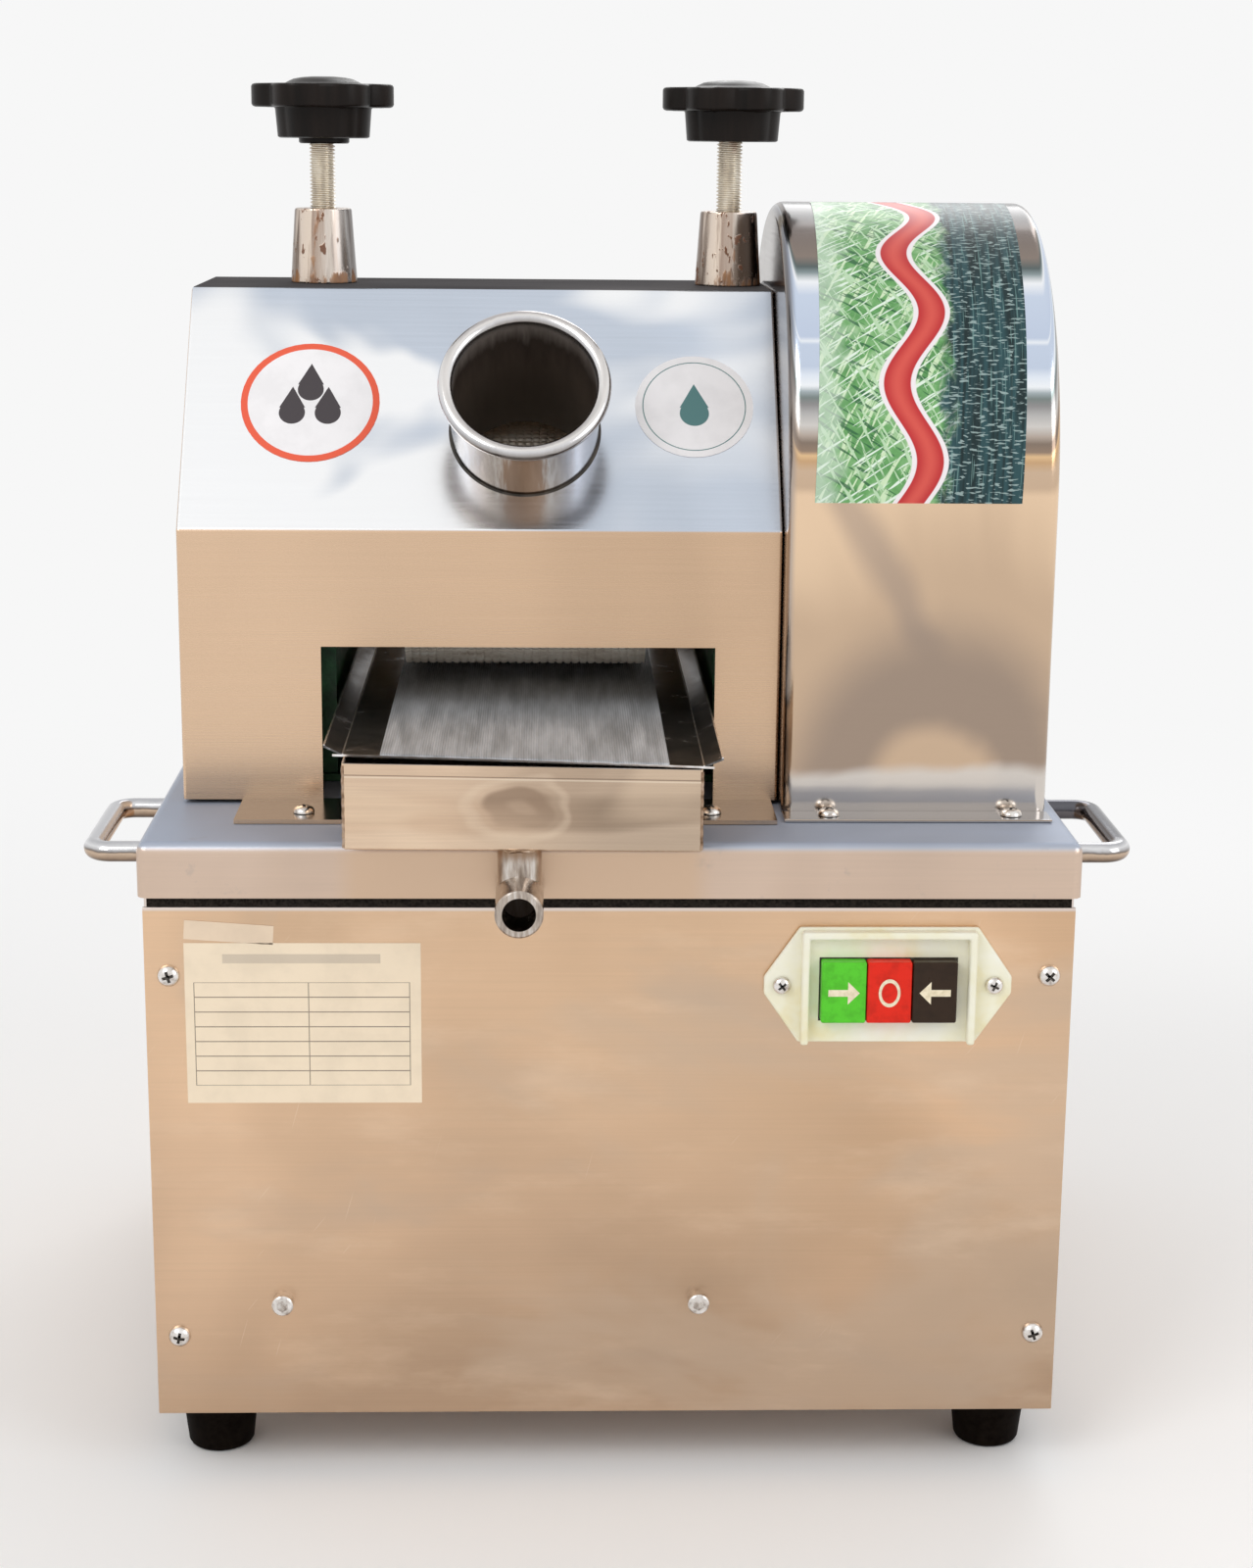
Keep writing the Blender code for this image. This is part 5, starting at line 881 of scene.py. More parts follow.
# A painted pale reflection on the right side.
pale_side = tube_paint.between(tube_paint.facing(0), 0.35, 0.75)
tone = tube_paint.mix(pale_side * 0.6, tone, (0.76, 0.75, 0.77))
# Painted light and shade on the rolled rim, by the way it faces.
lip = tube_paint.between(depth, 0.0345, 0.0362)
roll = tube_paint.ramp(tube_paint.facing(2) * 0.5 + 0.5 + (streaks - 0.5) * 0.12, (0.22, (0.26, 0.23, 0.21)),
                       (0.42, (0.46, 0.45, 0.45)), (0.62, (0.74, 0.74, 0.76)), (0.78, (0.86, 0.84, 0.82)),
                       (0.90, (0.52, 0.50, 0.50)))
tone = tube_paint.mix(lip * 0.9, tone, roll)
# Inside the tube: painted shade, set by depth.
inner_side = tube_paint.between(away, 0.0343, 0.0338) * tube_paint.between(depth, 0.0415, 0.036)
depth_shade = tube_paint.ramp(depth * 12 + 0.55 + (streaks - 0.5) * 0.3, (0.0, (0.16, 0.13, 0.105)), (0.60, (0.12, 0.09, 0.07)),
                       (0.85, (0.055, 0.040, 0.032)), (1.0, (0.20, 0.17, 0.15)))
tube_paint.feed("Metallic", 1 - inner_side * 0.7)
tube_paint.feed("Base Color", tube_paint.mix(inner_side, tone, depth_shade))
tube_paint.feed("Roughness", streaks * 0.12 + 0.12 + inner_side * 0.25)

bead_centre = (TUBE_INNER + BEAD, TUBE_RIM - BEAD)
profile = curve(bead_centre, BEAD, 180, -105, 18)
profile += [(TUBE_OUTER, bead_centre[1] - BEAD - 0.0003), (TUBE_OUTER, -0.0018), (0.0440, -0.0018),
            (0.0440, -0.0033), (TUBE_OUTER, -0.0033), (TUBE_OUTER, TUBE_DEEP), (TUBE_INNER, TUBE_DEEP)]
tube = turned(profile, steps=96, ring=True)
slope_turn = Matrix((Vector((1, 0, 0)), SLOPE_UP, SLOPE_OUT)).transposed().to_4x4()
moved(tube, Matrix.Translation(TUBE_FOOT) @ slope_turn)
piece("feed_tube_turned", tube, tube_paint, ["feed_tube"])

# A dark ring in the joint round the tube's foot: painted shade in the gap. The same dark finish paints shade on the
# screws' recess floors.
joint_shade_paint = Paint("joint_shade", (0.05, 0.045, 0.04), 0.6)
joint_shade_mottle = joint_shade_paint.noise(joint_shade_paint.place(), 160.0, 3.0)
joint_shade_paint.feed("Base Color", joint_shade_paint.ramp(joint_shade_mottle, (0.3, (0.02, 0.018, 0.016)), (0.7, (0.10, 0.085, 0.07))))
gap_shade_ring = turned([(0.03505, 0.0001), (0.0362, 0.0001), (0.0362, -0.0013), (0.03505, -0.0013)], steps=96, ring=True)
moved(gap_shade_ring, Matrix.Translation(TUBE_FOOT) @ slope_turn)
piece("feed_tube_gap_shade", gap_shade_ring, joint_shade_paint, body="cabinet")
print("feed tube", round(2000 * TUBE_OUTER), "mm across")

# %% [markdown]
# ## The rollers
# Each roller is cut with fine flutes along its length, crossed by shallow rings, so that it
# bites the cane. A ring of points is pushed in and out to make the flutes, then pulled
# along the shaft in steps that narrow at each ring.

# %% Roller finish and shape
FLUTES = 72
POINTS_PER_FLUTE = 4
FLUTE_DEPTH = 0.0008
RING_DEPTH = 0.0006
RING_PITCH = 0.0040
roller_paint = Paint("roller_steel", (0.5, 0.42, 0.33), 0.34, metallic=0.25)
wear = roller_paint.noise(roller_paint.place((60, 240, 240)), 1.0, 4.0, 0.65)
roller_paint.feed("Base Color", roller_paint.ramp(wear, (0.28, (0.60, 0.50, 0.40)), (0.50, (0.88, 0.79, 0.67)),
                                                  (0.74, (0.97, 0.92, 0.82))))
roller_paint.feed("Roughness", wear * 0.3 + 0.22)


def fluted_roller(node):
    """A roller with flutes, rings and plain shaft ends, along the X axis."""
    low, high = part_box(node)
    core_left = -0.0998
    core_right = 0.0194
    journal = 0.015
    y = (low.y + high.y) / 2
    z = (low.z + high.z) / 2
    radius = (high.z - low.z) / 2
    form = bmesh.new()
    turn = Matrix.Translation((core_left, y, z)) @ Matrix.Rotation(math.pi / 2, 4, "Y")
    ring = bmesh.ops.create_circle(form, cap_ends=True, radius=radius, segments=FLUTES * POINTS_PER_FLUTE,
                                   matrix=turn)["verts"]
    for index, vert in enumerate(ring):
        if index % POINTS_PER_FLUTE >= POINTS_PER_FLUTE / 2:
            away = Vector((0, vert.co.y - y, vert.co.z - z))
            vert.co -= away.normalized() * FLUTE_DEPTH
    edges = list({edge for vert in ring for edge in vert.link_edges})
    count = round((core_right - core_left) / RING_PITCH)
    shares = (0.0, 0.55, 0.70, 0.85, 1.0)
    for turn_index in range(count):
        for before, after in zip(shares, shares[1:]):
            shift = (after - before) * (core_right - core_left) / count
            made = pulled(form, edges, (shift, 0, 0))
            edges = [item for item in made if isinstance(item, bmesh.types.BMEdge) and len(item.link_faces) == 1]
            inward = {0.70: -RING_DEPTH, 1.0: RING_DEPTH}.get(after, 0.0)
            for vert in {vert for edge in edges for vert in edge.verts}:
                away = Vector((0, vert.co.y - y, vert.co.z - z))
                vert.co += away.normalized() * inward
    bmesh.ops.edgeloop_fill(form, edges=edges)
    bmesh.ops.recalc_face_normals(form, faces=form.faces)
    ends = []
    for start, end in ((low.x, core_left), (core_right, high.x)):
        shaft = turned([(0, 0), (journal - 0.0005, 0), (journal, 0.0005), (journal, end - start), (0, end - start)], 40)
        ends.append(moved(shaft, Matrix.Translation((start, y, z)) @ Matrix.Rotation(math.pi / 2, 4, "Y")))
    return piece(node + "_fluted", joined(form, *ends), roller_paint, [node], smooth=50)


for node in ("top_roller", "front_roller", "rear_roller"):
    made = fluted_roller(node)
    print(made.name, len(made.data.polygons), "faces")

# %% [markdown]
# ## Painted castings and machined parts
# Two green cast cheeks stand at the mill's sides and just show at the opening. The gears,
# blocks and sprockets behind are bare machined steel with a film of oil.

# %% Castings, gears and drive
iron = Paint("green_iron", (0.03, 0.12, 0.05), 0.42, shine=0.5)
lumps = iron.noise(iron.place(), 140.0, 4.0, 0.6)
iron.feed("Base Color", iron.ramp(lumps, (0.3, (0.012, 0.055, 0.02)), (0.6, (0.025, 0.12, 0.045)),
                                  (0.8, (0.06, 0.20, 0.08))))
iron.feed("Roughness", lumps * 0.4 + 0.2)
iron.bump(lumps, 0.0006, 0.5)
dress(iron, "cheek_left", "cheek_right", "mill_base")

machined = Paint("machined_steel", (0.42, 0.41, 0.40), 0.36, metallic=1.0)
oil = machined.noise(machined.place(), 70.0, 4.0, 0.6)
machined.feed("Base Color", machined.ramp(oil, (0.3, (0.16, 0.14, 0.12)), (0.55, (0.42, 0.40, 0.38)),
                                          (0.8, (0.58, 0.57, 0.55))))
machined.feed("Roughness", oil * 0.4 + 0.15)
machined.bump(oil, 0.0002, 0.3)
dress(machined, "bearing_block_left", "bearing_block_right", "turn_plate", "top_gear", "front_gear", "rear_gear",
      "bull_sprocket", "drive_sprocket", "drive_chain", "motor_rotor")

grey_paint = Paint("motor_paint", (0.16, 0.20, 0.24), 0.42, shine=0.5)
dust = grey_paint.noise(grey_paint.place(), 55.0, 4.0, 0.6)
grey_paint.feed("Base Color", grey_paint.ramp(dust, (0.3, (0.11, 0.14, 0.17)), (0.7, (0.20, 0.24, 0.28))))
grey_paint.bump(dust, 0.0004, 0.3)
dress(grey_paint, "gearbox", "motor")

can = Paint("capacitor_can", (0.70, 0.70, 0.68), 0.45)
haze = can.noise(can.place(), 80.0, 3.0)
can.feed("Base Color", can.ramp(haze, (0.3, (0.60, 0.60, 0.57)), (0.7, (0.74, 0.74, 0.72))))
dress(can, "capacitor")
print("castings and drive dressed")

# %% [markdown]
# ## The juice tray
# The tray is folded from thin polished sheet. Its front shows a hem along the top, pinched
# corners and the ripples that thin sheet keeps from welding. It hangs a little askew in
# its opening, so the front is twisted while the back sits square.

# %% Tray finish
tray_paint = Paint("tray_steel", (0.7, 0.6, 0.5), 0.15, metallic=1.0)
DENT_X = -0.0410
DENT_Z = 0.3350
ripple = tray_paint.noise(tray_paint.place((1, 1, 1.7), (0.11, 0, 0.03)), 7.5, 1.5, 0.4, 0.8)
across = tray_paint.along(0)
rise = tray_paint.along(2)
# Painted reflections: warm on the left, dark on the right, a bright band low down and a lighter band near the top.
side = tray_paint.between(across + (ripple - 0.5) * 0.06, -0.085, 0.012)
tone = tray_paint.mix(side, (0.72, 0.52, 0.365), (0.345, 0.255, 0.185))
band = tray_paint.between(rise + (ripple - 0.5) * 0.035, 0.3290, 0.3230)
tone = tray_paint.mix(band * 0.35, tone, (0.93, 0.74, 0.56))
crest = tray_paint.between(rise + (ripple - 0.5) * 0.03, 0.3385, 0.3455)
tone = tray_paint.mix(crest * 0.40, tone, (0.80, 0.62, 0.46))
# The ripples shown as painted bright and dark reflections.
waves = tray_paint.noise(tray_paint.place((1, 1, 1.9), (0.3, 0, 0.1)), 13.0, 0.0, 0.5, 0.7)
tone = tray_paint.mix(tray_paint.between(waves, 0.50, 0.66) * 0.35, tone, (0.90, 0.70, 0.51))
tone = tray_paint.mix(tray_paint.between(waves, 0.44, 0.30) * 0.35, tone, (0.42, 0.31, 0.225))
# A dent, painted as shade inside and darker in its upper half, with a painted bright halo round it.
warp = tray_paint.noise(tray_paint.place((1, 1, 1.6)), 42.0, 1.0, 0.4) - 0.5
dent_x = (across - DENT_X) / 0.0185 + warp * 1.1
dent_z = (rise - DENT_Z) / 0.0112 + warp * 0.9
dent = tray_paint.node("Math", {"operation": "SQRT"}, {0: dent_x * dent_x + dent_z * dent_z})
inside = tray_paint.between(dent, 1.05, 0.82)
top_half = tray_paint.between(dent_z, -0.7, 0.5)
tone = tray_paint.mix(inside * (0.35 + top_half * 0.5), tone, (0.34, 0.235, 0.165))
tone = tray_paint.mix(tray_paint.between(dent, 0.55, 0.20) * 0.40, tone, (0.58, 0.43, 0.31))
halo = tray_paint.between(abs(dent - 1.28), 0.22, 0.02)
tone = tray_paint.mix(halo * 0.28, tone, (0.86, 0.69, 0.52))
# A painted shadow line under the hem, with a painted highlight just below it.
fold = rise - 0.350 + 0.0147 * (across + 0.1196)
ahead = tray_paint.between(tray_paint.along(1), -0.2280, -0.2290)
tone = tray_paint.mix(tray_paint.between(abs(fold), 0.00050, 0.00015) * ahead * 0.75, tone, (0.27, 0.19, 0.14))
tone = tray_paint.mix(tray_paint.between(abs(fold + 0.0009), 0.0006, 0.0001) * ahead * 0.5, tone, (0.93, 0.79, 0.63))
brushed = tray_paint.noise(tray_paint.place((14, 300, 700)), 1.0, 3.0, 0.6)
tone = tray_paint.mix(1.0, tone, tray_paint.ramp(brushed, (0.2, (0.90, 0.90, 0.90)), (0.7, BRIGHT)), "MULTIPLY")
top = tray_paint.between(tray_paint.facing(2), 0.5, 0.9)
tone = tray_paint.mix(top, tone, (0.50, 0.50, 0.52))
tray_paint.feed("Base Color", tone)
tray_paint.feed("Roughness", brushed * 0.14 + 0.10)
tray_paint.bump(ripple, 0.004, 0.15)

# %% Tray shape
TRAY_SHEET = 0.0012
HEM = 0.0050
HEM_PROUD = 0.0006
TWIST_FROM = -0.10
TWIST_PER_METRE = 0.016
tray_x = -0.0402
tray_half = 0.0794
tray_front = -0.2295
tray_back = 0.0815
tray_bottom = 0.3160
tray_top = 0.3550


def twisted(form, share_below=0.4):
    """Tips the front of the tray down towards its right end."""
    for vert in form.verts:
        forward = min(1.0, max(0.0, (TWIST_FROM - vert.co.y) / (TWIST_FROM - tray_front)))
        height = min(1.0, max(0.0, (vert.co.z - tray_bottom) / (tray_top - tray_bottom)))
        lean = share_below + (1 - share_below) * height
        vert.co.z -= TWIST_PER_METRE * forward * lean * (vert.co.x - tray_x + tray_half)
    return form


def open_box(low, high, sheet):
    """A folded tray: a box without its lid, its wall inside the given corners."""
    form = block(low, high)
    lid = max(form.faces, key=lambda face: face.calc_center_median().z)
    bmesh.ops.delete(form, geom=[lid], context="FACES_ONLY")
    folds = [edge for edge in form.edges if len(edge.link_faces) == 2]
    bmesh.ops.bevel(form, geom=folds, offset=0.0012, segments=3, profile=0.5, affect="EDGES", material=-1)
    bmesh.ops.subdivide_edges(form, edges=[edge for edge in form.edges if edge.calc_length() > 0.05], cuts=12,
                              use_grid_fill=True)
    bmesh.ops.recalc_face_normals(form, faces=form.faces)
    floor = min(form.faces, key=lambda face: face.calc_center_median().z)
    if floor.normal.z > 0:
        bmesh.ops.reverse_faces(form, faces=form.faces)
    return form


tray = twisted(open_box((tray_x - tray_half, tray_front, tray_bottom), (tray_x + tray_half, tray_back, tray_top),
                        TRAY_SHEET))
tray_piece = piece("juice_tray_folded", tray, tray_paint, ["juice_tray"])
wall = tray_piece.modifiers.new("sheet", "SOLIDIFY")
wall.thickness = TRAY_SHEET
wall.offset = -1
tray_piece.modifiers.move(1, 0)

hem = block((tray_x - tray_half + 0.001, tray_front - HEM_PROUD, tray_top - HEM),
            (tray_x + tray_half - 0.001, tray_front + 0.0002, tray_top + 0.0002))
bmesh.ops.subdivide_edges(hem, edges=[edge for edge in hem.edges if edge.calc_length() > 0.05], cuts=16)
rounded(hem, 0.0003, 2)
piece("juice_tray_hem", twisted(hem), tray_paint, body="juice_drawer")


def corner_weld(x):
    """An uneven bead up a front corner of the tray."""
    form = bmesh.new()
    count = 26
    ring = bmesh.ops.create_circle(form, cap_ends=True, radius=0.0007, segments=8)["verts"]
    bmesh.ops.translate(form, vec=(x, tray_front + 0.0003, tray_bottom + 0.001), verts=ring)
    edges = list({edge for vert in ring for edge in vert.link_edges})
    rise = (tray_top - tray_bottom - 0.002) / count
    for step in range(count):
        made = pulled(form, edges, (0, 0, rise))
        edges = [item for item in made if isinstance(item, bmesh.types.BMEdge) and len(item.link_faces) == 1]
        wobble = 0.0004 * math.sin(step * 1.3) * (1 if step % 2 else -1)
        tops = {vert for edge in edges for vert in edge.verts}
        bmesh.ops.translate(form, vec=(wobble * 0.5, 0, 0), verts=list(tops))
    bmesh.ops.edgeloop_fill(form, edges=edges)
    bmesh.ops.recalc_face_normals(form, faces=form.faces)
    return form


weld_paint = Paint("weld_steel", (0.40, 0.28, 0.20), 0.34, metallic=1.0)
heat = weld_paint.noise(weld_paint.place(), 260.0, 4.0, 0.6)
weld_paint.feed("Base Color", weld_paint.ramp(heat, (0.3, (0.12, 0.07, 0.04)), (0.5, (0.36, 0.24, 0.16)),
                                              (0.75, (0.62, 0.50, 0.40))))
weld_paint.bump(heat, 0.0006, 0.6)
welds = joined(corner_weld(tray_x - tray_half + 0.0004), corner_weld(tray_x + tray_half - 0.0004))
piece("juice_tray_welds", twisted(welds), weld_paint, body="juice_drawer")
print("tray", round(2000 * tray_half, 1), "mm wide")

# %% [markdown]
# ## The spout
# Two short pipes meet in a bend under the tray: one comes down from its floor, one points
# forward with a thick mouth. The joint under the tray is a heat-browned weld.

# %% Spout
SPOUT_X = tray_x - 0.0015
SPOUT_Y = -0.2180
SPOUT_Z = 0.2925
SPOUT_PIPE = 0.0100
SPOUT_MOUTH = 0.01075
SPOUT_BORE = 0.0075
SPOUT_END = -0.2515
spout_paint = Paint("spout_steel", (0.66, 0.60, 0.55), 0.2, metallic=1.0)
lines = spout_paint.noise(spout_paint.place((400, 60, 60)), 1.0, 4.0, 0.6)
tone = spout_paint.ramp(lines, (0.28, (0.24, 0.19, 0.16)), (0.5, (0.50, 0.43, 0.37)), (0.75, (0.80, 0.76, 0.72)))
browned = spout_paint.between(spout_paint.along(2), 0.3085, 0.3135)
# The bore and its closed end are painted dark and not metallic, as shade.
bore_x = spout_paint.along(0) - SPOUT_X
bore_z = spout_paint.along(2) - SPOUT_Z
bore = spout_paint.node("Math", {"operation": "SQRT"}, {0: bore_x * bore_x + bore_z * bore_z})
bore_shade = (bore < SPOUT_BORE + 0.0001) * (spout_paint.along(1) > SPOUT_END + 0.0003)
tone = spout_paint.mix(browned * 0.8, tone, (0.26, 0.15, 0.08))
spout_paint.feed("Base Color", spout_paint.mix(bore_shade * 0.9, tone, (0.03, 0.02, 0.015)))
spout_paint.feed("Metallic", 1 - bore_shade)
spout_paint.shader.inputs["Specular IOR Level"].default_value = 0.0
spout_paint.feed("Roughness", lines * 0.2 + 0.14)
down = turned([(SPOUT_BORE, 0), (SPOUT_PIPE, 0), (SPOUT_PIPE, 0.0235), (SPOUT_BORE, 0.0235)], 48, ring=True)
moved(down, Matrix.Translation((SPOUT_X, SPOUT_Y, SPOUT_Z)))
reach = SPOUT_Y + 0.010 - SPOUT_END
mouth = turned([
    (SPOUT_BORE, reach), (SPOUT_BORE + 0.0008, reach + 0.0), (SPOUT_MOUTH - 0.0008, reach),
    (SPOUT_MOUTH, reach - 0.0008), (SPOUT_MOUTH, 0.0012), (SPOUT_MOUTH - 0.0012, 0.0),
    (0.0, 0.0), (0.0, 0.0210), (SPOUT_BORE, 0.0210),
], 56)
moved(mouth, facing_front(SPOUT_X, SPOUT_Y + 0.010, SPOUT_Z))
spout = piece("juice_spout", joined(down, mouth), spout_paint, body="juice_drawer")
bead = turned(curve((SPOUT_PIPE + 0.0002, 0), 0.0011, 0, 330, 11), 48, ring=True)
for vert in bead.verts:
    angle = math.atan2(vert.co.y, vert.co.x)
    vert.co.z += 0.00035 * math.sin(7 * angle)
moved(bead, Matrix.Translation((SPOUT_X, SPOUT_Y, tray_bottom - 0.0008)))
piece("juice_spout_weld", bead, weld_paint, body="juice_drawer")
print("spout mouth at y", SPOUT_END)

# %% [markdown]
# ## The strainer
# A sheet lies over the tray with its two edges turned up. Its middle is a fine woven mesh
# between borders painted dark as a dark reflection, and thin bright strips along the folds are painted highlights.
# It has slipped round a little, so its front edge runs askew.

# %% Strainer
strainer_low, strainer_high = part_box("strainer")
MESH_LEFT = -0.1034
MESH_RIGHT = 0.0243
SLIP_PER_METRE = 0.07
SLIP_FORWARD = 0.0065
CUTS = 40


def slipped(form):
    """Turns the front edge of the strainer a little, fading towards the back."""
    for vert in form.verts:
        forward = (strainer_high.y - vert.co.y) / (strainer_high.y - strainer_low.y)
        vert.co.y -= forward ** 3 * (SLIP_FORWARD + SLIP_PER_METRE * (vert.co.x - tray_x))
        drop = TWIST_PER_METRE * min(1, max(0, (TWIST_FROM - vert.co.y) / 0.13))
        vert.co.z -= drop * max(0, vert.co.x - tray_x + tray_half)
    return form


# The borders' dark colour is a painted dark reflection.
dark_reflection_steel = Paint("strainer_steel", (0.10, 0.10, 0.11), 0.14, metallic=1.0)
stains = dark_reflection_steel.noise(dark_reflection_steel.place(), 70.0, 5.0, 0.65)
tone = dark_reflection_steel.ramp(stains, (0.35, (0.045, 0.042, 0.04)), (0.58, (0.13, 0.125, 0.125)), (0.75, (0.50, 0.50, 0.52)))
dark_reflection_steel.feed("Base Color", tone)
dark_reflection_steel.feed("Roughness", stains * 0.3 + 0.08)
# Thin bright strips along the folds and the front edge: painted highlights.
highlight_steel = Paint("fold_highlight", (0.85, 0.82, 0.80), 0.25, metallic=1.0)
highlight_mottle = highlight_steel.noise(highlight_steel.place(), 220.0, 3.0)
highlight_steel.feed("Base Color", highlight_steel.ramp(highlight_mottle, (0.3, (0.66, 0.60, 0.56)), (0.7, (0.93, 0.92, 0.92))))

flat_z = strainer_low.z + 0.0001
top_z = strainer_high.z
outline = [(strainer_low.x, top_z - 0.0010), (tray_x - tray_half, flat_z), (tray_x + tray_half, flat_z),
           (strainer_high.x, top_z - 0.0010), (strainer_high.x, top_z), (tray_x + tray_half, flat_z + 0.0008),
           (tray_x - tray_half, flat_z + 0.0008), (strainer_low.x, top_z)]
length = strainer_high.y - strainer_low.y
form = slab([(x, z) for x, z in outline], length)
moved(form, Matrix.Translation((0, strainer_high.y, 0)) @ Matrix.Rotation(math.pi / 2, 4, "X"))
bmesh.ops.subdivide_edges(form, edges=[edge for edge in form.edges if edge.calc_length() > 0.2], cuts=CUTS)
piece("strainer_sheet", slipped(form), dark_reflection_steel, ["strainer"], smooth=20)


def thin_bar(x, z, width, height):
    """A thin bright strip from the strainer's front edge to its back, a painted highlight."""
    form = block((x - width / 2, strainer_low.y, z), (x + width / 2, strainer_high.y, z + height))
    bmesh.ops.subdivide_edges(form, edges=[edge for edge in form.edges if edge.calc_length() > 0.2], cuts=CUTS)
    return form


bars = [
    thin_bar(strainer_low.x + 0.0004, top_z - 0.0002, 0.0008, 0.0005),
    thin_bar(strainer_high.x - 0.0004, top_z - 0.0002, 0.0008, 0.0005),
    thin_bar(tray_x - tray_half - 0.0004, flat_z + 0.0007, 0.0006, 0.0005),
    thin_bar(tray_x + tray_half + 0.0004, flat_z + 0.0007, 0.0006, 0.0005),
]
lip = block((strainer_low.x + 0.004, strainer_low.y - 0.0003, flat_z - 0.0001),
            (strainer_high.x - 0.004, strainer_low.y + 0.0003, flat_z + 0.0009))
bmesh.ops.subdivide_edges(lip, edges=[edge for edge in lip.edges if edge.calc_length() > 0.1], cuts=24)
piece("strainer_fold_highlights", slipped(joined(*bars, lip)), highlight_steel,
      body="strainer_sheet", smooth=30)

mesh_paint = Paint("strainer_weave", (0.5, 0.5, 0.5), 0.42, metallic=0.35)
wave_x = mesh_paint.node("Math", {"operation": "SINE"}, {0: mesh_paint.along(0) * (2 * math.pi / 0.0011)})
wave_y = mesh_paint.node("Math", {"operation": "SINE"}, {0: mesh_paint.along(1) * (2 * math.pi / 0.0011)})
weave = wave_x * 0.5 + wave_y * 0.5
haze = mesh_paint.noise(mesh_paint.place((160, 14, 14)), 1.0, 3.0, 0.6)
level = weave * 0.14 + haze
tone = mesh_paint.ramp(level, (0.30, (0.30, 0.31, 0.32)), (0.55, (0.50, 0.51, 0.53)), (0.80, (0.68, 0.69, 0.71)))
mesh_paint.feed("Base Color", tone)
mesh_paint.feed("Roughness", haze * 0.3 + 0.28)
mesh_paint.bump(weave, 0.0002, 0.5)
cloth = block((MESH_LEFT, strainer_low.y + 0.0002, flat_z + 0.0007),
              (MESH_RIGHT, strainer_high.y, flat_z + 0.0017))
bmesh.ops.subdivide_edges(cloth, edges=[edge for edge in cloth.edges if edge.calc_length() > 0.2], cuts=CUTS)
piece("strainer_mesh", slipped(cloth), mesh_paint, body="strainer_sheet", smooth=30)
print("strainer mesh", round(1000 * (MESH_RIGHT - MESH_LEFT), 1), "mm wide")

# %% [markdown]
# ## Pressure screws and their bosses
# A thread is a short zigzag spun up the axis: each full turn rises by the pitch, so the
# zigzags meet and close into one helix. Each screw goes down through a conical boss that
# sits on the hood, and rust has bled down the bosses.

# %% Threads
PITCH_OF_THREAD = 0.00175
THREAD_RADIUS = 0.0064
THREAD_ROOT = 0.0053
THREAD_STEPS = 24
zinc = Paint("zinc_thread", (0.55, 0.53, 0.50), 0.36, metallic=1.0)
patina = zinc.noise(zinc.place((180, 180, 60)), 1.0, 4.0, 0.6)
tone = zinc.ramp(patina, (0.28, (0.56, 0.50, 0.42)), (0.52, (0.74, 0.68, 0.58)), (0.78, (0.86, 0.83, 0.78)))
rust = zinc.between(zinc.along(2), 0.610, 0.621) * zinc.between(patina, 0.45, 0.6)
zinc.feed("Base Color", zinc.mix(rust * 0.6, tone, (0.30, 0.14, 0.05)))
zinc.feed("Roughness", patina * 0.35 + 0.2)


def threaded_rod(node, name):
    """The whole screw as one helix, cut flat at both ends."""
    low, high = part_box(node)
    x = (low.x + high.x) / 2
    y = (low.y + high.y) / 2
    form = bmesh.new()
    start = low.z - PITCH_OF_THREAD
    zigzag = [(THREAD_ROOT, 0.0), (THREAD_ROOT, 0.2), (THREAD_RADIUS, 0.5), (THREAD_RADIUS, 0.7), (THREAD_ROOT, 1.0)]
    verts, edges = chain_of(form, [(radius, 0, start + share * PITCH_OF_THREAD) for radius, share in zigzag])
    turns = math.ceil((high.z - low.z) / PITCH_OF_THREAD) + 2
    rise = PITCH_OF_THREAD / THREAD_STEPS
    bmesh.ops.spin(form, geom=verts + edges, axis=(0, 0, 1), cent=(0, 0, 0), dvec=(0, 0, rise),
                   angle=2 * math.pi * turns, steps=THREAD_STEPS * turns, use_merge=False)
    bmesh.ops.remove_doubles(form, verts=form.verts, dist=0.00002)
    for level, keep in ((low.z, 1), (high.z, -1)):
        geometry = list(form.verts) + list(form.edges) + list(form.faces)
        bmesh.ops.bisect_plane(form, geom=geometry, plane_co=(0, 0, level), plane_no=(0, 0, -keep),
                               clear_outer=True)
        rim = [edge for edge in form.edges if edge.is_boundary]
        bmesh.ops.holes_fill(form, edges=rim, sides=0)
    bmesh.ops.recalc_face_normals(form, faces=form.faces)
    bmesh.ops.translate(form, vec=(x, y, 0), verts=form.verts)
    return piece(name, form, zinc, [node], smooth=25)


for side in ("left", "right"):
    made = threaded_rod("pressure_screw_" + side, "pressure_thread_" + side)
    print(made.name, len(made.data.polygons), "faces")

# %% Bosses
boss_paint = Paint("boss_steel", (0.66, 0.60, 0.55), 0.26, metallic=1.0)
streak = boss_paint.noise(boss_paint.place((330, 330, 8)), 1.0, 3.0, 0.6)
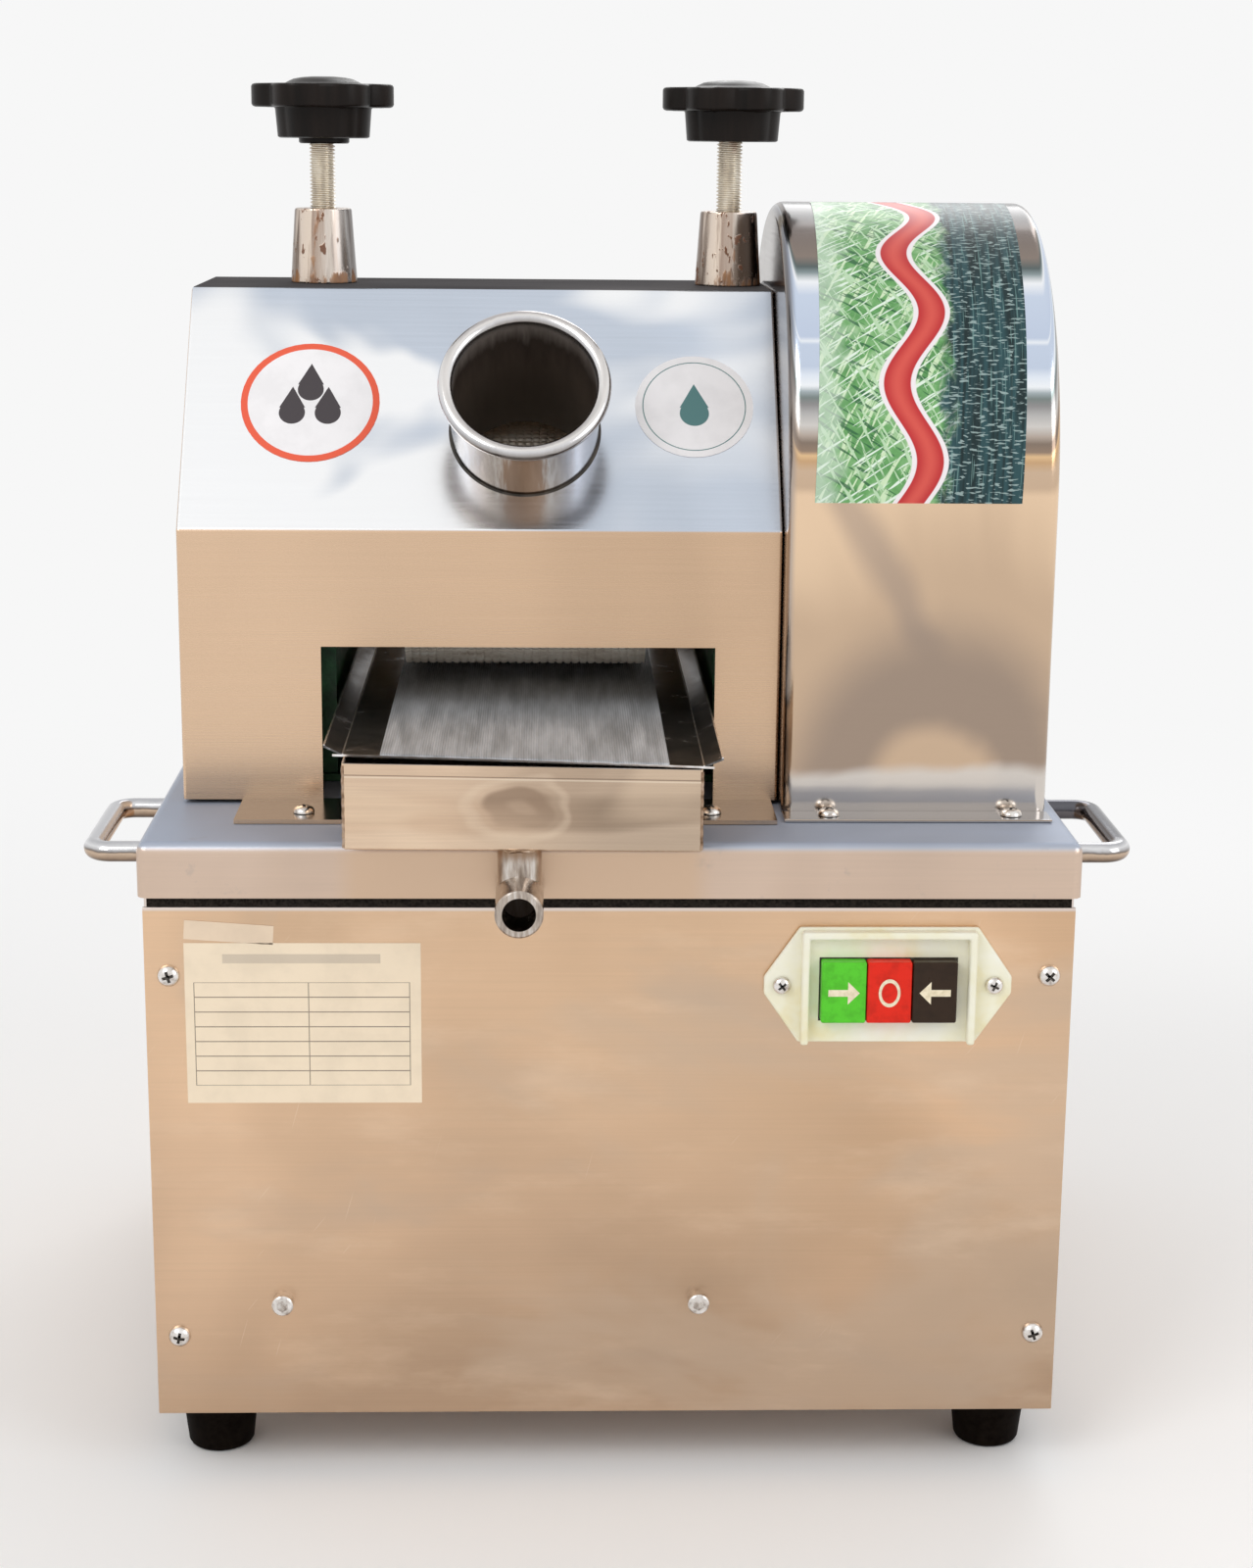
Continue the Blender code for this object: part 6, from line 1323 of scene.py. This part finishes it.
# Painted reflections and shade round the cone, by the way each side faces.
turn = boss_paint.facing(0) + (streak - 0.5) * 0.7
tone = boss_paint.ramp(turn * 0.5 + 0.5, (0.06, (0.20, 0.15, 0.12)), (0.16, (0.74, 0.63, 0.54)),
                       (0.30, (0.78, 0.66, 0.55)), (0.36, (0.40, 0.30, 0.24)), (0.50, (0.52, 0.42, 0.35)),
                       (0.60, (0.72, 0.64, 0.57)), (0.70, (0.40, 0.34, 0.30)), (0.88, (0.44, 0.42, 0.41)),
                       (0.97, (0.16, 0.14, 0.13)))
spots = boss_paint.noise(boss_paint.place((1, 1, 0.55), (0.013, 0.021, 0)), 210.0, 3.0, 0.6)
runs = boss_paint.noise(boss_paint.place((1, 1, 0.25)), 120.0, 4.0, 0.65)
foot = boss_paint.between(boss_paint.along(2), 0.560, 0.551)
patch = boss_paint.between(spots, 0.615, 0.66)
edge_rust = boss_paint.between(runs + foot * 0.14, 0.60, 0.68)
rusty = boss_paint.clamped(patch + edge_rust * 0.8)
rust_tone = boss_paint.ramp(spots, (0.4, (0.42, 0.17, 0.04)), (0.7, (0.16, 0.05, 0.015)))
boss_paint.feed("Base Color", boss_paint.mix(rusty * 0.9, tone, rust_tone))
boss_paint.feed("Roughness", rusty * 0.5 + 0.22)
boss_paint.feed("Metallic", 1 - rusty)
boss_paint.bump(rusty, 0.0003, 0.5)
for side in ("left", "right"):
    low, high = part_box("boss_" + side)
    radius = (high.x - low.x) / 2
    height = high.z - low.z
    top = radius - 0.0023
    profile = [(0.0068, height), (top - 0.0012, height), (top - 0.0004, height - 0.0003), (top, height - 0.0012)]
    profile += [(radius, 0.0006), (radius - 0.0003, 0.0), (0.0068, 0.0)]
    boss = turned(profile, 72, ring=True)
    moved(boss, Matrix.Translation(((low.x + high.x) / 2, (low.y + high.y) / 2, low.z)))
    piece("boss_turned_" + side, boss, boss_paint, ["boss_" + side])
print("bosses", round(1000 * height, 1), "mm tall")

# %% [markdown]
# ## The hand knobs
# The knobs are moulded black plastic: a scalloped rim over a shallowly scalloped hub, with
# a low dome on top. One ring of points is pulled upwards step by step, and a wave pushes
# it in and out, more at the rim than at the hub.

# %% Knobs
LOBES = 7
KNOB_STEPS = 20
black = Paint("knob_plastic", (0.008, 0.006, 0.005), 0.28, shine=0.14)
mould = black.noise(black.place((90, 90, 10)), 1.0, 3.0, 0.6)
black.feed("Base Color", black.ramp(mould, (0.3, (0.004, 0.003, 0.0025)), (0.7, (0.014, 0.009, 0.007))))
black.feed("Roughness", mould * 0.3 + 0.18)
fine = black.noise(black.place(), 900.0, 2.0)
black.bump(fine, 0.00008, 0.4)


def knob_ring(form, edges, height, level, radius, depth):
    """Pulls the ring up to a height and spreads it to a scalloped outline."""
    made = pulled(form, edges, (0, 0, height - level))
    edges = [item for item in made if isinstance(item, bmesh.types.BMEdge) and len(item.link_faces) == 1]
    for vert in {vert for edge in edges for vert in edge.verts}:
        angle = math.atan2(vert.co.y, vert.co.x)
        share = (1 + math.cos(LOBES * (angle - math.pi / 2))) / 2
        reach = radius - depth * (1 - share ** 0.6)
        vert.co.x = reach * math.cos(angle)
        vert.co.y = reach * math.sin(angle)
    return edges


def shape_knob(node, name):
    low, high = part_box(node)
    height = high.z - low.z
    steps = [
        (0.0000, 0.0218, 0.0008), (0.0006, 0.0229, 0.0010), (0.0140, 0.0240, 0.0010), (0.0146, 0.0246, 0.0014),
        (0.0147, 0.0338, 0.0044), (0.0152, 0.0350, 0.0044), (0.0162, 0.0356, 0.0044), (0.0246, 0.0356, 0.0044),
        (0.0256, 0.0350, 0.0044), (0.0260, 0.0338, 0.0040), (0.0261, 0.0290, 0.0020), (0.0262, 0.0192, 0.0),
        (0.0272, 0.0172, 0.0), (0.0284, 0.0146, 0.0), (0.0291, 0.0108, 0.0), (0.0295, 0.0060, 0.0),
    ]
    form = bmesh.new()
    ring = bmesh.ops.create_circle(form, cap_ends=False, radius=0.0062, segments=LOBES * KNOB_STEPS)["verts"]
    edges = list({edge for vert in ring for edge in vert.link_edges})
    level = 0.0
    for up, radius, depth in steps:
        edges = knob_ring(form, edges, up, level, radius, depth)
        level = up
    made = pulled(form, edges, (0, 0, height - level))
    tip = [item for item in made if isinstance(item, bmesh.types.BMVert)]
    bmesh.ops.pointmerge(form, verts=tip, merge_co=(0, 0, height))
    bore = [edge for edge in form.edges if edge.is_boundary]
    pulled(form, bore, (0, 0, 0.010))
    bmesh.ops.edgeloop_fill(form, edges=[edge for edge in form.edges if edge.is_boundary])
    bmesh.ops.recalc_face_normals(form, faces=form.faces)
    moved(form, Matrix.Translation(((low.x + high.x) / 2, (low.y + high.y) / 2, low.z)))
    return piece(name, form, black, [node], smooth=40)


for side in ("left", "right"):
    made = shape_knob("pressure_knob_" + side, "hand_knob_" + side)
    print(made.name, "top", round(max(vert.co.z for vert in made.data.vertices), 4))

collar_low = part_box("pressure_knob_left")[0]
knob_x = (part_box("pressure_knob_left")[0].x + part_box("pressure_knob_left")[1].x) / 2
collar = turned([(0.0063, 0), (0.0118, 0), (0.0125, 0.0007), (0.0125, 0.0026), (0.0063, 0.0026)], 48, ring=True)
moved(collar, Matrix.Translation((knob_x, 0, collar_low.z - 0.0026)))
piece("knob_collar_left", collar, black, body="left_screw_set")

# %% [markdown]
# ## Screws
# Every screw head is a turned dome with its drive cut into it. The cutter is a cross or a
# hexagon, a Boolean takes it out, and the result is stored as a plain mesh.

# %% Screw heads
bright = Paint("screw_steel", (0.66, 0.62, 0.58), 0.24, metallic=1.0)
spots = bright.noise(bright.place(), 300.0, 3.0, 0.5)
bright.feed("Base Color", bright.ramp(spots, (0.28, (0.40, 0.34, 0.30)), (0.46, (0.74, 0.70, 0.66)),
                                      (0.75, (0.92, 0.90, 0.89))))
bright.feed("Roughness", spots * 0.2 + 0.12)


def to_object(form, name):
    mesh = bpy.data.meshes.new(name)
    form.to_mesh(mesh)
    form.free()
    made = bpy.data.objects.new(name, mesh)
    bpy.context.scene.collection.objects.link(made)
    return made


def carved(form, cutter):
    """A shape with another cut out of it."""
    body = to_object(form, "body")
    tool = to_object(cutter, "tool")
    cut = body.modifiers.new("cut", "BOOLEAN")
    cut.object = tool
    cut.operation = "DIFFERENCE"
    seen = body.evaluated_get(bpy.context.evaluated_depsgraph_get())
    result = bmesh.new()
    result.from_mesh(seen.to_mesh())
    seen.to_mesh_clear()
    for spent in (body, tool):
        mesh = spent.data
        bpy.data.objects.remove(spent)
        bpy.data.meshes.remove(mesh)
    return result


def cross_arms(reach, width, low, high):
    """The two bars of a cross between two heights."""
    return [block((-reach, -width / 2, low), (reach, width / 2, high)),
            block((-width / 2, -reach, low), (width / 2, reach, high))]


def pan_head(radius, height):
    profile = [(0, height)] + [(radius * 0.62 * share, height - 0.18 * height * share ** 2) for share in (0.5, 1.0)]
    profile += [(radius * 0.86, height * 0.60), (radius * 0.97, height * 0.32), (radius, height * 0.14),
                (radius, 0), (0, 0)]
    return turned(profile, 40)


def cross_screw(node, name, place, radius, height, turn=0.0):
    """A pan-head screw with a cross recess; place has its Z axis out of the surface."""
    head = pan_head(radius, height)
    floor_at = height * 0.38
    for arm in cross_arms(radius * 0.52, radius * 0.27, floor_at, height + 0.002):
        head = carved(head, arm)
    # A dark cross on each recess floor: painted shade in the recess.
    cross_floor_shade = joined(*cross_arms(radius * 0.51, radius * 0.25, floor_at - 0.0001, floor_at + 0.0001))
    place = place @ Matrix.Rotation(math.radians(turn), 4, "Z")
    recess_floor_shades.append(moved(cross_floor_shade, place))
    return piece(name, moved(head, place), bright, [node], smooth=30)


recess_floor_shades = []
for index, side in enumerate(("top_left", "top_right", "bottom_left", "bottom_right")):
    node = "panel_screw_" + side
    low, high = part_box(node)
    spot = facing_front((low.x + high.x) / 2, face_low, (low.z + high.z) / 2)
    cross_screw(node, "panel_screw_head_" + side, spot, 0.0052, face_low - low.y, 17 + 31 * index)
for index, side in enumerate(("left", "right")):
    node = "switch_screw_" + side
    low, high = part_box(node)
    back = low.y + 0.0028
    spot = facing_front((low.x + high.x) / 2, back, (low.z + high.z) / 2)
    cross_screw(node, "switch_screw_head_" + side, spot, 0.0042, back - low.y, 40 + 25 * index)
for index, node in enumerate(("base_bolt_left", "base_bolt_right", "cover_bolt_left", "cover_bolt_right")):
    low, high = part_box(node)
    spot = Matrix.Translation(((low.x + high.x) / 2, (low.y + high.y) / 2, high.z - 0.0034))
    cross_screw(node, node + "_head", spot, 0.0050, 0.0034, 12 + 20 * index)
# All the recess floors painted dark as shade, in one piece.
piece("screw_recess_shade", joined(*recess_floor_shades), joint_shade_paint, body=body_of("panel_screw_top_left"))

# %% Cap screws
for side in ("left", "right"):
    node = "cap_screw_" + side
    low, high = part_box(node)
    height = face_low - low.y
    head = turned([(0, height), (0.0044, height), (0.0050, height - 0.0006), (0.0050, 0), (0, 0)], 40)
    socket = bmesh.new()
    bmesh.ops.create_cone(socket, cap_ends=True, segments=6, radius1=0.0029, radius2=0.0029, depth=0.010,
                          matrix=Matrix.Translation((0, 0, height + 0.0012)))
    head = carved(head, socket)
    moved(head, facing_front((low.x + high.x) / 2, face_low, (low.z + high.z) / 2))
    piece("cap_screw_head_" + side, head, bright, [node], smooth=30)
print("screw heads cut")

# %% [markdown]
# ## The switch
# A moulded ivory plate with pointed ends carries a raised rim on three sides. Three square
# buttons stand in it. The plate's long edges are softened, and the buttons are marked
# with plain arrows and a ring.

# %% Switch plastics
ivory = Paint("ivory_plastic", (0.80, 0.77, 0.58), 0.40, shine=0.3)
yellowing = ivory.noise(ivory.place(), 42.0, 3.0, 0.6)
tone = ivory.ramp(yellowing, (0.28, (0.82, 0.74, 0.46)), (0.44, (0.86, 0.83, 0.64)), (0.70, (0.89, 0.88, 0.78)))
ivory.feed("Base Color", tone)
ivory.bump(ivory.noise(ivory.place(), 600.0, 2.0), 0.0001, 0.3)


def button_plastic(name, colour):
    paint = Paint(name, colour, 0.32, shine=0.2)
    mottle = paint.noise(paint.place(), 160.0, 4.0, 0.6)
    deep = tuple(value * 0.80 for value in colour)
    paint.feed("Base Color", paint.mix(paint.between(mottle, 0.40, 0.68), colour, deep))
    paint.feed("Roughness", mottle * 0.25 + 0.2)
    return paint


green_plastic = button_plastic("green_plastic", (0.10, 0.60, 0.03))
red_plastic = button_plastic("red_plastic", (0.76, 0.022, 0.008))
dark_plastic = button_plastic("dark_plastic", (0.032, 0.017, 0.009))
mark_paint = Paint("cream_mark", (0.86, 0.76, 0.55), 0.45)
worn = mark_paint.noise(mark_paint.place(), 400.0, 3.0)
mark_paint.feed("Base Color", mark_paint.ramp(worn, (0.3, (0.70, 0.60, 0.40)), (0.6, (0.88, 0.78, 0.58))))

# %% Switch shape
SWITCH_X = 0.1273
SWITCH_Z = 0.2448
PLATE_HALF = 0.0571
PLATE_TALL = 0.0275
FLAT_HALF = 0.0410
END_HALF = 0.0040
switch_low, switch_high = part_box("switch_body")
plate_back = face_low - 0.0003
plate_front = plate_back - 0.0025
body_outline = [(-FLAT_HALF, -PLATE_TALL), (FLAT_HALF, -PLATE_TALL), (PLATE_HALF, -END_HALF),
                (PLATE_HALF, END_HALF), (FLAT_HALF, PLATE_TALL), (-FLAT_HALF, PLATE_TALL),
                (-PLATE_HALF, END_HALF), (-PLATE_HALF, -END_HALF)]
plate = rounded(slab(body_outline, 0.0025), 0.0009, 4, 20)
moved(plate, facing_front(SWITCH_X, plate_back, SWITCH_Z))

rim_wall = 0.0036
rim_half = FLAT_HALF - 0.0008
rim_top = PLATE_TALL - 0.0010
rim_rise = plate_front - switch_low.y
rim_outline = [(-rim_half, -PLATE_TALL), (-rim_half + rim_wall, -PLATE_TALL),
               (-rim_half + rim_wall, rim_top - rim_wall), (rim_half - rim_wall, rim_top - rim_wall),
               (rim_half - rim_wall, -PLATE_TALL), (rim_half, -PLATE_TALL), (rim_half, rim_top),
               (-rim_half, rim_top)]
rim = rounded(slab(rim_outline, rim_rise + 0.0006), 0.0012, 4, 40)
moved(rim, facing_front(SWITCH_X, plate_front + 0.0006, SWITCH_Z))
piece("switch_plate", joined(plate, rim), ivory, ["switch_body"])

# A dark block behind the buttons: painted shade in the gaps round them.
shade = Paint("switch_gap", (0.03, 0.028, 0.02), 0.7)
switch_shade_mottle = shade.noise(shade.place(), 300.0, 2.0)
shade.feed("Base Color", shade.ramp(switch_shade_mottle, (0.3, (0.02, 0.018, 0.012)), (0.7, (0.07, 0.06, 0.04))))
button_z = (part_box("button_stop")[0].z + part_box("button_stop")[1].z) / 2
gap_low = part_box("button_forward")[0]
gap_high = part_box("button_reverse")[1]
gap_shade_block = block((gap_low.x - 0.0007, plate_front - 0.0001, gap_low.z - 0.0007),
             (gap_high.x + 0.0007, plate_front + 0.0006, gap_high.z + 0.0007))
piece("switch_gap", gap_shade_block, shade, body="cabinet")

# %% Buttons and their marks
def button(node, name, paint, body, marks):
    """A square push button with soft edges, and flat marks on its face."""
    low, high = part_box(node)
    form = rounded(block(low, high), 0.0010, 4)
    piece(name, form, paint, [node])
    middle = (low + high) / 2
    for mark in marks:
        moved(mark, facing_front(middle.x, low.y + 0.00002, middle.z))
    piece(name + "_mark", joined(*marks), mark_paint, body=body)


def arrow(direction):
    """A plain arrow across the button."""
    head = [(0.0072, 0), (0.0018, 0.0054), (0.0018, 0.0016), (-0.0072, 0.0016), (-0.0072, -0.0016),
            (0.0018, -0.0016), (0.0018, -0.0054)]
    points = [(direction * x, y) for x, y in head]
    return slab(points if direction > 0 else points[::-1], 0.0001)


def round_mark():
    """A plain upright ring."""
    ring = turned([(0.0050, 0), (0.0050, 0.0001), (0.0037, 0.0001), (0.0037, 0)], 48, ring=True)
    bmesh.ops.scale(ring, vec=(1.0, 1.34, 1), verts=ring.verts)
    return ring


button("button_forward", "button_green", green_plastic, "forward_button", [arrow(1)])
button("button_stop", "button_red", red_plastic, "stop_button", [round_mark()])
button("button_reverse", "button_dark", dark_plastic, "reverse_button", [arrow(-1)])
print("buttons at height", round(button_z, 4))

# %% [markdown]
# ## Handles, feet and gland
# A handle is a bright round bar with two bends: a ring of points is pulled along each
# straight run and spun round each corner. The feet are turned rubber, and the gland is a
# turned black nut on the back.

# %% Handles
HANDLE_BEND = 0.009
rod_paint = Paint("handle_steel", (0.72, 0.70, 0.68), 0.16, metallic=1.0)
polish = rod_paint.noise(rod_paint.place((80, 20, 200)), 1.0, 3.0, 0.6)
# Painted reflections along the bar by how it faces up or down, and a painted dark reflection on part of the right
# handle.
lift = rod_paint.facing(2) * 0.5 + 0.5 + (polish - 0.5) * 0.25
tone = rod_paint.ramp(lift, (0.10, (0.10, 0.075, 0.06)), (0.34, (0.46, 0.34, 0.25)), (0.48, (0.62, 0.47, 0.35)),
                      (0.56, (0.20, 0.17, 0.15)), (0.68, (0.56, 0.55, 0.56)), (0.80, (0.78, 0.78, 0.79)),
                      (0.96, (0.50, 0.50, 0.52)))
right_handle_dark_reflection = rod_paint.between(rod_paint.along(0), 0.0, 0.2) * rod_paint.between(rod_paint.along(1), -0.164, -0.156)
tone = rod_paint.mix(right_handle_dark_reflection * 0.92, tone, (0.08, 0.08, 0.095))
rod_paint.feed("Base Color", tone)
rod_paint.feed("Roughness", polish * 0.16 + 0.09)


def open_end(made):
    edges = [item for item in made if isinstance(item, bmesh.types.BMEdge) and len(item.link_faces) == 1]
    return edges


def bent_handle(node, name, side):
    low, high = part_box(node)
    radius = (high.z - low.z) / 2
    z = (high.z + low.z) / 2
    inner = low.x if side > 0 else high.x
    outer = (high.x - radius) if side > 0 else (low.x + radius)
    front = low.y + radius
    back = high.y - radius
    form = bmesh.new()
    turn = Matrix.Translation((inner, front, z)) @ Matrix.Rotation(math.pi / 2, 4, "Y")
    ring = bmesh.ops.create_circle(form, cap_ends=True, radius=radius, segments=28, matrix=turn)["verts"]
    edges = list({edge for vert in ring for edge in vert.link_edges})
    edges = open_end(pulled(form, edges, (outer - side * HANDLE_BEND - inner, 0, 0)))
    for centre_y, run in ((front + HANDLE_BEND, (0, back - front - 2 * HANDLE_BEND, 0)),
                          (back - HANDLE_BEND, (inner - outer + side * HANDLE_BEND, 0, 0))):
        rim = list({vert for edge in edges for vert in edge.verts})
        centre = (outer - side * HANDLE_BEND, centre_y, z)
        spun = bmesh.ops.spin(form, geom=rim + edges, cent=centre, axis=(0, 0, side), angle=math.pi / 2,
                              steps=10)["geom_last"]
        edges = [item for item in spun if isinstance(item, bmesh.types.BMEdge)]
        edges = open_end(pulled(form, edges, run))
    bmesh.ops.edgeloop_fill(form, edges=edges)
    bmesh.ops.remove_doubles(form, verts=form.verts, dist=0.000001)
    bmesh.ops.recalc_face_normals(form, faces=form.faces)
    return piece(name, form, rod_paint, [node])


bent_handle("handle_left", "carry_handle_left", -1)
bent_handle("handle_right", "carry_handle_right", 1)
print("handles bent")

# %% Feet and gland
rubber = Paint("foot_rubber", (0.006, 0.004, 0.003), 0.62, shine=0.03)
grit = rubber.noise(rubber.place(), 300.0, 4.0, 0.6)
rubber.feed("Base Color", rubber.ramp(grit, (0.3, (0.003, 0.0016, 0.001)), (0.75, (0.010, 0.007, 0.005))))
rubber.feed("Roughness", grit * 0.3 + 0.42)
rubber.bump(grit, 0.0002, 0.4)
for corner in ("front_left", "front_right", "rear_left", "rear_right"):
    node = "foot_" + corner
    low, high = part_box(node)
    wide = (high.x - low.x) / 2
    tall = high.z - low.z
    profile = [(0, tall), (wide - 0.0010, tall), (wide, tall - 0.0010), (wide, tall * 0.56), (wide - 0.0007, tall * 0.50),
               (wide - 0.0022, 0.0022), (wide - 0.0030, 0.0008), (wide - 0.0045, 0.0), (0, 0)]
    foot = moved(turned(profile, 64), Matrix.Translation(((low.x + high.x) / 2, (low.y + high.y) / 2, low.z)))
    piece("rubber_foot_" + corner, foot, rubber, [node])
dress(black, "cable_gland")
print("feet", round(1000 * tall, 1), "mm tall")

# %% [markdown]
# ## Floor and light
# The machine stands on a plain pale floor that fades into the background. Large soft lamps
# and a pale world light it evenly, and the world that the camera and the steel see is kept
# apart from the world that lights the surfaces, so the backdrop stays pale at any level.

# %% Floor
BACKDROP = 0.93
floor_mesh = bpy.data.meshes.new("floor")
plane = bmesh.new()
bmesh.ops.create_grid(plane, x_segments=1, y_segments=1, size=40)
plane.to_mesh(floor_mesh)
plane.free()
floor = bpy.data.objects.new("floor", floor_mesh)
bpy.context.scene.collection.objects.link(floor)
floor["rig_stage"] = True
ground = Paint("pale_floor", (BACKDROP, BACKDROP, BACKDROP), 0.9)
floor_mesh.materials.append(ground.material)
flat = ground.node("Emission", {}, {"Color": (BACKDROP, BACKDROP, BACKDROP, 1), "Strength": 1.0})
spot = ground.place()
away = ground.node("VectorMath", {"operation": "LENGTH"}, {0: spot}, "Value")
far = ground.between(away, 0.55, 1.6)
output = ground.tree.nodes["Material Output"]
blend = ground.node("MixShader", {}, {0: far})
ground.tree.links.new(ground.shader.outputs[0], blend.socket.node.inputs[1])
ground.tree.links.new(flat.socket, blend.socket.node.inputs[2])
ground.tree.links.new(blend.socket, output.inputs["Surface"])

# %% World and lamps
world = bpy.data.worlds.new("studio")
bpy.context.scene.world = world
world.use_nodes = True
nodes = world.node_tree.nodes
links = world.node_tree.links
background = nodes["Background"]
background.inputs["Color"].default_value = (1, 1, 1, 1)
background.inputs["Strength"].default_value = 0.66
seen = nodes.new("ShaderNodeBackground")
seen.inputs["Color"].default_value = (BACKDROP, BACKDROP, BACKDROP, 1)
path = nodes.new("ShaderNodeLightPath")
either = nodes.new("ShaderNodeMath")
either.operation = "MAXIMUM"
any_ray = nodes.new("ShaderNodeMath")
any_ray.operation = "MAXIMUM"
links.new(path.outputs["Is Camera Ray"], either.inputs[0])
links.new(path.outputs["Is Glossy Ray"], either.inputs[1])
links.new(either.outputs[0], any_ray.inputs[0])
links.new(path.outputs["Is Transmission Ray"], any_ray.inputs[1])
mixed = nodes.new("ShaderNodeMixShader")
links.new(any_ray.outputs[0], mixed.inputs[0])
links.new(background.outputs[0], mixed.inputs[1])
links.new(seen.outputs[0], mixed.inputs[2])
links.new(mixed.outputs[0], nodes["World Output"].inputs["Surface"])


def lamp(name, place, target, size, power):
    """A soft square lamp that looks at a point."""
    data = bpy.data.lights.new(name, "AREA")
    data.size = size
    data.energy = power
    made = bpy.data.objects.new(name, data)
    made.location = place
    made.rotation_euler = (Vector(target) - Vector(place)).to_track_quat("-Z", "Y").to_euler()
    bpy.context.scene.collection.objects.link(made)


lamp("key", (-1.5, -1.9, 2.2), (0, 0, 0.35), 1.5, 24)
lamp("fill", (1.9, -1.4, 1.3), (0, 0, 0.30), 1.3, 11)
lamp("rear", (0.6, 2.0, 1.9), (0, 0, 0.40), 1.4, 16)
print("studio lit")

# %% [markdown]
# ## The dressed size
# The dressed machine has to fill the same box as its solids, so the dressed box is printed.

# %% Print the dressed box
low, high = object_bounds()
print("dressed box", [round(value, 4) for value in (*low, *high)])
